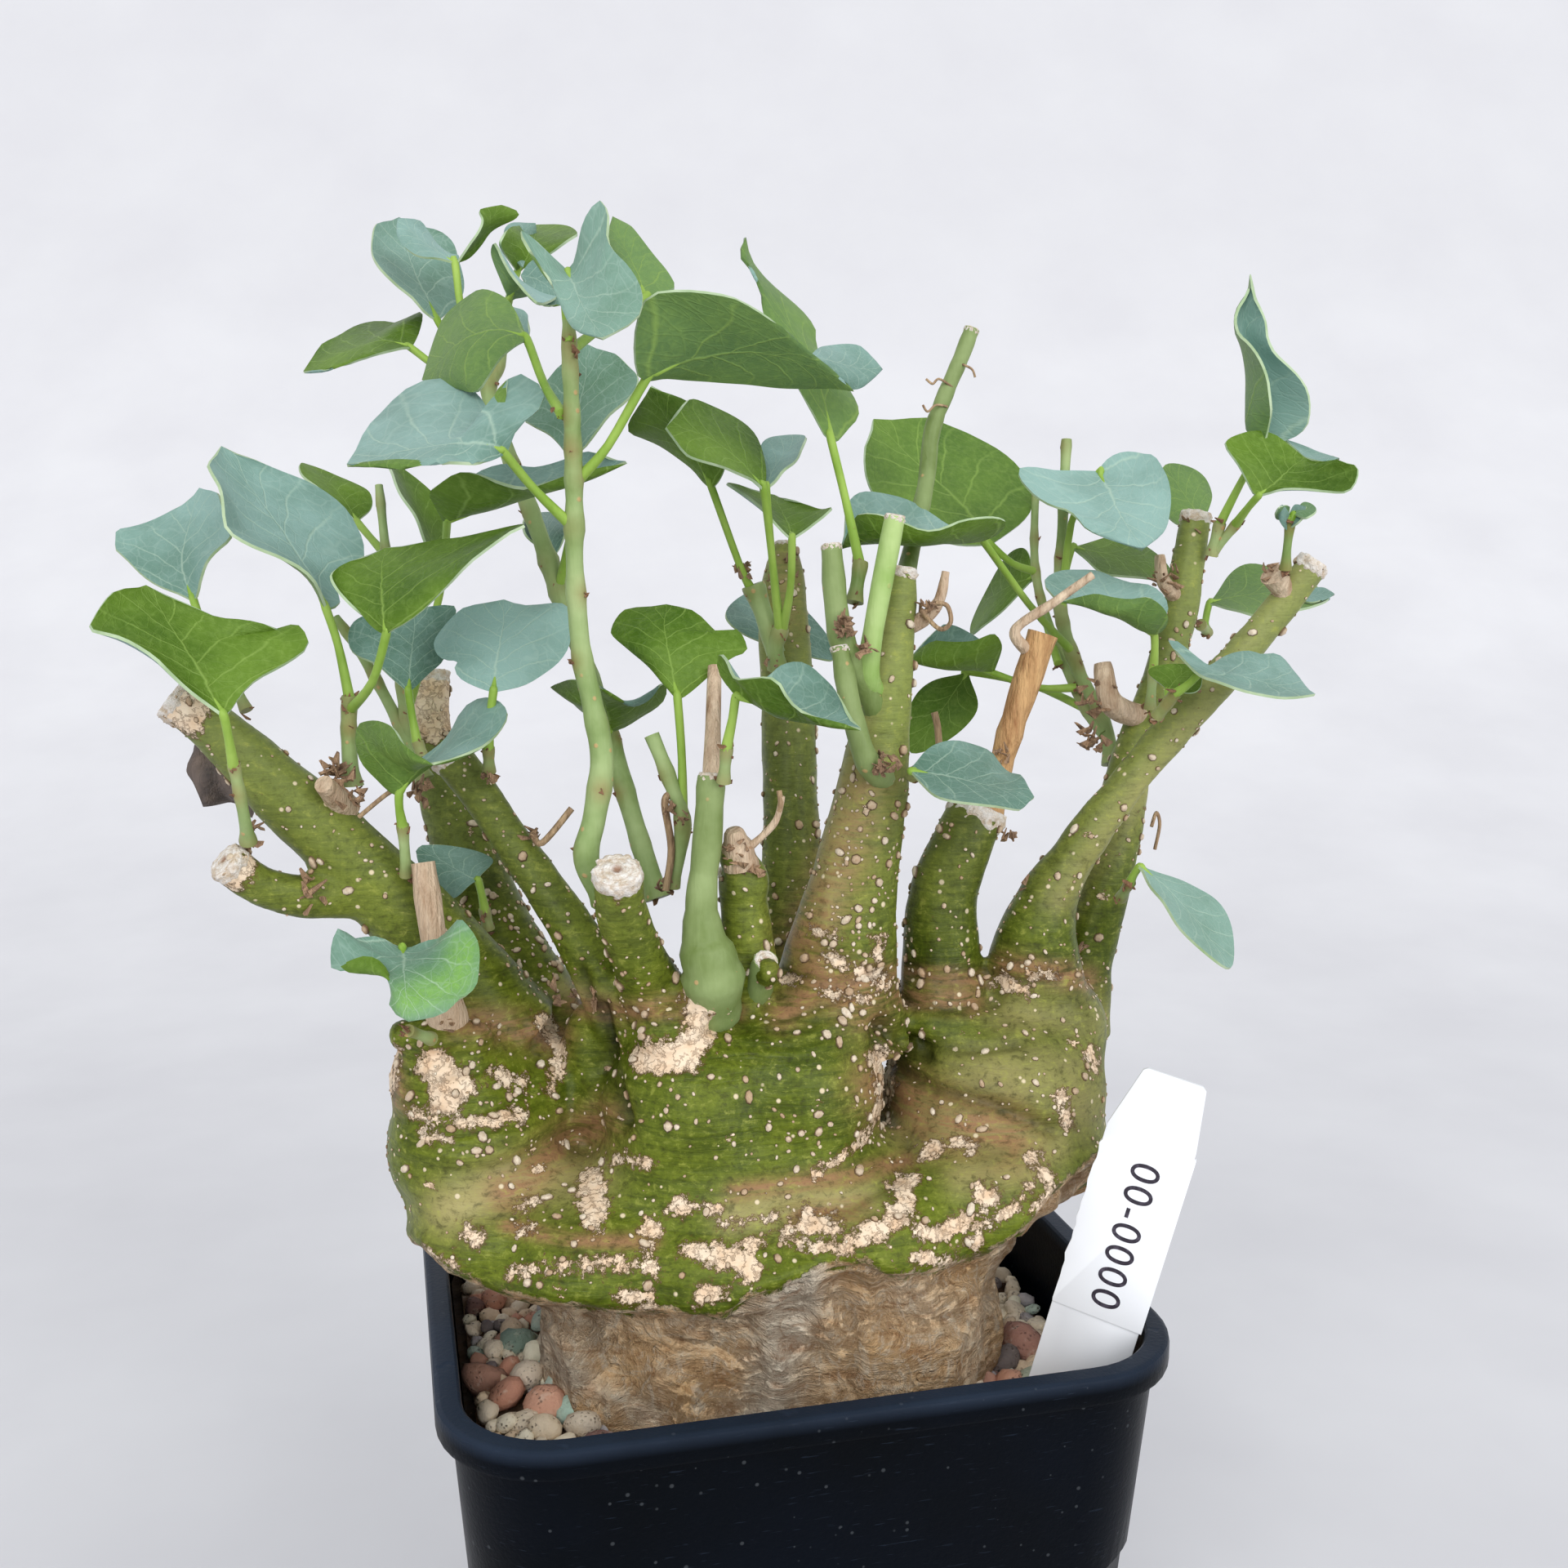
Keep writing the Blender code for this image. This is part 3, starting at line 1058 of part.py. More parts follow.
def blade(entry):
    """Thin closed leaf blade, split into triangles alike on both faces."""
    at = blade_surface(entry)
    phase = sum(map(ord, entry.name)) % 7
    shape = bmesh.new()
    tops, lows = [], []

    def corner_pair(across, along):
        point = at(across, along)
        normal = blade_normal(at, across, along)
        wave = EDGE_WAVE * (2 * across) ** 2 * math.sin(9.0 * along + phase) * math.copysign(1, across)
        point = point + normal * wave
        return (shape.verts.new(point + normal * BLADE_THICK / 2),
                shape.verts.new(point - normal * BLADE_THICK / 2))

    small = (at(0.0, 1.0) - at(0.0, 0.0)).length < SMALL_BLADE
    for number, along in enumerate(SMALL_ROWS if small else BLADE_ROWS):
        columns = SMALL_COLUMNS if number == 0 or small else BLADE_COLUMNS
        pairs = [corner_pair(0.5 * column * half_width(along), along) for column in columns]
        tops.append([pair[0] for pair in pairs])
        lows.append([pair[1] for pair in pairs])
    tip_pair = corner_pair(0.0, 1.0)
    for rows, upward in ((tops, True), (lows, False)):
        for triangle in blade_triangles(rows, tip_pair[0 if upward else 1]):
            shape.faces.new(triangle if upward else tuple(reversed(triangle)))
    rim_top = rim_of(tops, tip_pair[0])
    rim_low = rim_of(lows, tip_pair[1])
    for i in range(len(rim_top)):
        j = (i + 1) % len(rim_top)
        shape.faces.new((rim_top[i], rim_low[i], rim_low[j], rim_top[j]))
    bmesh.ops.recalc_face_normals(shape, faces=shape.faces)
    return shape


def blade_triangles(rows, tip):
    """Triangles of one face: base fan, strips between rows, and tip fan."""
    first, second = rows[0], rows[1]
    made = []
    if len(second) > len(first):
        made = [(first[0], second[1], second[0]), (first[0], first[1], second[1]),
                (first[1], second[2], second[1]), (first[1], second[3], second[2]),
                (first[1], first[2], second[3]), (first[2], second[4], second[3])]
        rows = rows[1:]
    for low, high in zip(rows, rows[1:]):
        for i in range(len(low) - 1):
            made.append((low[i], low[i + 1], high[i + 1]))
            made.append((low[i], high[i + 1], high[i]))
    last = rows[-1]
    for i in range(len(last) - 1):
        made.append((last[i], last[i + 1], tip))
    return made


def rim_of(rows, tip):
    """Edge loop of one face, from the base's left round the tip and back."""
    left = [row[0] for row in rows]
    right = [row[-1] for row in reversed(rows)]
    return left + [tip] + right + [rows[0][1]]


def stalk(entry):
    """Leaf stalk from the stem into the blade's base."""
    at = blade_surface(entry)
    points = [sight(*point) for point in entry.stalk]
    points.append(at(0.0, 0.0))
    stations = [(point, STALK_RADIUS) for point in points]
    path, radii = smooth_path(stations, 1)
    path.append(at(0.0, STALK_INTO_BLADE))
    radii.append(STALK_RADIUS * 0.8)
    return tube(path, STALK_SIDES, radii)


def make_shoot(shoot, finish):
    """Leafy shoot: stems, stalks and blades fused into one solid on its seat."""
    pieces = []
    for number, stem in enumerate(shoot.stems):
        stations = stem_stations(stem)
        if number == 0:
            point, outward, radius = seat_frame(shoot)
            stations[0] = (point + outward * GAP / 2, radius)
        path, radii = smooth_path(stations, 1)
        pieces.append(object_of("%s_stem_%d" % (shoot.name, number), tube(path, STEM_SIDES, radii)))
    for entry in shoot.leaves:
        pieces.append(object_of(entry.name + "_stalk", stalk(entry)))
        pieces.append(object_of(entry.name, blade(entry)))
    whole = pieces[0]
    whole.name = shoot.name
    whole.data.materials.append(finish)
    fuse(whole, pieces[1:])
    return whole


def main():
    """Build every piece."""
    clear_scene()
    make_pot()
    make_soil()
    make_gravel()
    make_label()
    make_caudex()
    leaf_finish = material("leaf")
    for shoot in SHOOTS:
        make_shoot(shoot, leaf_finish)


main()
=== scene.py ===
"""Looks of the potted adenia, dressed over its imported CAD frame.

The CAD model gives the sizes and the places. Each class below builds one sub-assembly of the
plant as finer pieces that keep the CAD's form, and gives them procedural finishes. The plant's
own tables are sight points, (x pixel, y pixel, distance in millimetres) from one station in
front of the pot, as in the CAD source. Lengths are in metres unless a name ends in _mm or _px.
"""

import logging
import math
import random
from dataclasses import dataclass
from enum import Enum
from typing import Any, Iterable, Sequence

import bmesh
import bpy
import numpy as np
from mathutils import Matrix, Vector, noise


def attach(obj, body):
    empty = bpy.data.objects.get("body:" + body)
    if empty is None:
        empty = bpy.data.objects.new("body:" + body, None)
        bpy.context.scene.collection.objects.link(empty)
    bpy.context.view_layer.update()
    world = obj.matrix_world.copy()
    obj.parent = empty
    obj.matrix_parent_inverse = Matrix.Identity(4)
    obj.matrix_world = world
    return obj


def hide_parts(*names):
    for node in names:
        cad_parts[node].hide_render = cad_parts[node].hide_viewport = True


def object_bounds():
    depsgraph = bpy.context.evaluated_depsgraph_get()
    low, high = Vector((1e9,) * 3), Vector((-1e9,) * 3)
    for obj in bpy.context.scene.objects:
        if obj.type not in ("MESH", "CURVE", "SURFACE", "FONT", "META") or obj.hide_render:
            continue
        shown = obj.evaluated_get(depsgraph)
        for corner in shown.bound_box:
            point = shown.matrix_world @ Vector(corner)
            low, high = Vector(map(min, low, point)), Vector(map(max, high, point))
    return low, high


LOG = logging.getLogger("adenia")
MM = 0.001

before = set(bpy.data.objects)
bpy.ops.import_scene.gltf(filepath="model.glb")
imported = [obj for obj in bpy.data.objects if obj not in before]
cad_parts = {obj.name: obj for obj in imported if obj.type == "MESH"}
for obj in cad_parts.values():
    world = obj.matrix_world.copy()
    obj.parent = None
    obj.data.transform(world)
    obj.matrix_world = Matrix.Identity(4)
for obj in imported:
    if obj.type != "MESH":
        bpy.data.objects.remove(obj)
CAD_LOW, CAD_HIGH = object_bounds()

Triple = tuple[float, float, float]
Sight = Triple
Colour = Triple
Line = Sequence[tuple[float, float]]
Thick = Sequence[tuple[float, float, float, float]]
Stations = Sequence[tuple[Vector, float]]


class Slot(Enum):
    """Material slots of the record."""

    POT = "pot"
    SOIL = "soil"
    GRAVEL = "gravel"
    LABEL = "label"
    CAUDEX = "caudex"
    LEAF = "leaf"


class Face(Enum):
    """Face of a blade that the station sees."""

    UPPER = "upper"
    UNDER = "under"


class Skin(Enum):
    """Material number of a stub's skin, and of the cut ends."""

    GREEN = 0
    DRY = 1
    TAN = 2
    BRIGHT = 3
    CUT = 4


class Part(Enum):
    """Material number of each part of a leafy shoot."""

    STEM = 0
    STALK = 1
    UPPER = 2
    UNDER = 3
    EDGE = 4
    BRACT = 5


@dataclass(frozen=True)
class Station:
    """The place that the plant's sight lines start from, which is also the camera's."""

    place_mm: Triple = (-56.0, -240.6, 113.7)
    yaw: float = math.radians(14.11)
    pitch: float = math.radians(8.78)
    focal_px: float = 1975.0
    image_px: float = 1920.0
    px_per_mm: float = 8.2
    rim_height: float = 100 * MM

    @property
    def centre_px(self) -> float:
        """Middle of the square picture."""
        return self.image_px / 2

    @property
    def place(self) -> Vector:
        """The station's point."""
        return Vector(self.place_mm) * MM + Vector((0.0, 0.0, self.rim_height))

    def axes(self) -> tuple[Vector, Vector, Vector]:
        """Directions of the station.

        Returns:
            To the right of, up from and ahead of it.
        """
        ahead = Vector((math.sin(self.yaw) * math.cos(self.pitch),
                        math.cos(self.yaw) * math.cos(self.pitch), -math.sin(self.pitch)))
        right = Vector((math.cos(self.yaw), -math.sin(self.yaw), 0.0))
        return right, right.cross(ahead), ahead

    def sight(self, x_px: float, y_px: float, distance_mm: float) -> Vector:
        """Point on the sight line through a pixel.

        Args:
            x_px: Pixel across the picture.
            y_px: Pixel down the picture.
            distance_mm: Distance in front of the station.
        Returns:
            The point in metres.
        """
        right, up, ahead = self.axes()
        across = (x_px - self.centre_px) / self.focal_px
        rise = (self.centre_px - y_px) / self.focal_px
        return self.place + distance_mm * MM * (ahead + across * right + rise * up)

    def on_height(self, x_px: float, y_px: float, height: float) -> Vector:
        """Point where the sight line through a pixel meets a level plane.

        Args:
            x_px: Pixel across the picture.
            y_px: Pixel down the picture.
            height: Height of the plane.
        Returns:
            The point in metres.
        """
        ray = self.sight(x_px, y_px, 1.0) - self.place
        return self.place + ray * ((height - self.place.z) / ray.z)

    def route(self, stations: Thick, share: float = 1.0) -> list[tuple[Vector, float]]:
        """Points and radii of sight points that carry a radius in millimetres.

        Args:
            stations: The sight points with their radii.
            share: Factor for the radii.
        Returns:
            Points with radii in metres.
        """
        return [(self.sight(x, y, distance), radius * MM * share) for x, y, distance, radius in stations]

    def pixels(self, points: np.ndarray) -> tuple[np.ndarray, np.ndarray]:
        """Pixels of many points.

        Args:
            points: One point a row.
        Returns:
            Pixels across and pixels down.
        """
        right, up, ahead = (np.array(axis) for axis in self.axes())
        away = points - np.array(self.place)
        depth = away @ ahead
        return (self.centre_px + self.focal_px * (away @ right) / depth,
                self.centre_px - self.focal_px * (away @ up) / depth)


STATION = Station()


def tone(red: float, green: float, blue: float) -> Colour:
    """Linear colour of a screen colour of 0 to 255.

    Args:
        red: Red share.
        green: Green share.
        blue: Blue share.
    Returns:
        The colour that a shader takes.
    """
    def straight(value: float) -> float:
        """One channel without the screen's curve."""
        share = value / 255
        return share / 12.92 if share <= 0.04045 else ((share + 0.055) / 1.055) ** 2.4

    return straight(red), straight(green), straight(blue)


class Tree:
    """Short forms for wiring one node tree."""

    def __init__(self, tree: bpy.types.NodeTree) -> None:
        """Keep the tree."""
        self.tree = tree

    def add(self, kind: str, inputs: dict[Any, Any] | None = None, **settings: Any) -> bpy.types.Node:
        """Add a node.

        Args:
            kind: Node type without the word ShaderNode.
            inputs: Values or sockets by input name or number.
            settings: Properties of the node.
        Returns:
            The node.
        """
        node = self.tree.nodes.new("ShaderNode" + kind)
        for key, value in settings.items():
            setattr(node, key, value)
        for key, value in (inputs or {}).items():
            self.feed(node.inputs[key], value)
        return node

    def feed(self, socket: bpy.types.NodeSocket, value: Any) -> None:
        """Link a socket into an input, or set the input's own value.

        Args:
            socket: The input.
            value: A socket, a number, a vector or a colour.
        """
        if isinstance(value, bpy.types.NodeSocket):
            self.tree.links.new(value, socket)
        elif isinstance(value, tuple) and len(value) == 3 and socket.type == "RGBA":
            socket.default_value = (*value, 1.0)
        else:
            socket.default_value = value

    def coat(self, shader: bpy.types.Node, colour: Any, rough: Any, normal: Any) -> None:
        """Feed a Principled shader its colour, roughness and normal."""
        for key, value in (("Base Color", colour), ("Roughness", rough), ("Normal", normal)):
            self.feed(shader.inputs[key], value)

    def math(self, operation: str, a: Any, b: Any = 0.0, clamp: bool = False) -> Any:
        """Result of a Math node on values or sockets."""
        return self.add("Math", {0: a, 1: b}, operation=operation, use_clamp=clamp).outputs[0]

    def times(self, a: Any, b: Any, clamp: bool = False) -> Any:
        """Product of two values."""
        return self.math("MULTIPLY", a, b, clamp)

    def plus(self, a: Any, b: Any, clamp: bool = False) -> Any:
        """Sum of two values."""
        return self.math("ADD", a, b, clamp)

    def less(self, a: Any, b: Any) -> Any:
        """First value less the second."""
        return self.math("SUBTRACT", a, b)

    def span(self, value: Any, low: Any, high: Any, to_low: float = 0.0, to_high: float = 1.0) -> Any:
        """Value moved from one range to another, kept inside the second."""
        return self.add("MapRange", {0: value, 1: low, 2: high, 3: to_low, 4: to_high}).outputs[0]

    def mix(self, share: Any, a: Any, b: Any, blend: str = "MIX") -> Any:
        """Colour between two colours."""
        return self.add("Mix", {0: share, 6: a, 7: b}, data_type="RGBA", blend_type=blend).outputs[2]

    def noise(self, where: Any, scale: Any, detail: float = 3.0, rough: float = 0.5,
              warp: float = 0.0) -> Any:
        """Value of a noise texture."""
        return self.add("TexNoise", {"Vector": where, "Scale": scale, "Detail": detail,
                                     "Roughness": rough, "Distortion": warp}).outputs["Fac"]

    def cells(self, where: Any, scale: float, feature: str = "F1") -> Any:
        """Distance from a cell texture."""
        return self.add("TexVoronoi", {"Vector": where, "Scale": scale}, feature=feature).outputs["Distance"]

    def vector(self, operation: str, inputs: dict[Any, Any]) -> Any:
        """Result of a Vector Math node."""
        return self.add("VectorMath", inputs, operation=operation).outputs[0]

    def stretch(self, where: Any, factors: Triple, turn: Triple = (0.0, 0.0, 0.0)) -> Any:
        """Coordinates scaled and turned by axis."""
        return self.add("Mapping", {"Vector": where, "Scale": factors, "Rotation": turn}).outputs[0]

    def place(self) -> Any:
        """Object coordinates."""
        return self.add("TexCoord").outputs["Object"]

    def mark(self, name: str, output: str = "Fac") -> Any:
        """A mesh attribute."""
        return self.add("Attribute", attribute_name=name).outputs[output]

    def use(self, group: bpy.types.NodeTree, **inputs: Any) -> bpy.types.Node:
        """Place a node group with values or sockets by input name."""
        return self.add("Group", inputs, node_tree=group)

    def cloud(self, place: Any, scale: float, low: float, high: float) -> Any:
        """Soft patches between two levels of noise."""
        return self.use(EFFECTS.cloud, Place=place, Scale=scale, Low=low, High=high).outputs[0]

    def dots(self, place: Any, scale: float, size: float) -> Any:
        """Small round dots of uneven size."""
        return self.use(EFFECTS.dots, Place=place, Scale=scale, Size=size).outputs[0]

    def bump(self, height: Any, strength: float, distance: float, under: Any = None) -> Any:
        """Normal from a height.

        Args:
            height: Socket of the height.
            strength: Share of the bump.
            distance: Height of a full bump.
            under: Normal that the bump lies on, if any.
        Returns:
            The normal's socket.
        """
        inputs = {"Height": height, "Strength": strength, "Distance": distance}
        if under is not None:
            inputs["Normal"] = under
        return self.add("Bump", inputs).outputs["Normal"]


class Effects:
    """Node groups that more than one finish uses."""

    MIDDLE = (0.5, 0.5, 0.5)
    VEIN_GAP = 0.17

    def __init__(self) -> None:
        """Build each group once."""
        self.cloud = self._cloud()
        self.fibre = self._fibre()
        self.dots = self._dots()
        self.veins = self._veins()

    @staticmethod
    def _group(name: str, inputs: Sequence[str], outputs: Sequence[str]) -> tuple[Any, Tree, Any, Any]:
        """Start a group.

        Args:
            name: Name of the group.
            inputs: Names of the inputs: first a vector, then values.
            outputs: Names of the value outputs.
        Returns:
            The group, its tree, its input sockets and its output node.
        """
        group = bpy.data.node_groups.new(name, "ShaderNodeTree")
        for number, key in enumerate(inputs):
            kind = "NodeSocketFloat" if number else "NodeSocketVector"
            group.interface.new_socket(key, in_out="INPUT", socket_type=kind)
        for key in outputs:
            group.interface.new_socket(key, in_out="OUTPUT", socket_type="NodeSocketFloat")
        given = group.nodes.new("NodeGroupInput")
        return group, Tree(group), given.outputs, group.nodes.new("NodeGroupOutput")

    def _cloud(self) -> Any:
        """Soft patches: noise stretched from 0 to 1 between two levels.

        Returns:
            The group.
        """
        group, tree, given, result = self._group("cloud", ("Place", "Scale", "Low", "High"), ["Share"])
        soft = tree.noise(given["Place"], given["Scale"], 4.0, 0.55)
        tree.feed(result.inputs[0], tree.span(soft, given["Low"], given["High"]))
        return group

    def _fibre(self) -> Any:
        """Upright fibres: noise drawn out along the height and bent a little.

        Returns:
            The group.
        """
        group, tree, given, result = self._group("fibre", ("Place", "Scale"), ["Coarse", "Fine"])
        drawn = tree.stretch(given["Place"], (1.0, 1.0, 0.16))
        coarse = tree.noise(drawn, given["Scale"], 5.0, 0.62, 0.6)
        fine = tree.noise(drawn, tree.times(given["Scale"], 3.1), 3.0, 0.6)
        tree.feed(result.inputs[0], tree.span(coarse, 0.3, 0.72))
        tree.feed(result.inputs[1], tree.span(fine, 0.3, 0.7))
        return group

    def _dots(self) -> Any:
        """Small round dots of uneven size.

        Returns:
            The group.
        """
        group, tree, given, result = self._group("dots", ("Place", "Scale", "Size"), ["Mask"])
        node = tree.add("TexVoronoi", {"Vector": given["Place"], "Scale": given["Scale"]}, feature="F1")
        lot = tree.add("SeparateColor", {0: node.outputs["Color"]}).outputs[0]
        size = tree.times(given["Size"], tree.span(lot, 0.35, 1.0))
        tree.feed(result.inputs[0], tree.span(node.outputs["Distance"], size, tree.times(size, 0.6)))
        return group

    def _veins(self) -> Any:
        """Veins of a blade on its own map: midrib, side veins and a fine net.

        Returns:
            The group.
        """
        group, tree, given, result = self._group("veins", ("Map", "Lot"), ["Main", "Net"])
        jitter = tree.add("TexNoise", {"Vector": given["Map"], "Scale": 5.0, "Detail": 3.0})
        moved = tree.vector("SUBTRACT", {0: jitter.outputs["Color"], 1: self.MIDDLE})
        moved = tree.vector("SCALE", {0: moved, "Scale": 0.07})
        bent = tree.vector("ADD", {0: given["Map"], 1: moved})
        across, along, _ = tree.add("SeparateXYZ", {0: bent}).outputs
        across = tree.less(across, 0.5)
        out = tree.math("ABSOLUTE", across)
        midrib = tree.span(out, tree.span(along, 0.0, 1.0, 0.013, 0.004), 0.0)
        side = tree.times(tree.math("SIGN", across), 0.045)
        rise = tree.less(tree.plus(along, side), tree.times(out, 1.15))
        rise = tree.plus(rise, tree.times(tree.times(out, out), 1.1))
        rise = tree.plus(rise, tree.times(given["Lot"], 0.12))
        step = tree.less(tree.math("FRACT", tree.math("DIVIDE", rise, self.VEIN_GAP)), 0.5)
        line = tree.span(tree.math("ABSOLUTE", step), 0.055, 0.01)
        side_veins = tree.times(line, tree.span(out, 0.42, 0.2, 0.25, 0.75))
        tree.feed(result.inputs[0], tree.math("MAXIMUM", midrib, side_veins))
        coarse = tree.span(tree.cells(bent, 11.0, "DISTANCE_TO_EDGE"), 0.06, 0.0)
        fine = tree.span(tree.cells(bent, 27.0, "DISTANCE_TO_EDGE"), 0.09, 0.0, 0.0, 0.45)
        tree.feed(result.inputs[1], tree.math("MAXIMUM", coarse, fine))
        return group


EFFECTS = Effects()


@dataclass(frozen=True)
class Finish:
    """A finish that paints one material."""

    name: str
    specular: float = 0.5

    def material(self) -> bpy.types.Material:
        """Make the material, or find it if it was made before.

        Returns:
            The material.
        """
        made = bpy.data.materials.get(self.name)
        if made is None:
            made = bpy.data.materials.new(self.name)
            made.use_nodes = True
            shader = made.node_tree.nodes["Principled BSDF"]
            shader.inputs["Specular IOR Level"].default_value = self.specular
            self.paint(Tree(made.node_tree), shader)
        return made

    def paint(self, tree: Tree, shader: bpy.types.Node) -> None:
        """Wire the shader.

        Args:
            tree: The material's tree.
            shader: Its Principled shader.
        """
        raise NotImplementedError


@dataclass(frozen=True)
class MouldedPlastic(Finish):
    """Dark moulded plastic with dust, scuffs, a painted highlight along the rim's top and a fine orange-peel.
    """

    deep: Colour = tone(1, 4, 8)
    lit: Colour = tone(2, 8, 19)
    # Pale colour of the scratches, also used for the painted highlight along the rim's top.
    scratch_and_highlight: Colour = tone(50, 62, 80)
    dust: Colour = tone(120, 125, 130)
    rim_height: tuple[float, float] = (0.0978, 0.0998)
    specular: float = 0.07

    def paint(self, tree: Tree, shader: bpy.types.Node) -> None:
        """Wire the shader.

        Args:
            tree: The material's tree.
            shader: Its Principled shader.
        """
        place = tree.place()
        cloud = tree.cloud(place, 28.0, 0.35, 0.75)
        scratches = tree.noise(tree.stretch(place, (0.25, 0.25, 3.0), (0.3, 0.2, 0.0)), 900.0, 2.0, 0.7)
        scratch = tree.span(scratches, 0.66, 0.74)
        height = tree.add("SeparateXYZ", {0: place}).outputs[2]
        # Painted highlight along the top of the rim, in the same pale colour as the scratches.
        rim_highlight = tree.times(tree.span(height, *self.rim_height), tree.span(cloud, 0.0, 1.0, 0.35, 0.75))
        colour = tree.mix(cloud, self.deep, self.lit)
        colour = tree.mix(tree.times(scratch, 0.25), colour, self.scratch_and_highlight)
        colour = tree.mix(tree.times(tree.dots(place, 520.0, 0.2), 0.18), colour, self.dust)
        colour = tree.mix(rim_highlight, colour, self.scratch_and_highlight)
        rough = tree.span(tree.plus(cloud, scratch), 0.0, 1.6, 0.30, 0.55)
        peel = tree.less(tree.noise(place, 1500.0, 2.0, 0.6), scratch)
        tree.coat(shader, colour, rough, tree.bump(peel, 0.25, 0.2 * MM))


@dataclass(frozen=True)
class PottingMix(Finish):
    """Dark crumbly potting mix."""

    dark: Colour = tone(38, 28, 21)
    light: Colour = tone(92, 72, 54)
    crumb: Colour = tone(150, 128, 104)

    def paint(self, tree: Tree, shader: bpy.types.Node) -> None:
        """Wire the shader.

        Args:
            tree: The material's tree.
            shader: Its Principled shader.
        """
        place = tree.place()
        crumbs = tree.cells(place, 420.0)
        cloud = tree.cloud(place, 160.0, 0.3, 0.7)
        colour = tree.mix(tree.span(crumbs, 0.1, 0.0), tree.mix(cloud, self.dark, self.light), self.crumb)
        tree.coat(shader, colour, tree.span(cloud, 0.0, 1.0, 0.8, 1.0), tree.bump(crumbs, 0.9, 1.2 * MM))


@dataclass(frozen=True)
class Pebble(Finish):
    """Mixed stones: each has its own tone, with pores, specks and pale dust."""

    chalk: Colour = tone(226, 212, 192)
    dust: Colour = tone(232, 222, 206)
    pore: Colour = tone(84, 62, 50)

    def paint(self, tree: Tree, shader: bpy.types.Node) -> None:
        """Wire the shader.

        Args:
            tree: The material's tree.
            shader: Its Principled shader.
        """
        place = tree.place()
        cloud = tree.cloud(place, 520.0, 0.3, 0.72)
        pores = tree.times(tree.span(tree.cells(place, 1500.0), 0.34, 0.12),
                           tree.span(tree.noise(place, 260.0), 0.45, 0.6))
        colour = tree.mix(tree.times(cloud, 0.45), tree.mark("tone", "Color"), self.chalk, "SOFT_LIGHT")
        colour = tree.mix(tree.span(cloud, 0.65, 1.0, 0.0, 0.35), colour, self.dust)
        colour = tree.mix(tree.times(pores, 0.6), colour, self.pore)
        height = tree.less(tree.noise(place, 900.0, 5.0, 0.65), pores)
        tree.coat(shader, colour, tree.span(cloud, 0.0, 1.0, 0.95, 0.7), tree.bump(height, 0.8, 0.5 * MM))


@dataclass(frozen=True)
class Card(Finish):
    """White plastic card or tape with faint cockles and dirt."""

    base: Colour = tone(242, 244, 248)
    shade: Colour = tone(214, 218, 228)
    speck: Colour = tone(150, 140, 125)
    dirt: float = 0.25

    def paint(self, tree: Tree, shader: bpy.types.Node) -> None:
        """Wire the shader.

        Args:
            tree: The material's tree.
            shader: Its Principled shader.
        """
        place = tree.place()
        cloud = tree.cloud(place, 45.0, 0.3, 0.8)
        colour = tree.mix(tree.times(cloud, self.dirt), self.base, self.shade)
        colour = tree.mix(tree.times(tree.dots(place, 300.0, 0.10), 0.3), colour, self.speck)
        cockle = tree.noise(place, 130.0, 2.0, 0.5)
        tree.coat(shader, colour, tree.span(cloud, 0.0, 1.0, 0.32, 0.5), tree.bump(cockle, 0.15, 0.8 * MM))


@dataclass(frozen=True)
class Ink(Finish):
    """Dark printing ink, a little patchy."""

    full: Colour = tone(38, 30, 44)
    thin: Colour = tone(92, 84, 100)

    def paint(self, tree: Tree, shader: bpy.types.Node) -> None:
        """Wire the shader.

        Args:
            tree: The material's tree.
            shader: Its Principled shader.
        """
        gaps = tree.cloud(tree.place(), 1400.0, 0.5, 0.8)
        tree.coat(shader, tree.mix(gaps, self.full, self.thin), tree.span(gaps, 0.0, 1.0, 0.45, 0.7),
                  tree.bump(gaps, 0.1, 0.1 * MM))


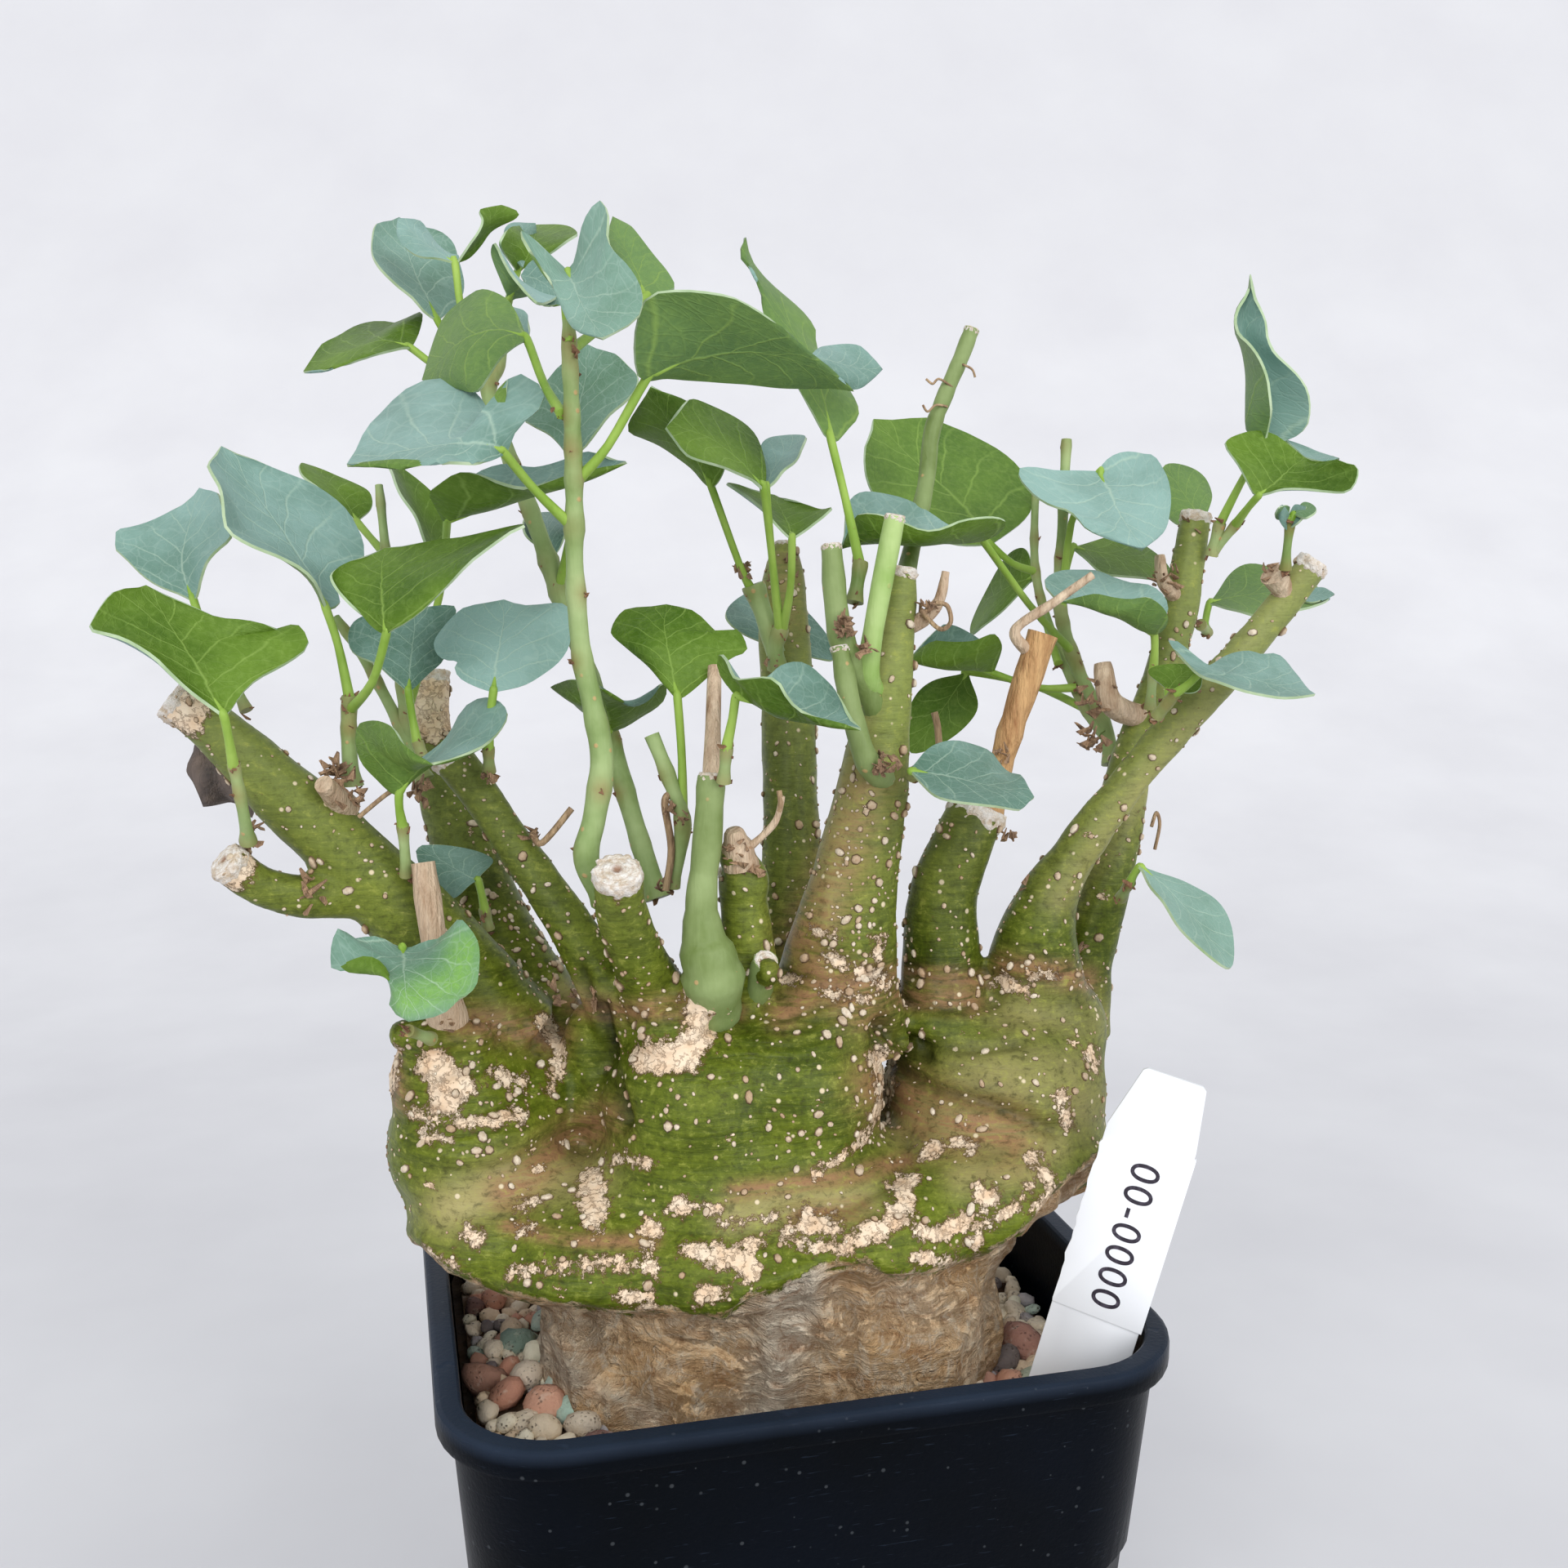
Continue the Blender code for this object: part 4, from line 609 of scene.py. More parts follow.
@dataclass(frozen=True)
class CaudexSkin(Finish):
    """Green photosynthetic skin with corky scars, over a torn tan bark base."""

    moss: Colour = tone(60, 76, 12)
    mid: Colour = tone(94, 106, 22)
    pale: Colour = tone(142, 154, 52)
    bright: Colour = tone(128, 140, 40)
    furrow: Colour = tone(40, 54, 2)
    young: Colour = tone(156, 166, 100)
    wax: Colour = tone(172, 160, 108)
    earth: Colour = tone(150, 114, 80)
    fleck_dark: Colour = tone(44, 44, 10)
    fleck_pale: Colour = tone(168, 172, 80)
    dot: Colour = tone(222, 206, 172)
    # Colour of the painted shade in grooves, crevices and darker stretches of trunk.
    shade: Colour = tone(24, 22, 8)
    cream: Colour = tone(240, 220, 194)
    cork: Colour = tone(222, 190, 156)
    cork_edge_and_shadow: Colour = tone(96, 62, 32)
    cork_crack: Colour = tone(150, 110, 76)
    bark: Colour = tone(255, 212, 156)
    bark_pale: Colour = tone(255, 240, 216)
    bark_flake: Colour = tone(255, 238, 212)
    bark_line: Colour = tone(172, 112, 58)
    bark_valley: Colour = tone(140, 92, 50)
    bark_pit: Colour = tone(150, 98, 50)
    specular: float = 0.18

    def paint(self, tree: Tree, shader: bpy.types.Node) -> None:
        """Wire the shader.

        Args:
            tree: The material's tree.
            shader: Its Principled shader.
        """
        place = tree.place()
        green, green_height = self._green(tree, place)
        cork_edge_and_shadow, cork_share, cork_colour, cork_height = self._cork(tree, place)
        bark_colour, bark_height = self._bark(tree, place)
        edge_noise = tree.span(tree.noise(place, 210.0, 5.0, 0.68), 0.25, 0.75, -1.7, 1.7)
        bark_share = tree.span(tree.plus(tree.mark("bark"), edge_noise), -0.2, 0.5)
        # Brown ring round the cork: partly its own brown edge, partly painted shadow.
        colour = tree.mix(tree.times(cork_edge_and_shadow, 0.8), green, self.cork_edge_and_shadow)
        colour = tree.mix(cork_share, colour, cork_colour)
        colour = tree.mix(bark_share, colour, bark_colour)
        # Painted shade from the shade mark: grooves, crevices and darker stretches of trunk.
        shade = tree.times(tree.mark("shade"), tree.span(tree.noise(place, 300.0), 0.3, 0.6, 0.6, 1.0))
        colour = tree.mix(tree.times(shade, 0.9, clamp=True), colour, self.shade)
        dull = tree.times(tree.math("MAXIMUM", cork_share, bark_share), 0.4)
        shine = tree.span(tree.noise(place, 60.0, 2.0), 0.3, 0.7, 0.34, 0.52)
        normal = tree.bump(green_height, 0.5, 0.5 * MM)
        normal = tree.bump(cork_height, 0.7, 0.8 * MM, normal)
        normal = tree.bump(tree.times(bark_height, bark_share), 1.0, 1.6 * MM, normal)
        tree.coat(shader, colour, tree.plus(shine, dull, clamp=True), normal)

    def _green(self, tree: Tree, place: Any) -> tuple[Any, Any]:
        """Green skin, with stretch lines, tan weathering and fine dots.

        Args:
            tree: The material's tree.
            place: Object coordinates.
        Returns:
            Colour and height.
        """
        wide = tree.cloud(place, 30.0, 0.36, 0.64)
        small = tree.cloud(place, 170.0, 0.35, 0.8)
        lines = tree.noise(tree.stretch(place, (0.3, 0.3, 2.4), (0.12, 0.1, 0.0)), 420.0, 4.0, 0.65, 0.3)
        grain = tree.noise(tree.stretch(place, (1.6, 1.6, 0.5)), 900.0, 3.0, 0.6)
        mottle = tree.noise(tree.stretch(place, (1.0, 1.0, 1.5)), 620.0, 7.0, 0.74, 0.4)
        dots = tree.dots(place, 500.0, 0.25)
        wax = tree.times(tree.mark("wax"), tree.span(wide, 0.0, 1.0, 0.35, 1.0))
        weather = tree.times(tree.mark("tan"), tree.span(lines, 0.4, 0.54, 0.35, 1.0), clamp=True)
        young = tree.times(tree.mark("young"), 0.5)
        dark = tree.times(tree.span(mottle, 0.48, 0.36, 0.0, 0.55), tree.span(young, 0.0, 0.5, 1.0, 0.35))
        colour = tree.mix(wide, self.moss, self.mid)
        colour = tree.mix(tree.times(small, 0.3), colour, self.pale)
        colour = tree.mix(tree.span(grain, 0.45, 0.7, 0.0, 0.3), colour, self.bright)
        colour = tree.mix(tree.span(lines, 0.52, 0.36, 0.0, 0.5), colour, self.furrow)
        colour = tree.mix(tree.times(wax, 0.85, clamp=True), colour, self.wax)
        colour = tree.mix(weather, colour, self.earth)
        colour = tree.mix(young, colour, self.young)
        colour = tree.mix(dark, colour, self.fleck_dark)
        colour = tree.mix(tree.span(mottle, 0.54, 0.68, 0.0, 0.5), colour, self.fleck_pale)
        colour = tree.mix(tree.times(dots, 0.95), colour, self.dot)
        return colour, tree.plus(lines, tree.times(dots, 0.5))

    def _cork(self, tree: Tree, place: Any) -> tuple[Any, Any, Any, Any]:
        """Cork of the scars, cracked, with a ragged brown edge that is partly painted shadow round the raised
        cork.

        Args:
            tree: The material's tree.
            place: Object coordinates.
        Returns:
            Brown edge with its painted shadow, share, colour and height.
        """
        ragged = tree.span(tree.noise(place, 430.0, 9.0, 0.8), 0.3, 0.7, -1.9, 1.7)
        strewn = tree.noise(tree.stretch(place, (1.0, 1.0, 1.7)), 150.0, 6.0, 0.7)
        field_mm = tree.math("MAXIMUM", tree.plus(tree.mark("cork"), ragged),
                             tree.span(strewn, 0.625, 0.78, -1.0, 3.0))
        share = tree.span(field_mm, 0.0, 0.3)
        flaws = tree.math("ABSOLUTE", tree.less(tree.noise(place, 620.0, 4.0, 0.6), 0.5))
        cracks = tree.span(flaws, 0.0, 0.04)
        colour = tree.mix(tree.cloud(place, 380.0, 0.3, 0.65), self.cork, self.cream)
        colour = tree.mix(tree.span(cracks, 1.0, 0.0, 0.0, 0.3), colour, self.cork_crack)
        height = tree.times(share, tree.plus(0.6, tree.times(cracks, 0.4)))
        return tree.span(field_mm, -0.5, 0.0), share, colour, height

    def _bark(self, tree: Tree, place: Any) -> tuple[Any, Any]:
        """Bark of level lines and flakes, with a painted highlight down its middle bulge and a paler strip on
        its left foot.

        Args:
            tree: The material's tree.
            place: Object coordinates.
        Returns:
            Colour and height.
        """
        lines = tree.noise(tree.stretch(place, (0.45, 0.45, 1.7), (0.25, 0.1, 0.0)), 380.0, 8.0, 0.74, 0.6)
        folds = tree.noise(tree.stretch(place, (0.6, 0.6, 1.0), (0.4, 0.2, 0.0)), 150.0, 6.0, 0.7, 1.6)
        flakes = tree.noise(tree.stretch(place, (1.0, 1.0, 0.6)), 520.0, 5.0, 0.7, 0.8)
        valley = tree.span(tree.math("ABSOLUTE", tree.less(folds, 0.5)), 0.09, 0.0)
        patches = tree.times(tree.cloud(place, 55.0, 0.38, 0.62), 0.55)
        # The light mark paints a highlight down the bark's middle bulge, and a paler strip on the left foot.
        patches = tree.plus(patches, tree.times(tree.mark("light"), 0.8), clamp=True)
        colour = tree.mix(patches, self.bark, self.bark_pale)
        colour = tree.mix(tree.span(lines, 0.52, 0.38, 0.0, 0.55), colour, self.bark_line)
        colour = tree.mix(tree.span(lines, 0.54, 0.64, 0.0, 0.6), colour, self.bark_pale)
        colour = tree.mix(tree.times(valley, 0.4), colour, self.bark_valley)
        colour = tree.mix(tree.span(flakes, 0.52, 0.66, 0.0, 0.7), colour, self.bark_flake)
        colour = tree.mix(tree.span(flakes, 0.42, 0.34, 0.0, 0.4), colour, self.bark_pit)
        return colour, tree.less(tree.plus(lines, flakes), tree.times(valley, 0.6))


@dataclass(frozen=True)
class Wart(Finish):
    """Raised pores of the skin: cream corky warts with darker middles and brown feet."""

    middle: Colour = tone(150, 112, 78)
    foot: Colour = tone(92, 66, 34)

    def paint(self, tree: Tree, shader: bpy.types.Node) -> None:
        """Wire the shader.

        Args:
            tree: The material's tree.
            shader: Its Principled shader.
        """
        crumbs = tree.noise(tree.place(), 1700.0, 4.0, 0.65)
        colour = tree.mix(tree.span(crumbs, 0.4, 0.7, 0.0, 0.5), tree.mark("tone", "Color"), self.middle)
        colour = tree.mix(tree.span(tree.mark("lift"), 0.62, 0.2, 0.0, 0.9), colour, self.foot)
        tree.coat(shader, colour, tree.span(crumbs, 0.3, 0.7, 0.7, 0.92), tree.bump(crumbs, 0.6, 0.3 * MM))


@dataclass(frozen=True)
class CutWood(Finish):
    """Weathered cut end: chalky rim, darker rings and a soft pith."""

    chalk: Colour = tone(252, 247, 240)
    wood: Colour = tone(214, 194, 168)
    ring: Colour = tone(176, 140, 106)
    pith: Colour = tone(152, 108, 78)
    outer: Colour = tone(160, 128, 92)

    def paint(self, tree: Tree, shader: bpy.types.Node) -> None:
        """Wire the shader.

        Args:
            tree: The material's tree.
            shader: Its Principled shader.
        """
        radial = tree.mark("radial")
        crumbs = tree.noise(tree.place(), 800.0, 5.0, 0.68)
        ring = tree.math("SINE", tree.times(radial, 24.0))
        colour = tree.mix(tree.span(crumbs, 0.36, 0.6), self.wood, self.chalk)
        colour = tree.mix(tree.span(ring, 0.3, 1.0, 0.0, 0.3), colour, self.ring)
        colour = tree.mix(tree.span(radial, 0.30, 0.12, 0.0, 0.8), colour, self.pith)
        colour = tree.mix(tree.span(radial, 0.9, 1.08, 0.0, 0.35), colour, self.outer)
        tree.coat(shader, colour, tree.span(crumbs, 0.3, 0.7, 0.95, 0.75), tree.bump(crumbs, 1.0, 0.9 * MM))


@dataclass(frozen=True)
class DryWood(Finish):
    """Dead stalk or bract: fibrous, in one of the browns."""

    dark: Colour = tone(116, 78, 48)
    light: Colour = tone(214, 182, 144)
    scale: float = 520.0

    def paint(self, tree: Tree, shader: bpy.types.Node) -> None:
        """Wire the shader.

        Args:
            tree: The material's tree.
            shader: Its Principled shader.
        """
        place = tree.place()
        fibre = tree.use(EFFECTS.fibre, Place=place, Scale=self.scale).outputs
        cloud = tree.cloud(place, 210.0, 0.35, 0.7)
        colour = tree.mix(fibre["Coarse"], self.dark, self.light)
        colour = tree.mix(tree.times(cloud, 0.4), colour, self.light)
        tree.coat(shader, colour, tree.span(cloud, 0.0, 1.0, 0.7, 0.9),
                  tree.bump(fibre["Fine"], 0.8, 0.4 * MM))


@dataclass(frozen=True)
class GreenStem(Finish):
    """Green stem or stalk with fine lengthwise streaks, a bloom and a few pores."""

    deep: Colour = tone(104, 136, 66)
    pale: Colour = tone(170, 192, 140)
    pore: Colour = tone(196, 160, 110)
    joint: Colour = tone(142, 96, 52)
    pores: float = 0.5
    specular: float = 0.3

    def paint(self, tree: Tree, shader: bpy.types.Node) -> None:
        """Wire the shader.

        Args:
            tree: The material's tree.
            shader: Its Principled shader.
        """
        place = tree.place()
        streaks = tree.use(EFFECTS.fibre, Place=place, Scale=700.0).outputs["Coarse"]
        cloud = tree.cloud(place, 95.0, 0.32, 0.7)
        dots = tree.dots(place, 480.0, 0.24)
        colour = tree.mix(cloud, self.deep, self.pale)
        colour = tree.mix(tree.times(streaks, 0.3), colour, self.pale)
        colour = tree.mix(tree.times(dots, self.pores), colour, self.pore)
        colour = tree.mix(tree.times(tree.mark("node"), 0.55), colour, self.joint)
        tree.coat(shader, colour, tree.span(cloud, 0.0, 1.0, 0.42, 0.6),
                  tree.bump(tree.plus(streaks, dots), 0.35, 0.2 * MM))


@dataclass(frozen=True)
class BladeUpper(Finish):
    """Upper side of a blade: blue-green under a pale bloom, with pale sunken veins."""

    deep: Colour = tone(74, 112, 92)
    bloom: Colour = tone(138, 172, 163)
    sheen: Colour = tone(160, 190, 186)
    warm: Colour = tone(98, 136, 84)
    yellow: Colour = tone(128, 178, 72)
    net: Colour = tone(182, 206, 192)
    vein: Colour = tone(186, 210, 188)
    specular: float = 0.3

    def paint(self, tree: Tree, shader: bpy.types.Node) -> None:
        """Wire the shader.

        Args:
            tree: The material's tree.
            shader: Its Principled shader.
        """
        place = tree.place()
        veins = tree.use(EFFECTS.veins, Map=tree.add("UVMap", uv_map="blade").outputs[0],
                         Lot=tree.mark("lot")).outputs
        cloud = tree.cloud(place, 85.0, 0.3, 0.72)
        powder = tree.noise(place, 1300.0, 3.0, 0.6)
        share = tree.times(cloud, tree.span(powder, 0.3, 0.7, 0.75, 1.0))
        share = tree.plus(share, tree.mark("pale"), clamp=True)
        facing = tree.add("LayerWeight", {"Blend": 0.3}).outputs["Facing"]
        yellow = tree.times(tree.mark("yellow"), tree.span(powder, 0.3, 0.7, 0.55, 0.85))
        colour = tree.mix(share, self.deep, self.bloom)
        colour = tree.mix(tree.times(facing, 0.45), colour, self.sheen)
        colour = tree.mix(tree.mark("fresh"), colour, self.warm)
        colour = tree.mix(yellow, colour, self.yellow)
        colour = tree.mix(tree.times(veins["Net"], 0.2), colour, self.net)
        colour = tree.mix(tree.times(veins["Main"], 0.5), colour, self.vein)
        relief = tree.plus(veins["Main"], tree.times(veins["Net"], 0.4))
        sunk = tree.less(tree.times(powder, 0.15), relief)
        tree.coat(shader, colour, tree.span(share, 0.0, 1.0, 0.45, 0.62), tree.bump(sunk, 0.35, 0.3 * MM))


@dataclass(frozen=True)
class BladeUnder(Finish):
    """Underside of a blade: fresh green, lit through, with raised yellow-green veins."""

    deep: Colour = tone(66, 98, 18)
    light: Colour = tone(104, 136, 42)
    bloom: Colour = tone(126, 160, 122)
    vein: Colour = tone(146, 176, 86)
    specular: float = 0.25

    def paint(self, tree: Tree, shader: bpy.types.Node) -> None:
        """Wire the shader.

        Args:
            tree: The material's tree.
            shader: Its Principled shader.
        """
        place = tree.place()
        veins = tree.use(EFFECTS.veins, Map=tree.add("UVMap", uv_map="blade").outputs[0],
                         Lot=tree.mark("lot")).outputs
        cloud = tree.cloud(place, 70.0, 0.3, 0.72)
        powder = tree.noise(place, 1100.0, 3.0, 0.6)
        colour = tree.mix(cloud, self.deep, self.light)
        colour = tree.mix(tree.times(tree.mark("pale"), 0.8, clamp=True), colour, self.bloom)
        colour = tree.mix(tree.span(powder, 0.45, 0.7, 0.0, 0.2), colour, self.vein)
        colour = tree.mix(tree.times(veins["Net"], 0.1), colour, self.vein)
        colour = tree.mix(tree.times(veins["Main"], 0.6), colour, self.vein)
        relief = tree.plus(veins["Main"], tree.times(veins["Net"], 0.35))
        tree.coat(shader, colour, tree.span(cloud, 0.0, 1.0, 0.42, 0.58), tree.bump(relief, 0.4, 0.4 * MM))


@dataclass(frozen=True)
class BladeEdge(Finish):
    """Thin pale margin of a blade."""

    deep: Colour = tone(150, 176, 128)
    light: Colour = tone(188, 206, 172)

    def paint(self, tree: Tree, shader: bpy.types.Node) -> None:
        """Wire the shader.

        Args:
            tree: The material's tree.
            shader: Its Principled shader.
        """
        cloud = tree.cloud(tree.place(), 260.0, 0.3, 0.7)
        tree.coat(shader, tree.mix(cloud, self.deep, self.light), tree.span(cloud, 0.0, 1.0, 0.45, 0.6),
                  tree.bump(cloud, 0.1, 0.1 * MM))


@dataclass(frozen=True)
class Plaster(Finish):
    """Pale wall and floor with a faint cloud, a little darker higher up."""

    low: Colour = tone(220, 220, 223)
    high: Colour = tone(204, 204, 207)
    cloudy: Colour = tone(192, 191, 196)

    def paint(self, tree: Tree, shader: bpy.types.Node) -> None:
        """Wire the shader.

        Args:
            tree: The material's tree.
            shader: Its Principled shader.
        """
        place = tree.place()
        rise = tree.span(tree.add("SeparateXYZ", {0: place}).outputs[2], 0.0, 0.5)
        colour = tree.mix(rise, self.low, self.high)
        colour = tree.mix(tree.times(tree.cloud(place, 9.0, 0.3, 0.7), 0.35), colour, self.cloudy)
        tree.feed(shader.inputs["Base Color"], colour)
        shader.inputs["Roughness"].default_value = 0.9


PLANT_FINISHES = (
    GreenStem("stem_green", deep=tone(102, 130, 58), pale=tone(168, 188, 130), pores=0.8),
    GreenStem("stalk_green", deep=tone(118, 156, 44), pale=tone(164, 194, 92), pores=0.1),
    BladeUpper("blade_upper"),
    BladeUnder("blade_under"),
    BladeEdge("blade_edge"),
    DryWood("bract_brown", dark=tone(86, 50, 34), light=tone(172, 130, 96), scale=800.0),
)


def smooth_path(stations: Stations, steps: int) -> tuple[list[Vector], list[float]]:
    """Curve through stations.

    Args:
        stations: Points with their radii.
        steps: Steps in each stretch between two stations.
    Returns:
        Points and radii along the curve.
    """
    points = [Vector(point) for point, radius in stations]
    radii = [radius for point, radius in stations]
    path, widths = [points[0]], [radii[0]]
    for i in range(len(points) - 1):
        before, after = points[max(i - 1, 0)], points[min(i + 2, len(points) - 1)]
        start, end = points[i], points[i + 1]
        for step in range(1, steps + 1):
            t = step / steps
            bend = (2 * start + (end - before) * t + (2 * before - 5 * start + 4 * end - after) * t * t
                    + (3 * start - before - 3 * end + after) * t ** 3)
            path.append(bend / 2)
            widths.append(radii[i] * (1 - t) + radii[i + 1] * t)
    return path, widths


def new_object(name: str, data: bpy.types.ID) -> bpy.types.Object:
    """Put a mesh, curve, lamp or camera into the scene at the origin.

    Args:
        name: Name of the object.
        data: What it shows.
    Returns:
        The object.
    """
    thing = bpy.data.objects.new(name, data)
    bpy.context.scene.collection.objects.link(thing)
    return thing


def bake(thing: bpy.types.Object) -> bpy.types.Mesh:
    """Take an object's evaluated mesh and drop the object.

    Args:
        thing: An object with modifiers or a curve.
    Returns:
        The finished mesh.
    """
    bpy.context.view_layer.update()
    seen = thing.evaluated_get(bpy.context.evaluated_depsgraph_get())
    mesh = bpy.data.meshes.new_from_object(seen)
    mesh.name = thing.name
    bpy.data.objects.remove(thing, do_unlink=True)
    return mesh


def mesh_of(shape: bmesh.types.BMesh, name: str) -> bpy.types.Mesh:
    """Turn a bmesh into a mesh and free it.

    Args:
        shape: The bmesh.
        name: Name of the mesh.
    Returns:
        The mesh.
    """
    mesh = bpy.data.meshes.new(name)
    shape.to_mesh(mesh)
    shape.free()
    return mesh


def paint_faces(shape: bmesh.types.BMesh, number: int, smooth: bool = False) -> None:
    """Give every face a material number, and smooth shading if asked.

    Args:
        shape: The bmesh.
        number: Material number.
        smooth: Whether the faces are shaded smooth.
    """
    for face in shape.faces:
        face.material_index = number
        face.smooth = smooth


def shift_new(shape: bmesh.types.BMesh, pushed: dict[str, Any], way: Triple) -> None:
    """Move the corners that an extrusion has made."""
    moved = [item for item in pushed["geom"] if isinstance(item, bmesh.types.BMVert)]
    bmesh.ops.translate(shape, verts=moved, vec=way)


def tube(name: str, stations: Stations, steps: int = 4, sides: int = 12, number: int = 0) -> bpy.types.Mesh:
    """Round stem through stations, with closed ends.

    Args:
        name: Name of the mesh.
        stations: Points with radii.
        steps: Steps between stations.
        sides: Sides of the round, an even number.
        number: Material number.
    Returns:
        The mesh.
    """
    path, radii = smooth_path(stations, steps)
    curve = bpy.data.curves.new(name, "CURVE")
    curve.dimensions = "3D"
    curve.bevel_depth = 1.0
    curve.bevel_resolution = max(sides // 2 - 2, 0)
    curve.use_fill_caps = True
    spline = curve.splines.new("POLY")
    spline.points.add(len(path) - 1)
    for point, where, radius in zip(spline.points, path, radii):
        point.co = (*where, 1.0)
        point.radius = radius
    mesh = bake(new_object(name, curve))
    bpy.data.curves.remove(curve)
    shape = bmesh.new()
    shape.from_mesh(mesh)
    bpy.data.meshes.remove(mesh)
    bmesh.ops.remove_doubles(shape, verts=shape.verts, dist=1e-6)
    bmesh.ops.recalc_face_normals(shape, faces=shape.faces)
    paint_faces(shape, number, smooth=True)
    return mesh_of(shape, name)


def tumble(rng: random.Random, tilt: float) -> Matrix:
    """Turn of chance about the upright, with leans of up to a tilt.

    Args:
        rng: Source of chance.
        tilt: Greatest lean about each level axis.
    Returns:
        The turn.
    """
    spin = Matrix.Rotation(rng.uniform(0, math.tau), 4, "Z")
    lean = Matrix.Rotation(rng.uniform(-tilt, tilt), 4, "X")
    return spin @ lean @ Matrix.Rotation(rng.uniform(-tilt, tilt), 4, "Y")


def merge(name: str, meshes: Iterable[bpy.types.Mesh], finishes: Sequence[Finish],
          crease: float = 50.0) -> bpy.types.Object:
    """One object of several meshes that share a list of finishes.

    Args:
        name: Name of the object.
        meshes: Meshes, which are dropped.
        finishes: Finishes by material number.
        crease: Angle in degrees from which an edge stays sharp.
    Returns:
        The object.
    """
    whole = bmesh.new()
    for mesh in meshes:
        whole.from_mesh(mesh)
        bpy.data.meshes.remove(mesh)
    made = mesh_of(whole, name)
    for finish in finishes:
        made.materials.append(finish.material())
    made.shade_smooth()
    made.set_sharp_from_angle(angle=math.radians(crease))
    return new_object(name, made)


def set_mark(mesh: bpy.types.Mesh, name: str, values: Any) -> None:
    """Store one number a vertex.

    Args:
        mesh: The mesh.
        name: Name of the attribute.
        values: One value a vertex, or one for all.
    """
    layer = mesh.attributes.get(name) or mesh.attributes.new(name, "FLOAT", "POINT")
    layer.data.foreach_set("value", np.broadcast_to(values, len(mesh.vertices)).astype(np.float32))


def set_tone(mesh: bpy.types.Mesh, colour: Colour) -> None:
    """Store one colour for a whole mesh."""
    layer = mesh.attributes.new("tone", "FLOAT_COLOR", "POINT")
    layer.data.foreach_set("color", np.tile(np.array((*colour, 1.0), dtype=np.float32), len(mesh.vertices)))


def rows_of(items: Any, name: str) -> np.ndarray:
    """One vector of each item.

    Args:
        items: Vertices or their normals.
        name: Name of the vector.
    Returns:
        Rows of three numbers.
    """
    flat = np.empty(len(items) * 3, dtype=np.float32)
    items.foreach_get(name, flat)
    return flat.reshape(-1, 3).astype(float)


def points_of(mesh: bpy.types.Mesh) -> np.ndarray:
    """Vertices as rows of a table."""
    return rows_of(mesh.vertices, "co")


def normals_of(mesh: bpy.types.Mesh) -> np.ndarray:
    """Vertex normals as rows of a table."""
    return rows_of(mesh.vertex_normals, "vector")


def line_distance(x: np.ndarray, y: np.ndarray, line: Line) -> np.ndarray:
    """Distance of many pixels from a line of pixels.

    Args:
        x: Pixels across.
        y: Pixels down.
        line: Corners of the line.
    Returns:
        Distances in pixels.
    """
    nearest = np.full(len(x), 1e9)
    for (ax, ay), (bx, by) in zip(line, line[1:]):
        length = (bx - ax) ** 2 + (by - ay) ** 2
        share = np.clip(((x - ax) * (bx - ax) + (y - ay) * (by - ay)) / length, 0.0, 1.0)
        nearest = np.minimum(nearest, np.hypot(x - ax - share * (bx - ax), y - ay - share * (by - ay)))
    return nearest


def nearness(x: np.ndarray, y: np.ndarray, line: Line, half_px: float) -> np.ndarray:
    """Share from 1 on a line of pixels to 0 away from it.

    Args:
        x: Pixels across.
        y: Pixels down.
        line: Corners of the line.
        half_px: Distance at which the share has dropped to about a third.
    Returns:
        One share a pixel.
    """
    return np.exp(-(line_distance(x, y, line) / half_px) ** 2)


def show(thing: bpy.types.Object, slot: Slot, *nodes: str) -> None:
    """Register a finished piece.

    Args:
        thing: The piece.
        slot: Its material slot in the record.
        nodes: CAD nodes that it stands for.
    """
    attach(thing, "root")
    if nodes:
        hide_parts(*nodes)
    LOG.info("%s: %d faces, slot %s", thing.name, len(thing.data.polygons), slot.value)


@dataclass(frozen=True)
class PotSizes:
    """Sizes of the pot."""

    width: float = 105 * MM
    height: float = 100 * MM
    foot: float = 86 * MM
    corner: float = 16.3 * MM
    foot_corner: float = 13 * MM
    rim_width: float = 3.6 * MM
    rim_depth: float = 4.2 * MM
    wall: float = 1.5 * MM
    floor: float = 2.0 * MM
    inner_corner: float = 20 * MM
    scoop_height: float = 68 * MM
    scoop_radius: float = 15 * MM
    scoop_depth: float = 2.2 * MM
    scoop_below: float = -5 * MM
    scoop_steps: int = 24
    slit_width: float = 2.4 * MM
    slit_top: float = 26 * MM
    slit_low: float = 3.5 * MM
    cutter_length: float = 28 * MM
    foot_round: float = 1.2 * MM
    wall_sections: int = 7
    steps: int = 10

    def half(self, height: float, inset: float = 0.0) -> float:
        """Half width of the wall at a height, less an inset.

        Args:
            height: Height over the foot.
            inset: Distance inside the wall.
        Returns:
            The half width.
        """
        top_half = self.width / 2 - self.rim_width + self.wall
        share = min(max(height / (self.height - self.rim_depth), 0.0), 1.0)
        return self.foot / 2 + (top_half - self.foot / 2) * share - inset

    def outer_corner(self, height: float) -> float:
        """Corner radius of the wall outside at a height."""
        share = min(max(height / self.height, 0.0), 1.0)
        return self.foot_corner + (self.corner - self.rim_width + self.wall - self.foot_corner) * share

    def cavity_corner(self, height: float) -> float:
        """Corner radius of the wall inside at a height."""
        share = min(max(height / self.height, 0.0), 1.0)
        return self.inner_corner + (self.corner - self.rim_width - self.inner_corner) * share

    def reach(self, height: float) -> float:
        """Distance from the axis to the wall over a corner."""
        radius = self.outer_corner(height)
        return (self.half(height) - radius) * math.sqrt(2) + radius


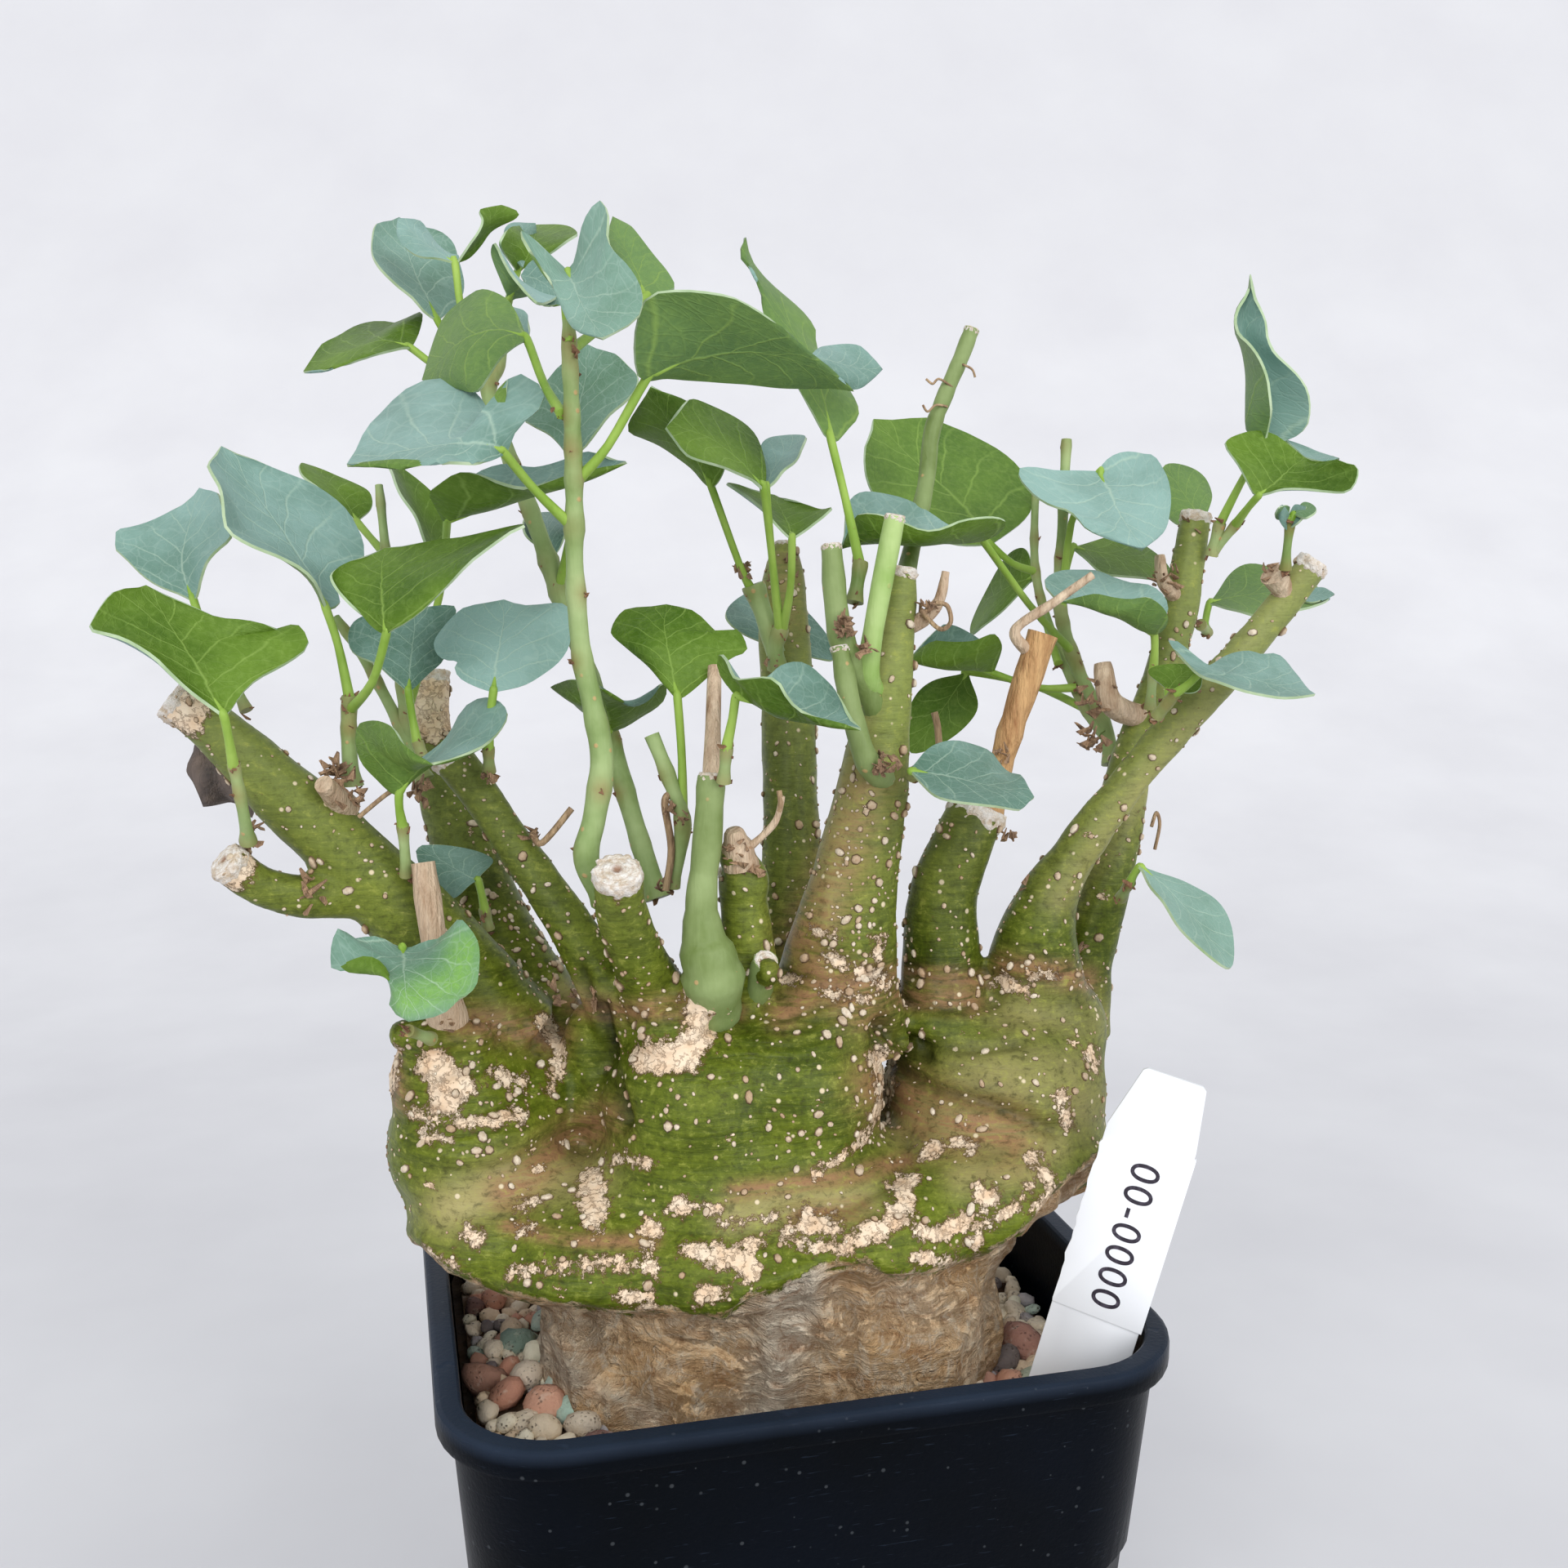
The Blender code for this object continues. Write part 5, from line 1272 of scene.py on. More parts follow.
class Pot:
    """Square nursery pot with a rolled rim, scooped corners and drainage slits."""

    def __init__(self, sizes: PotSizes) -> None:
        """Keep the sizes."""
        self.sizes = sizes

    def loft(self, name: str, sections: Sequence[tuple[float, float, float]]) -> bpy.types.Object:
        """Closed solid through rounded squares.

        Args:
            name: Name of the object.
            sections: Half width, corner radius and height of each square, from the bottom.
        Returns:
            The solid.
        """
        shape = bmesh.new()
        loops = []
        for number, (half, radius, height) in enumerate(sections):
            made = bmesh.ops.create_grid(shape, x_segments=1, y_segments=1, size=half,
                                         matrix=Matrix.Translation((0.0, 0.0, height)))
            done = bmesh.ops.bevel(shape, geom=made["verts"], offset=radius, segments=self.sizes.steps,
                                   profile=0.5, affect="VERTICES", material=-1)
            edges = {edge for vert in done["verts"] for edge in vert.link_edges
                     if len(edge.link_faces) == 1}
            face = next(iter(edges)).link_faces[0]
            edges = list(face.edges)
            if 0 < number < len(sections) - 1:
                bmesh.ops.delete(shape, geom=[face], context="FACES_ONLY")
            if loops:
                bmesh.ops.bridge_loops(shape, edges=loops[-1] + edges)
            loops.append(edges)
        bmesh.ops.recalc_face_normals(shape, faces=shape.faces)
        return new_object(name, mesh_of(shape, name))

    def body(self) -> bpy.types.Object:
        """Outer form of the pot, with its rim.

        Returns:
            The solid.
        """
        s = self.sizes
        under, half = s.height - s.rim_depth, s.width / 2
        walls = [(s.half(z), s.outer_corner(z), z) for z in np.linspace(s.foot_round, under, s.wall_sections)]
        foot = [(s.foot / 2 - inset * MM, s.foot_corner - inset * MM, up * MM)
                for inset, up in ((1.2, 0.0), (0.35, 0.35))]
        rim = [(half - inset * MM, s.corner - inset * MM, under + up * MM)
               for inset, up in ((0.6, 0.01), (0.15, 0.25), (0.0, 0.7))]
        top = [(half - inset * MM, s.corner - inset * MM, s.height - down * MM)
               for inset, down in ((0.0, 0.9), (0.15, 0.35), (0.5, 0.08), (0.9, 0.0))]
        return self.loft("pot_shell", [*foot, *walls, *rim, *top])

    def cavity(self) -> bpy.types.Object:
        """Cutter of the inside, flared at the lip.

        Returns:
            The cutter.
        """
        s = self.sizes
        under, lip = s.height - s.rim_depth, s.width / 2 - s.rim_width
        inside = [(s.half(z, s.wall), s.cavity_corner(z), z) for z in (s.floor, under)]
        flare = [(lip + out * MM, s.corner - s.rim_width + out * MM, s.height + up * MM)
                 for out, up in ((0.0, -0.7), (0.15, -0.3), (0.5, 0.0), (0.5, 1.0))]
        return self.loft("pot_cavity", [*inside, *flare])

    def build(self) -> bpy.types.Object:
        """Shell of the pot with its openings cut.

        Returns:
            The pot.
        """
        body, cutters = self.body(), [self.cavity()]
        for corner in range(4):
            turn = Matrix.Rotation(math.pi / 4 + corner * math.pi / 2, 4, "Z")
            cutters += [self.scoop(turn), *self.slits(turn)]
        for cutter in cutters:
            cutter.hide_render = True
            boolean = body.modifiers.new("cut", "BOOLEAN")
            boolean.operation, boolean.solver, boolean.object = "DIFFERENCE", "EXACT", cutter
        mesh = bake(body)
        for cutter in cutters:
            bpy.data.objects.remove(cutter, do_unlink=True)
        return merge("pot_body", [mesh], [MouldedPlastic("pot_plastic")], 28.0)

    def scoop(self, turn: Matrix) -> bpy.types.Object:
        """Arched cutter for one corner, its face as steep as the corner.

        Args:
            turn: Turn to the corner.
        Returns:
            The cutter.
        """
        s = self.sizes
        shape = bmesh.new()
        outline = [(-s.scoop_radius, s.scoop_below)]
        for step in range(s.scoop_steps + 1):
            angle = math.pi - math.pi * step / s.scoop_steps
            outline.append((s.scoop_radius * math.cos(angle),
                            s.scoop_height - s.scoop_radius + s.scoop_radius * math.sin(angle)))
        outline.append((s.scoop_radius, s.scoop_below))
        face = shape.faces.new([shape.verts.new((s.reach(max(z, 0.0)) - s.scoop_depth, across, z))
                                for across, z in outline])
        shift_new(shape, bmesh.ops.extrude_face_region(shape, geom=[face]), (20 * MM, 0.0, 0.0))
        bmesh.ops.transform(shape, matrix=turn, verts=shape.verts)
        bmesh.ops.recalc_face_normals(shape, faces=shape.faces)
        bmesh.ops.triangulate(shape, faces=[item for item in shape.faces if len(item.verts) > 4])
        return new_object("scoop", mesh_of(shape, "scoop"))

    def slits(self, turn: Matrix) -> list[bpy.types.Object]:
        """Cutters for one corner's three drainage slits.

        Args:
            turn: Turn to the corner.
        Returns:
            The cutters.
        """
        s, made = self.sizes, []
        for number in (-1, 0, 1):
            shape = bmesh.new()
            across = number * (s.scoop_radius / 2)
            middle = Matrix.Translation((s.reach(0.0), across, (s.slit_low + s.slit_top) / 2))
            size = Matrix.Diagonal((s.cutter_length, s.slit_width, s.slit_top - s.slit_low, 1.0))
            bmesh.ops.create_cube(shape, size=1.0, matrix=turn @ middle @ size)
            made.append(new_object("slit", mesh_of(shape, "slit")))
        return made

    def dress(self) -> None:
        """Build the pot and register it."""
        show(self.build(), Slot.POT, "pot")


@dataclass(frozen=True)
class FillSizes:
    """Sizes of the filling."""

    surface: float = 83 * MM
    bed: float = 2.0 * MM
    reach: float = 46.6 * MM
    corner: float = 14.5 * MM
    root_centre: tuple[float, float] = (1.5 * MM, 0.0 * MM)
    root_half: tuple[float, float] = (29.0 * MM, 24.0 * MM)
    stones: int = 1400
    tries: int = 60000
    small: tuple[float, float] = (1.1 * MM, 2.2 * MM)
    packing: float = 0.72
    sunk: float = 0.55
    heap: float = 1.4
    tilt: float = 0.6
    bed_cells: int = 60
    bed_inset: float = 0.4 * MM
    bed_thick: float = 1.2 * MM
    bed_rough: float = 0.9
    seed: int = 23


class Filling:
    """Potting mix with a layer of mixed loose stones."""

    TONES: tuple[tuple[float, Colour], ...] = (
        (0.44, tone(246, 230, 206)), (0.22, tone(226, 202, 174)), (0.07, tone(202, 146, 124)),
        (0.05, tone(172, 130, 114)), (0.03, tone(118, 90, 86)), (0.09, tone(184, 204, 192)),
        (0.08, tone(176, 172, 176)), (0.02, tone(120, 112, 114)))
    LARGE: tuple[tuple[float, float, float, Colour], ...] = (
        (738, 1712, 4.3, tone(104, 76, 76)), (688, 1700, 2.9, tone(186, 206, 194)),
        (622, 1712, 3.2, tone(202, 146, 124)), (594, 1690, 3.2, tone(164, 124, 108)),
        (666, 1725, 3.0, tone(204, 154, 132)), (645, 1690, 3.0, tone(230, 214, 194)),
        (716, 1745, 3.4, tone(220, 206, 186)), (590, 1715, 3.2, tone(200, 182, 158)),
        (1015, 1722, 3.6, tone(176, 130, 118)), (1255, 1650, 3.6, tone(154, 114, 102)),
        (1236, 1690, 2.6, tone(202, 152, 130)), (1262, 1690, 2.8, tone(186, 200, 180)),
        (1228, 1665, 2.6, tone(120, 110, 108)), (632, 1645, 2.8, tone(130, 154, 142)),
        (700, 1730, 2.6, tone(168, 194, 180)), (668, 1752, 2.6, tone(224, 206, 180)))

    def __init__(self, sizes: FillSizes) -> None:
        """Keep the sizes."""
        self.sizes = sizes

    def stone(self, rng: random.Random, centre: Vector, size: float) -> bpy.types.Mesh:
        """One rounded stone.

        Args:
            rng: Source of chance.
            centre: Its middle.
            size: Its half size.
        Returns:
            The mesh.
        """
        shape = bmesh.new()
        bmesh.ops.create_icosphere(shape, subdivisions=2, radius=1.0)
        odd = Vector((rng.uniform(0, 90), rng.uniform(0, 90), 0.0))
        for vert in shape.verts:
            vert.co *= 1.0 + 0.34 * noise.noise(vert.co * 0.9 + odd) + 0.1 * noise.noise(vert.co * 2.6 + odd)
        stretch = Matrix.Diagonal((rng.uniform(0.85, 1.25), rng.uniform(0.8, 1.1),
                                   rng.uniform(0.6, 0.85), 1.0))
        turn = tumble(rng, self.sizes.tilt)
        place = Matrix.Translation(centre) @ turn @ stretch @ Matrix.Scale(size, 4)
        bmesh.ops.transform(shape, matrix=place, verts=shape.verts)
        return mesh_of(shape, "stone")

    def inside(self, x: float, y: float, size: float) -> bool:
        """Whether a stone fits between the root and the wall.

        Args:
            x: Its place across the pot.
            y: Its place along the pot.
            size: Its half size.
        Returns:
            True if it fits.
        """
        s = self.sizes
        limit = s.reach - size
        if abs(x) > limit or abs(y) > limit:
            return False
        over = max(abs(x) - (s.reach - s.corner), 0.0), max(abs(y) - (s.reach - s.corner), 0.0)
        if math.hypot(*over) > s.corner - size:
            return False
        dx, dy = (x - s.root_centre[0]) / s.root_half[0], (y - s.root_centre[1]) / s.root_half[1]
        return dx * dx + dy * dy > 1.0

    def places(self, rng: random.Random) -> list[tuple[float, float, float, Colour]]:
        """Where the stones lie: the large ones first, then small ones by chance.

        Args:
            rng: Source of chance.
        Returns:
            Place across and along, half size and colour of each stone.
        """
        s, found = self.sizes, []
        for x_px, y_px, size_mm, colour in self.LARGE:
            where = STATION.on_height(x_px, y_px, s.surface + 4 * MM)
            if self.inside(where.x, where.y, size_mm * 0.5 * MM):
                found.append((where.x, where.y, size_mm * MM, colour))
        shares, colours = zip(*self.TONES)
        tries = 0
        while len(found) < s.stones and tries < s.tries:
            tries += 1
            size = rng.uniform(*s.small)
            x, y = rng.uniform(-s.reach, s.reach), rng.uniform(-s.reach, s.reach)
            if not self.inside(x, y, size * 0.8):
                continue
            if any(math.hypot(x - px, y - py) < s.packing * (size + other) for px, py, other, _ in found):
                continue
            found.append((x, y, size, rng.choices(colours, shares)[0]))
        return found

    def stones(self) -> bpy.types.Object:
        """Loose stones over the bed.

        Returns:
            One object of all the stones.
        """
        s, meshes = self.sizes, []
        rng = random.Random(s.seed)
        for x, y, size, colour in self.places(rng):
            lift = s.sunk * size + rng.uniform(0.0, s.heap) * MM
            mesh = self.stone(rng, Vector((x, y, s.surface + s.bed + lift)), size)
            shade = rng.uniform(0.86, 1.2)
            set_tone(mesh, tuple(min(value * shade, 1.0) for value in colour))
            meshes.append(mesh)
        LOG.info("stones: %d", len(meshes))
        return merge("gravel_stones", meshes, [Pebble("pebble")], 60.0)

    def bed(self) -> bpy.types.Object:
        """Grit under the stones, a rough sheet with thickness.

        Returns:
            The sheet.
        """
        s = self.sizes
        shape = bmesh.new()
        bmesh.ops.create_grid(shape, x_segments=s.bed_cells, y_segments=s.bed_cells,
                              size=s.reach - s.bed_inset)
        for vert in shape.verts:
            lift = noise.noise(vert.co * 260.0) * s.bed_rough * MM
            edge = max(abs(vert.co.x), abs(vert.co.y)) / s.reach
            over = max(abs(vert.co.x) + abs(vert.co.y) - (2 * s.reach - 1.25 * s.corner), 0.0)
            vert.co.x -= math.copysign(over * 0.5, vert.co.x)
            vert.co.y -= math.copysign(over * 0.5, vert.co.y)
            vert.co.z = s.surface + s.bed + lift * (1 - edge ** 6)
        bmesh.ops.solidify(shape, geom=shape.faces[:], thickness=s.bed_thick)
        bmesh.ops.recalc_face_normals(shape, faces=shape.faces)
        mesh = mesh_of(shape, "gravel_bed")
        set_tone(mesh, tone(120, 96, 76))
        return merge("gravel_bed", [mesh], [Pebble("pebble")])

    def dress(self) -> None:
        """Lay the bed and the stones, register them and dress the soil."""
        bed = self.bed()
        show(self.stones(), Slot.GRAVEL, "gravel")
        show(bed, Slot.GRAVEL)
        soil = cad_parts["soil"]
        soil.data.materials.clear()
        soil.data.materials.append(PottingMix("potting_mix").material())


@dataclass(frozen=True)
class LabelSizes:
    """Sizes of the label."""

    foot: Sight = (1325, 1664, 236)
    top: Sight = (1434, 1317, 230)
    width: float = 13.0 * MM
    length: float = 76 * MM
    thick: float = 0.9 * MM
    chamfer: float = 9.6 * MM
    point: float = 12 * MM
    tape_thick: float = 0.3 * MM
    tape_from_top: float = 10.5 * MM
    tape_width: float = 13.6 * MM
    tape_length: float = 27 * MM
    tape_slant: float = 1.5 * MM
    tears: int = 22
    tear: float = 0.35
    digits: str = "00-0000"
    digit_height: float = 6.0 * MM
    ink_thick: float = 0.02 * MM
    ink_gap: float = 0.015 * MM
    crease: float = 30.0
    seed: int = 5


class Label:
    """White plant label with a band of tape and plain digits."""

    def __init__(self, sizes: LabelSizes) -> None:
        """Keep the sizes and work out where the label stands.

        Args:
            sizes: Sizes of the label.
        """
        self.sizes = sizes
        low, high = STATION.sight(*sizes.foot), STATION.sight(*sizes.top)
        up = (high - low).normalized()
        across = up.cross(STATION.place - high).normalized()
        self.frame = Matrix((across, -across.cross(up), up)).transposed().to_4x4()
        self.frame.translation = high

    def plate(self, name: str, outline: Line, thick: float, bevel: float) -> bpy.types.Mesh:
        """Flat plate with softened edges.

        Args:
            name: Name of the mesh.
            outline: Corners across and along the label.
            thick: Thickness.
            bevel: Width of the softened edge.
        Returns:
            The mesh, in place.
        """
        shape = bmesh.new()
        face = shape.faces.new([shape.verts.new((x, -thick / 2, z)) for x, z in outline])
        shift_new(shape, bmesh.ops.extrude_face_region(shape, geom=[face]), (0.0, thick, 0.0))
        bmesh.ops.recalc_face_normals(shape, faces=shape.faces)
        bmesh.ops.bevel(shape, geom=shape.edges[:], offset=bevel, segments=2, profile=0.5,
                        affect="EDGES", material=-1)
        bmesh.ops.transform(shape, matrix=self.frame, verts=shape.verts)
        return mesh_of(shape, name)

    def tag(self) -> bpy.types.Object:
        """Flat tag with a point at its foot.

        Returns:
            The tag.
        """
        s = self.sizes
        half = s.width / 2
        outline = [(-half, -s.length + s.point), (-1.5 * MM, -s.length), (1.5 * MM, -s.length),
                   (half, -s.length + s.point), (half, -s.chamfer), (half - 1.2 * MM, -0.6 * MM),
                   (half - 1.9 * MM, 0.0), (-half + 3.2 * MM, 0.0), (-half + 2.6 * MM, -0.4 * MM),
                   (-half, -s.chamfer)]
        plate = self.plate("tag", outline, s.thick, 0.12 * MM)
        return merge("label_tag", [plate], [Card("label_card")], s.crease)

    def tape(self) -> bpy.types.Object:
        """Band of tape with a torn left edge.

        Returns:
            The band.
        """
        s = self.sizes
        half, low = s.tape_width / 2, -s.tape_from_top - s.tape_length
        rng = random.Random(s.seed)
        left = [(-half + rng.uniform(0.0, s.tear) * MM,
                 low + (i + 0.5) / s.tears * (s.tape_length - s.tape_slant)) for i in range(s.tears)]
        outline = [(half, low), (half, -s.tape_from_top),
                   (-half + 0.4 * MM, -s.tape_from_top - s.tape_slant),
                   *reversed(left), (-half + 0.3 * MM, low)]
        plate = self.plate("tape", outline, s.thick + 2 * s.tape_thick, 0.04 * MM)
        finish = Card("label_tape", base=tone(247, 249, 253), dirt=0.1)
        return merge("label_tape", [plate], [finish], s.crease)

    def digits(self) -> bpy.types.Object:
        """Plain digits down the tape.

        Returns:
            The digits.
        """
        s = self.sizes
        text = bpy.data.curves.new("digits", "FONT")
        text.body = s.digits
        text.size = s.digit_height
        text.space_character = 1.15
        text.extrude = s.ink_thick
        text.align_x, text.align_y = "CENTER", "CENTER"
        mesh = bake(new_object("digits", text))
        surface = s.thick / 2 + s.tape_thick + s.ink_gap
        middle = -s.tape_from_top - s.tape_length / 2 - 0.5 * MM
        stand = Matrix(((0.0, 1.0, 0.0, 0.4 * MM), (0.0, 0.0, -1.0, -surface),
                        (-1.0, 0.0, 0.0, middle), (0.0, 0.0, 0.0, 1.0)))
        mesh.transform(self.frame @ stand)
        mesh.materials.clear()
        return merge("label_digits", [mesh], [Ink("label_ink")], s.crease)

    def dress(self) -> None:
        """Build the label's pieces and register them."""
        show(self.tag(), Slot.LABEL, "label")
        show(self.tape(), Slot.LABEL)
        show(self.digits(), Slot.LABEL)


@dataclass(frozen=True)
class Stub:
    """Thin stub or dry stick on the caudex, as sight points with a radius in millimetres."""

    skin: Skin
    stations: Thick


# Lumps of the caudex: sight point of the centre, half sizes in millimetres across, deep and high.
LUMPS: tuple[tuple[Sight, Triple], ...] = (
    ((590, 1395, 242), (14.0, 17.0, 12.0)),
    ((562, 1318, 240), (10.4, 12.0, 9.8)),
    ((640, 1335, 249), (11.5, 15.0, 11.0)),
    ((530, 1398, 245), (6.8, 12.0, 9.5)),
    ((860, 1350, 240), (15.5, 18.0, 16.0)),
    ((965, 1330, 241), (14.5, 17.0, 15.5)),
    ((1015, 1250, 241), (9.0, 11.0, 9.0)),
    ((900, 1440, 237), (22.0, 16.0, 10.0)),
    ((1218, 1330, 254), (17.8, 18.0, 14.0)),
    ((1150, 1250, 253), (8.5, 10.0, 8.5)),
    ((1290, 1260, 256), (8.8, 10.0, 9.5)),
    ((1250, 1400, 252), (14.0, 16.0, 10.5)),
    ((614, 1475, 241), (13.6, 19.0, 9.0)),
    ((740, 1505, 237), (19.0, 20.0, 10.0)),
    ((900, 1512, 236), (20.0, 20.0, 10.0)),
    ((1050, 1478, 239), (18.0, 20.0, 9.8)),
    ((1185, 1440, 244), (16.0, 18.0, 9.6)),
    ((880, 1400, 268), (44.0, 25.0, 15.0)),
    ((905, 1480, 259), (48.0, 34.0, 11.5)),
)

# Bark-covered neck between the lumps and the filling.
NECK: tuple[tuple[Sight, Triple], ...] = (
    ((925, 1585, 254), (35.0, 27.0, 12.0)),
    ((905, 1650, 251), (33.0, 26.5, 10.5)),
)

# Foot of the caudex, down into the stones.
ROOT_LUMPS: tuple[tuple[Sight, Triple], ...] = (
    ((965, 1680, 252), (27.0, 24.0, 13.0)),
    ((1075, 1640, 246), (17.0, 19.0, 14.0)),
    ((1070, 1604, 238), (18.0, 13.0, 10.0)),
    ((940, 1640, 236), (14.0, 10.0, 9.0)),
    ((960, 1700, 245), (17.0, 17.0, 12.0)),
    ((775, 1622, 248), (16.0, 17.0, 10.0)),
    ((1150, 1600, 252), (11.0, 15.0, 14.0)),
)

# Extra small lumps of the skin.
BOSSES: tuple[tuple[Sight, Triple], ...] = (
    ((494, 1268, 233), (2.2, 2.6, 2.3)),
    ((578, 1272, 233), (3.2, 3.2, 2.8)),
    ((540, 1268, 233), (5.2, 4.4, 2.6)),
    ((822, 1262, 229), (5.2, 4.0, 4.6)),
    ((900, 1190, 236), (3.6, 4.0, 4.6)),
    ((940, 1190, 229), (2.0, 2.4, 2.2)),
    ((872, 1205, 229), (4.2, 4.4, 5.0)),
    ((726, 1295, 244), (5.0, 5.0, 9.0)),
    ((740, 1360, 241), (5.0, 4.0, 6.0)),
    ((914, 1080, 233), (3.4, 3.6, 4.0)),
    ((903, 1050, 231), (2.8, 2.8, 2.6)),
    ((1282, 1285, 265), (8.6, 8.0, 9.0)),
    ((1262, 1330, 264), (9.0, 8.0, 9.0)),
)

# Thick trunks that flow into the caudex: sight points with a radius in millimetres.
TRUNKS: tuple[Thick, ...] = (
    ((620, 1270, 246, 9.0), (556, 1180, 242, 7.0), (480, 1100, 239, 6.1), (415, 1035, 237, 5.4),
     (357, 980, 235, 4.9), (300, 925, 233, 4.2), (250, 882, 231, 3.6), (212, 857, 230, 3.3)),
    ((455, 1090, 238, 4.2), (385, 1098, 234, 3.2), (322, 1086, 231, 3.0), (276, 1054, 227, 2.9)),
    ((790, 1290, 242, 7.0), (745, 1212, 239, 4.4), (702, 1140, 239, 3.3), (655, 1070, 240, 3.0),
     (610, 1005, 241, 2.9), (575, 955, 242, 3.2), (550, 922, 242, 3.3)),
    ((700, 1290, 256, 8.5), (660, 1240, 256, 7.6), (610, 1150, 258, 6.5), (565, 1030, 260, 5.0),
     (538, 950, 262, 3.8), (528, 890, 263, 3.2), (528, 824, 264, 3.1)),
    ((830, 1260, 238, 6.5), (800, 1212, 233, 4.8), (780, 1170, 227, 4.0), (760, 1115, 221, 3.7),
     (756, 1068, 216, 3.4)),
    ((915, 1230, 238, 5.0), (915, 1150, 234, 3.7), (905, 1062, 235, 3.1)),
    ((1020, 1270, 244, 12.0), (1028, 1190, 242, 9.0), (1042, 1100, 240, 7.0), (1062, 1000, 239, 5.6),
     (1077, 900, 238, 4.4), (1086, 840, 237, 3.7), (1095, 780, 237, 2.9), (1103, 695, 236, 2.5)),
    ((985, 1270, 262, 8.0), (972, 1120, 264, 5.4), (968, 1000, 266, 4.8), (966, 900, 267, 4.6),
     (960, 760, 269, 4.2), (960, 702, 270, 3.4), (962, 662, 270, 1.8)),
    ((1160, 1290, 255, 9.0), (1155, 1230, 252, 6.8), (1152, 1160, 252, 6.0), (1156, 1092, 251, 5.3),
     (1181, 1030, 250, 4.8), (1197, 992, 250, 4.6)),
    ((1275, 1270, 257, 9.5), (1266, 1180, 253, 7.4), (1282, 1105, 251, 4.9), (1313, 1050, 250, 3.5),
     (1390, 947, 249, 2.9), (1450, 878, 248, 2.8), (1523, 797, 247, 2.8), (1610, 688, 245, 2.5)),
    ((1308, 1260, 267, 7.2), (1326, 1180, 266, 4.9), (1350, 1090, 266, 4.2), (1370, 1010, 267, 4.0),
     (1384, 940, 267, 3.6), (1412, 860, 268, 3.1), (1440, 770, 269, 2.9), (1455, 690, 270, 2.8),
     (1465, 628, 270, 2.6)),
)

# Thin stubs, dry sticks and knobs on the caudex and its trunks.
STUBS: tuple[Stub, ...] = (
    Stub(Skin.DRY, ((560, 1300, 238, 3.6), (546, 1240, 232, 2.9), (531, 1150, 230, 2.0),
         (518, 1056, 230, 1.8))),
    Stub(Skin.GREEN, ((874, 1245, 234, 3.6), (873, 1195, 228, 4.6), (862, 1150, 227, 3.2),
         (859, 1100, 226, 2.2), (866, 1030, 226, 2.1), (871, 950, 226, 1.9))),
    Stub(Skin.DRY, ((871, 970, 227, 1.3), (875, 816, 232, 1.0))),
    Stub(Skin.GREEN, ((925, 1215, 235, 2.4), (938, 1176, 229, 1.7))),
    Stub(Skin.TAN, ((1202, 1000, 250, 3.4), (1224, 940, 250, 1.9), (1242, 880, 249, 2.0),
         (1277, 776, 248, 2.4))),
    Stub(Skin.DRY, ((1262, 800, 248, 1.1), (1243, 772, 246, 0.8), (1290, 738, 246, 0.7),
         (1338, 704, 246, 0.6))),
    Stub(Skin.GREEN, ((1080, 880, 237, 2.4), (1042, 810, 231, 1.9), (1026, 760, 230, 1.8),
         (1018, 668, 230, 1.5))),
    Stub(Skin.BRIGHT, ((1075, 850, 236, 1.8), (1064, 810, 231, 1.6), (1096, 632, 228, 1.5))),
    Stub(Skin.GREEN, ((1090, 960, 238, 2.2), (1062, 932, 230, 1.8), (1043, 870, 229, 1.5),
         (1028, 792, 229, 1.4))),
    Stub(Skin.DRY, ((1095, 775, 237, 1.6), (1130, 758, 237, 1.2), (1150, 735, 237, 0.8),
         (1158, 700, 237, 0.6))),
    Stub(Skin.GREEN, ((1092, 790, 240, 1.7), (1110, 700, 258, 1.5), (1133, 596, 263, 1.4),
         (1141, 530, 264, 1.4), (1158, 482, 264, 1.3), (1176, 440, 264, 1.3), (1190, 403, 264, 1.3))),
    Stub(Skin.DRY, ((908, 1062, 231, 2.6), (902, 1034, 230, 2.1), (898, 1016, 229, 1.2))),
    Stub(Skin.DRY, ((915, 1040, 230, 0.6), (948, 1008, 229, 0.5), (958, 975, 228, 0.4))),
    Stub(Skin.DRY, ((1578, 735, 246, 1.6), (1560, 703, 243, 2.0))),
    Stub(Skin.DRY, ((424, 990, 236, 2.2), (396, 960, 229, 1.3))),
    Stub(Skin.DRY, ((1405, 880, 268, 2.0), (1362, 862, 262, 2.0), (1350, 812, 262, 1.4))),
    Stub(Skin.DRY, ((1445, 735, 269, 1.4), (1425, 712, 266, 1.1), (1420, 680, 266, 0.9))),
)

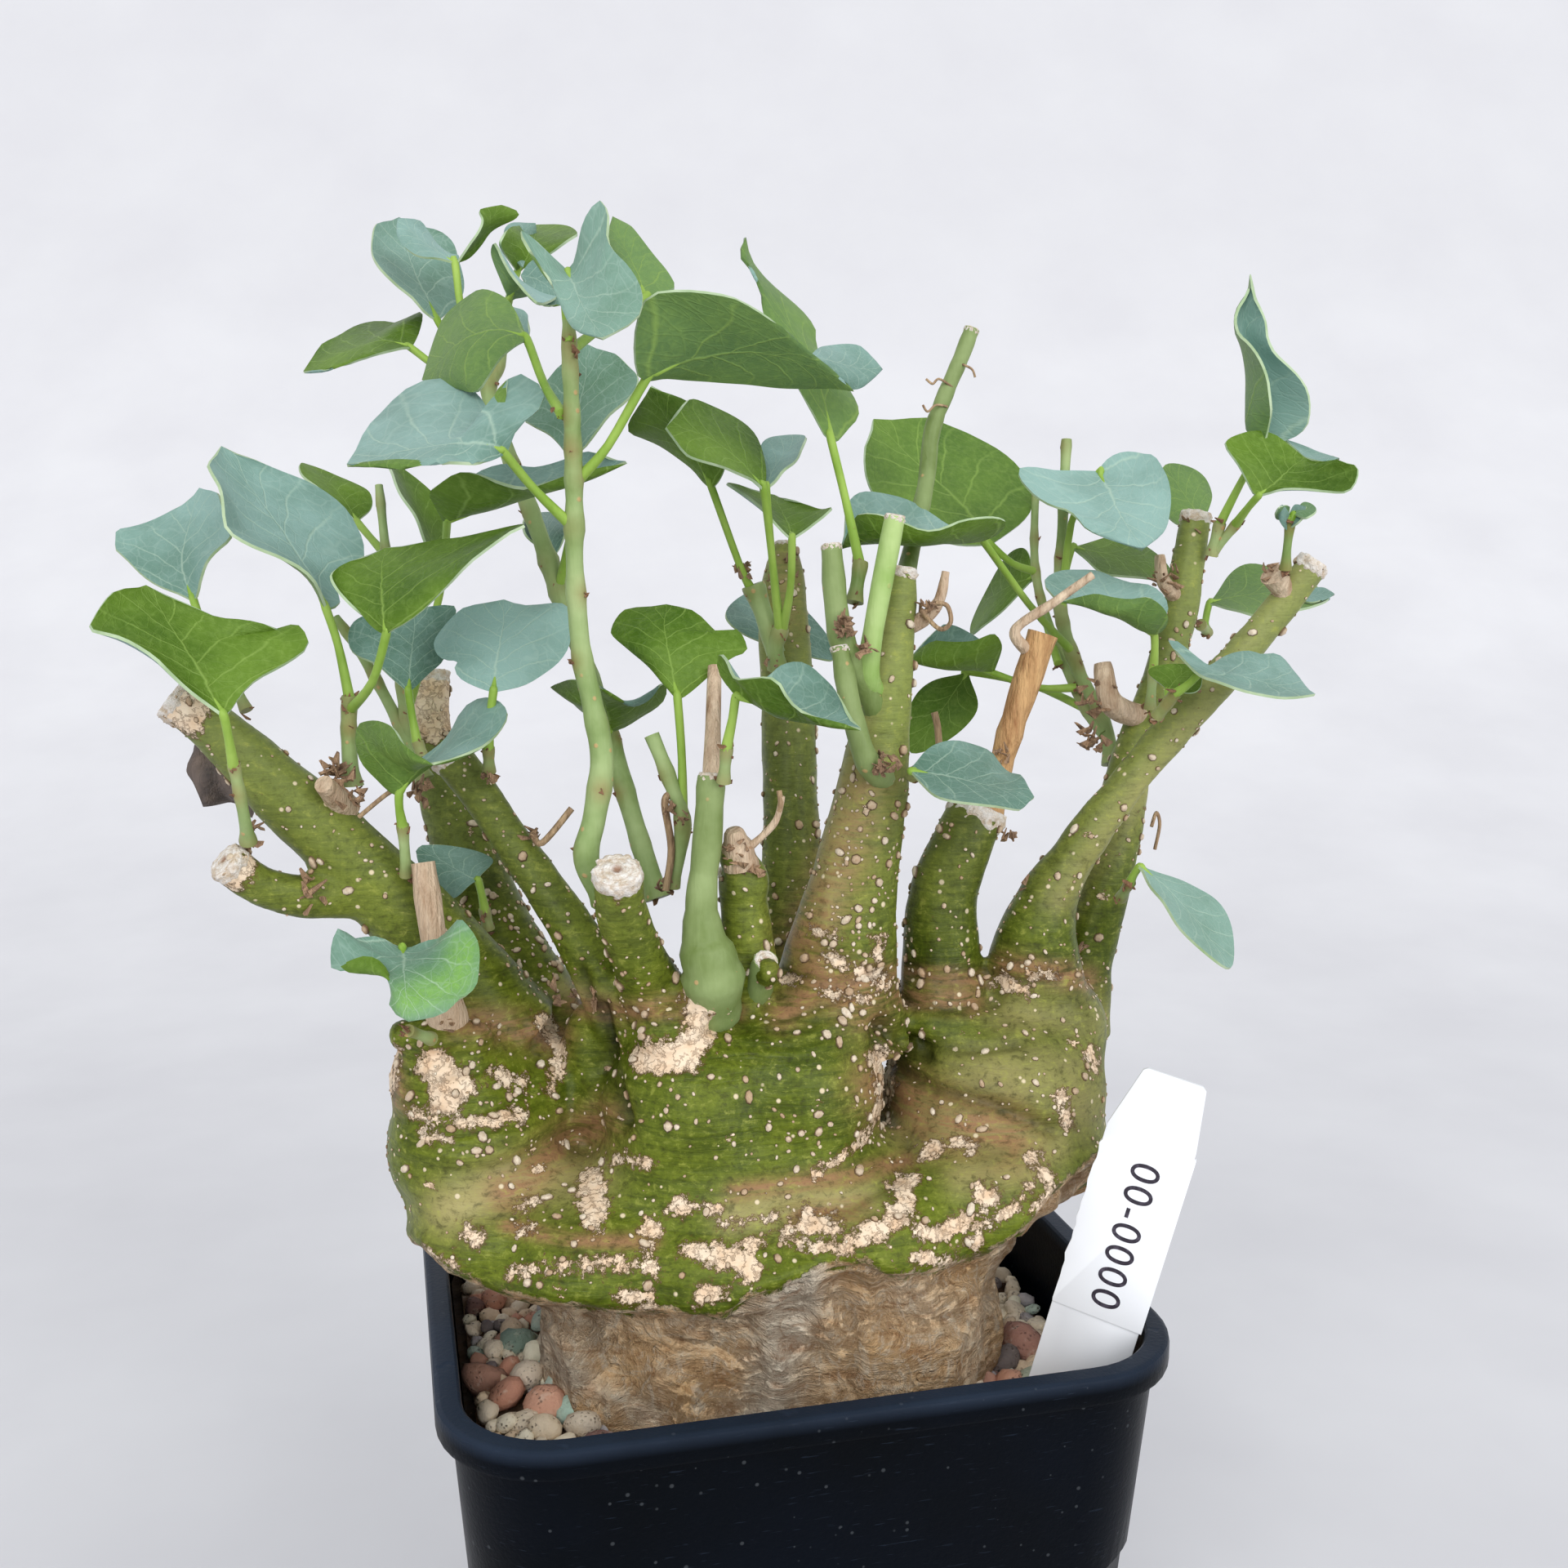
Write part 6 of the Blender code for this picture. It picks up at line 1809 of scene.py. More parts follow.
# Corky scars on the caudex: a line of pixels and its half width in millimetres.
SCARS: tuple[tuple[Line, float], ...] = (
    (((722, 1448), (728, 1488)), 2.0), (((630, 1562), (700, 1546), (760, 1546), (805, 1556)), 0.75),
    (((798, 1504), (800, 1508)), 1.6), (((794, 1518), (796, 1545)), 0.5),
    (((848, 1530), (885, 1528)), 1.0), (((880, 1538), (908, 1536), (915, 1555)), 1.9),
    (((826, 1478), (838, 1480)), 1.1), (((752, 1420), (796, 1424)), 0.8),
    (((570, 1508), (584, 1516)), 1.0), (((640, 1478), (660, 1470)), 0.7),
    (((965, 1503), (1022, 1500)), 1.2), (((990, 1486), (996, 1500)), 0.9),
    (((1100, 1448), (1112, 1470), (1088, 1500), (1040, 1526)), 1.5), (((1134, 1412), (1148, 1404)), 0.9),
    (((1078, 1292), (1084, 1330)), 1.5), (((1200, 1462), (1216, 1468)), 1.4),
    (((1150, 1512), (1178, 1496)), 1.3), (((1128, 1508), (1136, 1512)), 1.0),
    (((1200, 1500), (1196, 1530)), 0.9), (((1126, 1540), (1160, 1546)), 1.0),
    (((1266, 1416), (1286, 1452), (1270, 1485)), 0.9), (((560, 1330), (535, 1305), (548, 1345)), 2.6),
    (((508, 1362), (548, 1376), (600, 1374), (640, 1362)), 0.8), (((520, 1390), (545, 1396)), 0.5),
    (((664, 1248), (684, 1286), (676, 1330)), 1.1), (((608, 1318), (640, 1326)), 0.9),
    (((482, 1290), (476, 1330)), 0.9), (((796, 1296), (840, 1290), (858, 1262), (858, 1222)), 2.5),
    (((1010, 1215), (1060, 1222)), 0.5), (((1222, 1200), (1256, 1212)), 0.8),
    (((1260, 1190), (1290, 1196)), 0.6), (((528, 826), (528, 880)), 3.6), (((205, 848), (228, 872)), 3.4),
    (((262, 1046), (288, 1062)), 3.2), (((752, 1052), (758, 1080)), 2.2),
    (((852, 1478), (880, 1482)), 0.5), (((760, 1588), (800, 1598)), 0.9),
    (((860, 1586), (880, 1584)), 1.4), (((650, 1500), (636, 1510)), 0.6),
    (((1172, 1398), (1186, 1404)), 0.8), (((1300, 1340), (1308, 1372)), 0.7),
    (((1334, 1286), (1340, 1306)), 0.6), (((1016, 1170), (1040, 1186), (1070, 1196)), 0.8),
    (((1074, 1150), (1080, 1206)), 0.7), (((1000, 1140), (1024, 1150)), 0.6),
    (((960, 1200), (985, 1196)), 0.5), (((620, 1566), (660, 1552), (720, 1556), (800, 1548)), 0.5),
    (((840, 1530), (880, 1536), (930, 1520)), 1.0), (((1060, 1510), (1100, 1480), (1120, 1440)), 0.8),
    (((960, 1520), (1040, 1530), (1100, 1490)), 0.6), (((1180, 1520), (1240, 1480), (1280, 1430)), 0.5),
    (((470, 1500), (500, 1525), (560, 1550)), 0.4), (((1000, 1440), (1050, 1400), (1080, 1350)), 0.5),
    (((880, 1500), (950, 1490)), 0.4))

# Weathered tan bands: a line of pixels and its half width in pixels.
BANDS: tuple[tuple[Line, float], ...] = (
    (((740, 1370), (690, 1400), (620, 1460)), 26.0), (((1060, 960), (1020, 1080), (985, 1150)), 34.0),
    (((1080, 1330), (1150, 1370), (1230, 1390)), 40.0), (((1000, 1190), (1060, 1230)), 34.0),
    (((480, 1300), (490, 1350)), 12.0), (((1230, 1180), (1330, 1200)), 16.0),
    (((1100, 1220), (1190, 1226)), 16.0), (((560, 1250), (640, 1260), (680, 1270)), 22.0),
    (((960, 760), (962, 690)), 26.0), (((1050, 1480), (980, 1490)), 14.0),
    (((800, 1230), (900, 1240)), 14.0), (((960, 1240), (1000, 1210), (1080, 1200)), 22.0),
    (((900, 1460), (1040, 1440), (1110, 1420)), 12.0), (((620, 1500), (700, 1520), (800, 1520)), 10.0),
    (((1090, 1190), (1200, 1200)), 12.0), (((700, 1230), (760, 1240), (850, 1230)), 14.0))

# Waxy pale patches: a line of pixels and its half width in pixels.
WAXY: tuple[tuple[Line, float], ...] = (
    (((1200, 1320), (1300, 1310), (1330, 1360)), 48.0), (((1120, 1372), (1250, 1400)), 40.0),
    (((550, 1480), (620, 1450), (720, 1440)), 34.0), (((900, 1490), (960, 1480), (1060, 1466)), 26.0),
    (((1230, 1240), (1330, 1250)), 34.0), (((1200, 1380), (1290, 1400)), 30.0),
    (((1180, 1440), (1260, 1430)), 26.0), (((690, 1210), (740, 1230)), 14.0),
    (((1590, 700), (1450, 900), (1300, 1100)), 24.0), (((1010, 1120), (1050, 900), (1080, 760)), 16.0))

# Lower edge of the green skin, from left to right in pixels.
SKIRT_EDGE: Line = (
    (440, 1490), (520, 1525), (550, 1555), (610, 1580), (650, 1590), (690, 1597), (760, 1603),
    (850, 1606), (890, 1611), (915, 1588), (950, 1576), (1000, 1556), (1018, 1546), (1059, 1543),
    (1082, 1557), (1109, 1561), (1145, 1554), (1177, 1545), (1204, 1536), (1223, 1523), (1245, 1509),
    (1268, 1486), (1290, 1455), (1340, 1420))

# Grooves pressed into the caudex: a line of pixels, half width in pixels, depth in millimetres and
# how dark their painted shade is; entries without depth only paint shade on darker stretches of trunk.
GROOVES: tuple[tuple[Line, float, float, float], ...] = (
    (((738, 1236), (744, 1290), (752, 1340), (760, 1372)), 11.0, 2.2, 1.0),
    (((1076, 1262), (1086, 1300), (1141, 1334), (1212, 1351), (1290, 1385)), 9.0, 1.5, 0.55),
    (((1085, 1255), (1110, 1275), (1130, 1290)), 12.0, 2.2, 0.8),
    (((1085, 1255), (1124, 1277), (1190, 1284), (1250, 1278)), 6.0, 0.9, 0.45),
    (((1095, 1222), (1160, 1236), (1220, 1228)), 6.0, 0.8, 0.4),
    (((500, 1432), (600, 1438), (684, 1398), (752, 1380)), 15.0, 1.2, 0.12),
    (((950, 1488), (1040, 1474), (1100, 1440), (1110, 1390)), 10.0, 1.0, 0.15),
    (((495, 1395), (560, 1412), (640, 1392)), 5.0, 0.5, 0.3),
    (((492, 1372), (560, 1392), (640, 1376)), 4.0, 0.45, 0.3),
    (((510, 1350), (570, 1366), (650, 1340)), 4.0, 0.4, 0.3),
    (((640, 1250), (660, 1290), (650, 1330)), 4.0, 0.4, 0.3),
    (((505, 1330), (560, 1346), (620, 1330)), 4.0, 0.35, 0.3),
    (((490, 1310), (540, 1322), (610, 1304)), 3.5, 0.4, 0.4),
    (((500, 1352), (560, 1368), (630, 1352)), 3.5, 0.4, 0.4),
    (((880, 1246), (960, 1250), (1040, 1222)), 3.0, 0.4, 0.5),
    (((776, 1236), (800, 1258), (846, 1240)), 3.0, 0.5, 0.6),
    (((1100, 1178), (1150, 1190), (1210, 1180)), 3.0, 0.5, 0.5),
    (((1215, 1150), (1260, 1160), (1300, 1150)), 3.0, 0.4, 0.4),
    (((1205, 1190), (1250, 1200), (1300, 1196)), 5.0, 0.7, 0.4),
    (((1210, 1170), (1250, 1178), (1290, 1172)), 4.0, 0.5, 0.35),
    (((870, 1262), (960, 1264), (1040, 1240)), 5.0, 0.4, 0.3),
    (((880, 1280), (960, 1284), (1050, 1262)), 4.0, 0.3, 0.25),
    (((870, 1296), (960, 1300), (1060, 1280)), 3.5, 0.25, 0.2),
    (((960, 1190), (1020, 1206), (1086, 1190)), 5.0, 0.6, 0.4),
    (((980, 1160), (1030, 1172), (1086, 1160)), 4.0, 0.4, 0.3),
    (((1110, 1190), (1160, 1204), (1210, 1190)), 5.0, 0.6, 0.4),
    (((860, 1180), (880, 1230)), 8.0, 1.4, 0.7), (((712, 1190), (730, 1250)), 9.0, 1.2, 0.8),
    (((920, 1180), (936, 1230)), 6.0, 0.8, 0.5),
    (((900, 1610), (930, 1680), (920, 1740)), 12.0, 0.8, 0.1),
    (((1030, 1600), (1050, 1660), (1040, 1700)), 10.0, 0.8, 0.15),
    (((700, 1620), (740, 1680), (800, 1720)), 9.0, 0.7, 0.2),
    (((1080, 1600), (1140, 1620), (1200, 1600)), 8.0, 0.8, 0.2),
    (((640, 1612), (760, 1640), (880, 1650)), 7.0, 0.6, 0.15),
    (((1200, 980), (1180, 1060), (1150, 1160)), 44.0, 0.0, 0.32),
    (((960, 780), (965, 1000)), 30.0, 0.0, 0.25), (((600, 1060), (640, 1180)), 26.0, 0.0, 0.3))

# Where warts crowd: a line of pixels, half width in pixels, extra share.
CROWDS: tuple[tuple[Line, float, float], ...] = (
    (((1060, 1000), (1040, 1120), (1060, 1220)), 42.0, 5.0), (((560, 1300), (620, 1360)), 60.0, 2.5),
    (((1230, 1200), (1300, 1200)), 40.0, 2.0), (((1075, 1300), (1090, 1380)), 26.0, 3.0),
    (((620, 1100), (660, 1180)), 36.0, 2.5), (((760, 1200), (800, 1290)), 30.0, 1.5))

# Dried scales: middle, spread in pixels, count, size in millimetres.
BRACTS: tuple[tuple[Sight, float, int, float], ...] = (
    ((1036, 766, 227), 13.0, 22, 1.7), ((1062, 794, 228), 9.0, 10, 1.4), ((910, 698, 256), 12.0, 12, 1.5),
    ((902, 1044, 229), 15.0, 26, 1.5), ((920, 1062, 230), 12.0, 10, 1.4), ((650, 1022, 238), 9.0, 8, 1.5),
    ((410, 948, 232), 20.0, 22, 2.1), ((430, 975, 232), 16.0, 10, 1.6), ((1346, 850, 262), 24.0, 24, 2.1),
    ((1138, 745, 236), 13.0, 14, 1.4), ((1428, 708, 266), 18.0, 16, 1.6),
    ((1458, 640, 269), 14.0, 8, 1.4), ((1560, 704, 244), 13.0, 12, 1.6),
    ((1236, 1018, 250), 10.0, 8, 1.5), ((1258, 1085, 250), 7.0, 6, 1.5), ((730, 1222, 236), 12.0, 7, 1.5),
    ((1228, 925, 248), 9.0, 9, 1.4), ((600, 950, 236), 9.0, 10, 1.3), ((515, 968, 240), 13.0, 12, 1.8),
    ((1084, 934, 229), 13.0, 20, 1.6), ((1392, 985, 266), 9.0, 6, 1.4), ((380, 1090, 232), 24.0, 16, 2.2),
    ((310, 1020, 228), 12.0, 10, 1.5), ((690, 1215, 243), 14.0, 8, 1.6), ((836, 1000, 231), 6.0, 8, 1.0),
    ((870, 960, 226), 8.0, 10, 1.3), ((815, 1085, 236), 10.0, 8, 1.5), ((820, 990, 231), 8.0, 6, 1.6),
    ((735, 890, 224), 6.0, 6, 0.9), ((1320, 1160, 262), 12.0, 8, 1.5), ((540, 1248, 230), 18.0, 10, 1.7),
    ((960, 700, 268), 20.0, 16, 1.6), ((1040, 860, 229), 7.0, 6, 1.2), ((1338, 905, 258), 18.0, 20, 1.9),
    ((946, 805, 258), 10.0, 8, 1.3), ((1470, 850, 246), 8.0, 5, 1.3))

# Dry tendrils: sight points and a radius in millimetres.
TENDRILS: tuple[tuple[tuple[Sight, ...], float], ...] = (
    (((1128, 748, 234), (1150, 770, 232), (1164, 762, 231), (1160, 742, 231), (1146, 738, 231)), 0.35),
    (((1160, 498, 263), (1146, 496, 262), (1136, 504, 261), (1130, 496, 261)), 0.2),
    (((1166, 474, 263), (1150, 464, 262), (1142, 470, 261), (1134, 464, 261)), 0.2),
    (((1178, 446, 263), (1190, 452, 262), (1194, 462, 262)), 0.2),
    (((1414, 1040, 266), (1420, 1010, 265), (1416, 995, 265), (1410, 1012, 264)), 0.3),
    (((1150, 915, 262), (1148, 890, 262), (1144, 872, 262)), 0.6),
    (((952, 1000, 229), (956, 985, 228), (954, 968, 228)), 0.4),
    (((815, 1090, 234), (822, 1040, 233), (814, 985, 232), (820, 972, 232)), 0.55),
    (((440, 1000, 231), (470, 975, 229), (486, 965, 228)), 0.35),
    (((652, 1020, 237), (664, 1032, 236), (700, 990, 236)), 0.5),
)


@dataclass(frozen=True)
class CaudexSizes:
    """Sizes of the caudex's mesh and its detail."""

    flow_grid: float = 1.5 * MM
    flow_rounds: int = 9
    skin_grid: float = 0.86 * MM
    skin_rounds: int = 3
    bark_heights_mm: tuple[float, float, float, float] = (100.5, 113.0, 107.0, 108.5)
    axis: float = -1.5 * MM
    middle: tuple[float, float] = (244 * MM, 258 * MM)
    lip: float = 1.9 * MM
    lip_width_mm: float = 2.2
    roll: float = 0.7 * MM
    roughness: float = 0.8 * MM
    no_cork: float = -4.0
    scar_edge_mm: float = 0.2
    seen_from: float = -0.15
    foot_light: float = 0.7
    young_mm: tuple[float, float] = (150.0, 45.0)
    warts: int = 3900
    wart_least: float = 0.22
    wart_spread: float = 0.62
    cut_top: float = 0.45
    cut_foot: float = -0.9
    pith: float = 0.22
    seed: int = 7
    bract_seed: int = 31


class Caudex:
    """Swollen base with its trunks, bark, scars, warts, stubs and cut ends."""

    # Painted highlight down the bulge of the bark, and a paler strip along the left foot: a line of pixels
    # and its half width in pixels.
    BARK_HIGHLIGHT: tuple[Line, float] = (((985, 1560), (955, 1660), (930, 1750)), 34.0)
    PALE_FOOT: tuple[Line, float] = (((640, 1630), (700, 1690), (800, 1735)), 20.0)
    DEAD_LEAF: dict[tuple[float, float], Sight] = {
        (-0.5, 0.0): (300, 958, 236), (0.5, 0.0): (310, 1000, 238), (-0.5, 0.5): (248, 905, 239),
        (0.5, 0.5): (290, 985, 243), (-0.5, 1.0): (236, 930, 243), (0.5, 1.0): (248, 982, 240),
        (0.0, 0.75): (252, 950, 235)}

    def __init__(self, sizes: CaudexSizes) -> None:
        """Keep the sizes."""
        self.sizes = sizes
        self.rng = random.Random(sizes.seed)

    @staticmethod
    def lump(centre: Sight, half_mm: Triple) -> bpy.types.Mesh:
        """Squashed ball turned to face the station.

        Args:
            centre: Sight point of its middle.
            half_mm: Half sizes across, deep and high.
        Returns:
            The mesh.
        """
        shape = bmesh.new()
        bmesh.ops.create_icosphere(shape, subdivisions=3, radius=1.0)
        sizes = Matrix.Diagonal((*(Vector(half_mm) * MM), 1.0))
        turn = Matrix.Rotation(-STATION.yaw, 4, "Z")
        bmesh.ops.transform(shape, matrix=Matrix.Translation(STATION.sight(*centre)) @ turn @ sizes,
                            verts=shape.verts)
        return mesh_of(shape, "lump")

    @staticmethod
    def flow(thing: bpy.types.Object, grid: float, rounds: int) -> bpy.types.Mesh:
        """Join overlapping closed meshes into one smooth skin.

        Args:
            thing: Object of all the meshes, which is dropped.
            grid: Size of the grid.
            rounds: Rounds of smoothing.
        Returns:
            The skin.
        """
        remesh = thing.modifiers.new("flow", "REMESH")
        remesh.mode = "VOXEL"
        remesh.voxel_size = grid
        soften = thing.modifiers.new("soften", "SMOOTH")
        soften.factor = 0.5
        soften.iterations = rounds
        return bake(thing)

    def skin(self) -> bpy.types.Mesh:
        """The whole skin: lumps and trunks flowed together.

        Returns:
            The skin.
        """
        s = self.sizes
        lumps = merge("lumps", [self.lump(*entry) for entry in LUMPS + NECK + ROOT_LUMPS], [])
        parts = [self.flow(lumps, s.flow_grid, s.flow_rounds)]
        parts += [self.lump(*entry) for entry in BOSSES]
        parts += [tube("trunk", STATION.route(trunk), 5, 20) for trunk in TRUNKS]
        return self.flow(merge("skin", parts, []), s.skin_grid, s.skin_rounds)

    def sculpt(self, mesh: bpy.types.Mesh) -> None:
        """Press grooves in, store their painted shade and roughen the skin.

        Args:
            mesh: The skin.
        """
        s = self.sizes
        points, normals = points_of(mesh), normals_of(mesh)
        x, y = STATION.pixels(points)
        front = np.clip(self.facing(points, normals) * 2.0, 0.0, 1.0)
        push, shade = np.zeros(len(points)), np.zeros(len(points))
        for line, half, depth, dark in GROOVES:
            share = nearness(x, y, line, half) * front
            push -= share * depth * MM
            shade = np.maximum(shade, dark * share)
        # The shade mark is painted shade in the grooves and on darker stretches of trunk.
        set_mark(mesh, "shade", shade)
        below = self.below_edge(points)
        step = np.clip(below / s.lip_width_mm, 0.0, 1.0)
        push -= s.lip * step * step * (3 - 2 * step) * np.clip(1.6 - below / 14.0, 0.0, 1.0)
        push += s.roll * np.exp(-((below + 1.2) / 1.3) ** 2)
        for number, point in enumerate(points):
            push[number] += self.swell(Vector(point), below[number]) * s.roughness
        points += normals * push[:, None]
        mesh.vertices.foreach_set("co", points.astype(np.float32).ravel())
        mesh.update()

    @staticmethod
    def swell(where: Vector, below_mm: float) -> float:
        """Swelling of the skin at a point, with folds and fibres in the bark.

        Args:
            where: The point.
            below_mm: How far it lies below the green skin's edge.
        Returns:
            The swelling, before it is scaled.
        """
        swell = noise.noise(where * 95.0) * 0.5 + noise.noise(where * 260.0) * 0.22
        if below_mm > 0.0:
            drawn = Vector((where.x, where.y, where.z * 0.5))
            swell += (0.8 - 3.2 * abs(noise.noise(drawn * 150.0))) * min(below_mm / 3.0, 1.0)
            swell += noise.noise(drawn * 420.0) * 0.45
        return swell

    @staticmethod
    def facing(points: np.ndarray, normals: np.ndarray) -> np.ndarray:
        """How much each point faces the station.

        Args:
            points: One point a row.
            normals: Their normals.
        Returns:
            Shares from -1 to 1.
        """
        towards = np.array(STATION.place) - points
        towards /= np.linalg.norm(towards, axis=1)[:, None]
        return np.einsum("ij,ij->i", towards, normals)

    def mark(self, mesh: bpy.types.Mesh) -> None:
        """Store where bark, cork, tan bands, waxy patches, young skin and the bark's painted highlight are.

        Args:
            mesh: The sculpted skin.
        """
        s = self.sizes
        points, normals = points_of(mesh), normals_of(mesh)
        x, y = STATION.pixels(points)
        seen = self.facing(points, normals) > s.seen_from

        def strongest(lines: Iterable[tuple[Line, float]]) -> np.ndarray:
            """Greatest nearness to any of the lines, where the station sees the skin."""
            return np.max([nearness(x, y, line, half_px) for line, half_px in lines], axis=0) * seen

        # light: painted highlight down the bark's bulge, with the paler strip of the left foot.
        light = np.maximum(strongest([self.BARK_HIGHLIGHT]), s.foot_light * strongest([self.PALE_FOOT]))
        set_mark(mesh, "light", light)
        cork = np.full(len(points), s.no_cork)
        for line, half_mm in SCARS:
            near = half_mm + s.scar_edge_mm - line_distance(x, y, line) / STATION.px_per_mm
            cork = np.maximum(cork, np.where(seen, near, s.no_cork))
        set_mark(mesh, "cork", cork)
        set_mark(mesh, "tan", strongest(BANDS))
        set_mark(mesh, "wax", strongest(WAXY))
        start, length = s.young_mm
        set_mark(mesh, "bark", self.below_edge(points))
        set_mark(mesh, "young", np.clip((points[:, 2] / MM - start) / length, 0.0, 1.0))

    def below_edge(self, points: np.ndarray) -> np.ndarray:
        """How far each point lies below the green skin's lower edge.

        Args:
            points: One point a row.
        Returns:
            Distances in millimetres, negative above the edge.
        """
        s = self.sizes
        x, y = STATION.pixels(points)
        seen = (y - np.interp(x, *zip(*SKIRT_EDGE))) / STATION.px_per_mm
        turn = (np.arctan2(points[:, 1], points[:, 0] - s.axis) + math.pi / 2) % math.tau
        quarters = np.array((0, 0.5, 1.0, 1.5, 2.0)) * math.pi
        edge = np.interp(turn, quarters, (*s.bark_heights_mm, s.bark_heights_mm[0]))
        unseen = edge - points[:, 2] / MM
        depth = (points - np.array(STATION.place)) @ np.array(STATION.axes()[2])
        behind = np.clip((depth - s.middle[0]) / (s.middle[1] - s.middle[0]), 0.0, 1.0)
        return seen * (1 - behind) + unseen * behind

    def warts(self, mesh: bpy.types.Mesh) -> bpy.types.Object:
        """Scatter raised pores over the green skin.

        Args:
            mesh: The marked skin.
        Returns:
            One object of all the warts.
        """
        s = self.sizes
        points, normals = points_of(mesh), normals_of(mesh)
        areas = np.array([polygon.area for polygon in mesh.polygons])
        firsts = np.array([polygon.vertices[0] for polygon in mesh.polygons])
        bark = np.empty(len(points), dtype=np.float32)
        mesh.attributes["bark"].data.foreach_get("value", bark)
        x, y = STATION.pixels(points)
        crowd = np.ones(len(points))
        for line, half_px, boost in CROWDS:
            crowd += boost * nearness(x, y, line, half_px)
        weight = areas * crowd[firsts] * (bark[firsts] < -2.0)
        picks = np.random.default_rng(s.seed).choice(len(areas), s.warts, p=weight / weight.sum())
        meshes = [self.wart(Vector(points[firsts[pick]]), Vector(normals[firsts[pick]])) for pick in picks]
        return merge("caudex_warts", meshes, [Wart("wart")], 80.0)

    def wart(self, at: Vector, normal: Vector) -> bpy.types.Mesh:
        """One raised pore.

        Args:
            at: Its place on the skin.
            normal: The skin's normal.
        Returns:
            The mesh.
        """
        rng, s = self.rng, self.sizes
        size = (s.wart_least + s.wart_spread * rng.random() ** 3.6) * MM
        shape = bmesh.new()
        bmesh.ops.create_uvsphere(shape, u_segments=7, v_segments=4, radius=1.0)
        wide = rng.uniform(0.8, 1.5)
        squash = Matrix.Diagonal((size * wide, size / math.sqrt(wide), size * rng.uniform(0.6, 0.95), 1.0))
        spin = Matrix.Rotation(rng.uniform(0, math.tau), 4, "Z")
        lean = normal.to_track_quat("Z", "Y").to_matrix().to_4x4()
        for vert in shape.verts:
            vert.co *= 1.0 + 0.22 * noise.noise(vert.co * 2.3 + at * 900.0)
        heights = [vert.co.z for vert in shape.verts]
        bmesh.ops.transform(shape, matrix=Matrix.Translation(at) @ lean @ spin @ squash, verts=shape.verts)
        mesh = mesh_of(shape, "wart")
        set_mark(mesh, "lift", heights)
        warm = rng.random()
        pale, tan = tone(232, 220, 198), tone(186, 158, 126)
        set_tone(mesh, tuple((1 - warm) * a + warm * b for a, b in zip(pale, tan)))
        return mesh

    def cut_end(self, path: Stations, back: float, share: float) -> bpy.types.Mesh:
        """Crumbly callus on a cut trunk or stub.

        Args:
            path: The trunk's points with their radii.
            back: How far the callus sits back from the end.
            share: Its radius as a share of the trunk's.
        Returns:
            The mesh.
        """
        s = self.sizes
        (before, _), (end, radius) = path[-2:]
        way = (end - before).normalized()
        at, radius = end - way * back, radius * share
        shape = bmesh.new()
        bmesh.ops.create_icosphere(shape, subdivisions=4, radius=1.0)
        radial = []
        for vert in shape.verts:
            out = math.hypot(vert.co.x, vert.co.y)
            radial.append(out)
            vert.co.z = max(min(vert.co.z, s.cut_top), s.cut_foot) + 0.10 * (1 - out)
            crumbs = noise.noise(vert.co * 3.1 + at * 700.0) * 0.13
            crumbs += noise.noise(vert.co * 8.0 + at * 300.0) * 0.07
            vert.co *= 1.0 + crumbs
            if out < s.pith and vert.co.z > 0.0:
                vert.co.z -= s.pith - out
        size = Matrix.Diagonal((radius * 1.04, radius * 1.04, radius * 0.8, 1.0))
        lean = way.to_track_quat("Z", "Y").to_matrix().to_4x4()
        bmesh.ops.transform(shape, matrix=Matrix.Translation(at) @ lean @ size, verts=shape.verts)
        paint_faces(shape, Skin.CUT.value)
        mesh = mesh_of(shape, "cut_end")
        set_mark(mesh, "radial", radial)
        return mesh

    def stubs(self) -> bpy.types.Object:
        """Thin stubs, dry sticks, twigs and the cut ends of trunks and stubs.

        Returns:
            One object of them all.
        """
        meshes = []
        for stub in STUBS:
            path = STATION.route(stub.stations)
            meshes.append(tube("stub", self.gnarl(path), 3, 14, stub.skin.value))
            if stub.skin in (Skin.GREEN, Skin.BRIGHT) and stub.stations[-1][3] > 1.2:
                meshes.append(self.cut_end(path, 0.3 * MM, 0.96))
        meshes += [self.cut_end(STATION.route(trunk), 0.8 * MM, 0.98) for trunk in TRUNKS]
        finishes = [GreenStem("stub_green", deep=tone(98, 118, 52), pale=tone(150, 168, 112), pores=0.8),
                    DryWood("stub_dry", dark=tone(150, 116, 86), light=tone(226, 204, 176)),
                    DryWood("stub_tan", dark=tone(134, 82, 38), light=tone(222, 180, 126)),
                    GreenStem("stub_bright", deep=tone(132, 168, 76), pale=tone(186, 208, 140), pores=0.2),
                    CutWood("cut_wood")]
        return merge("caudex_stubs", meshes, finishes, 60.0)

    @staticmethod
    def gnarl(path: Stations) -> Stations:
        """Swell a path here and there.

        Args:
            path: Points with their radii.
        Returns:
            More points, with uneven radii.
        """
        swollen = []
        for number, (point, radius) in enumerate(zip(*smooth_path(path, 4))):
            swell = 1.0 + 0.10 * noise.noise(point * 320.0) + 0.05 * math.sin(number * 2.1)
            swollen.append((point, radius * swell))
        return swollen

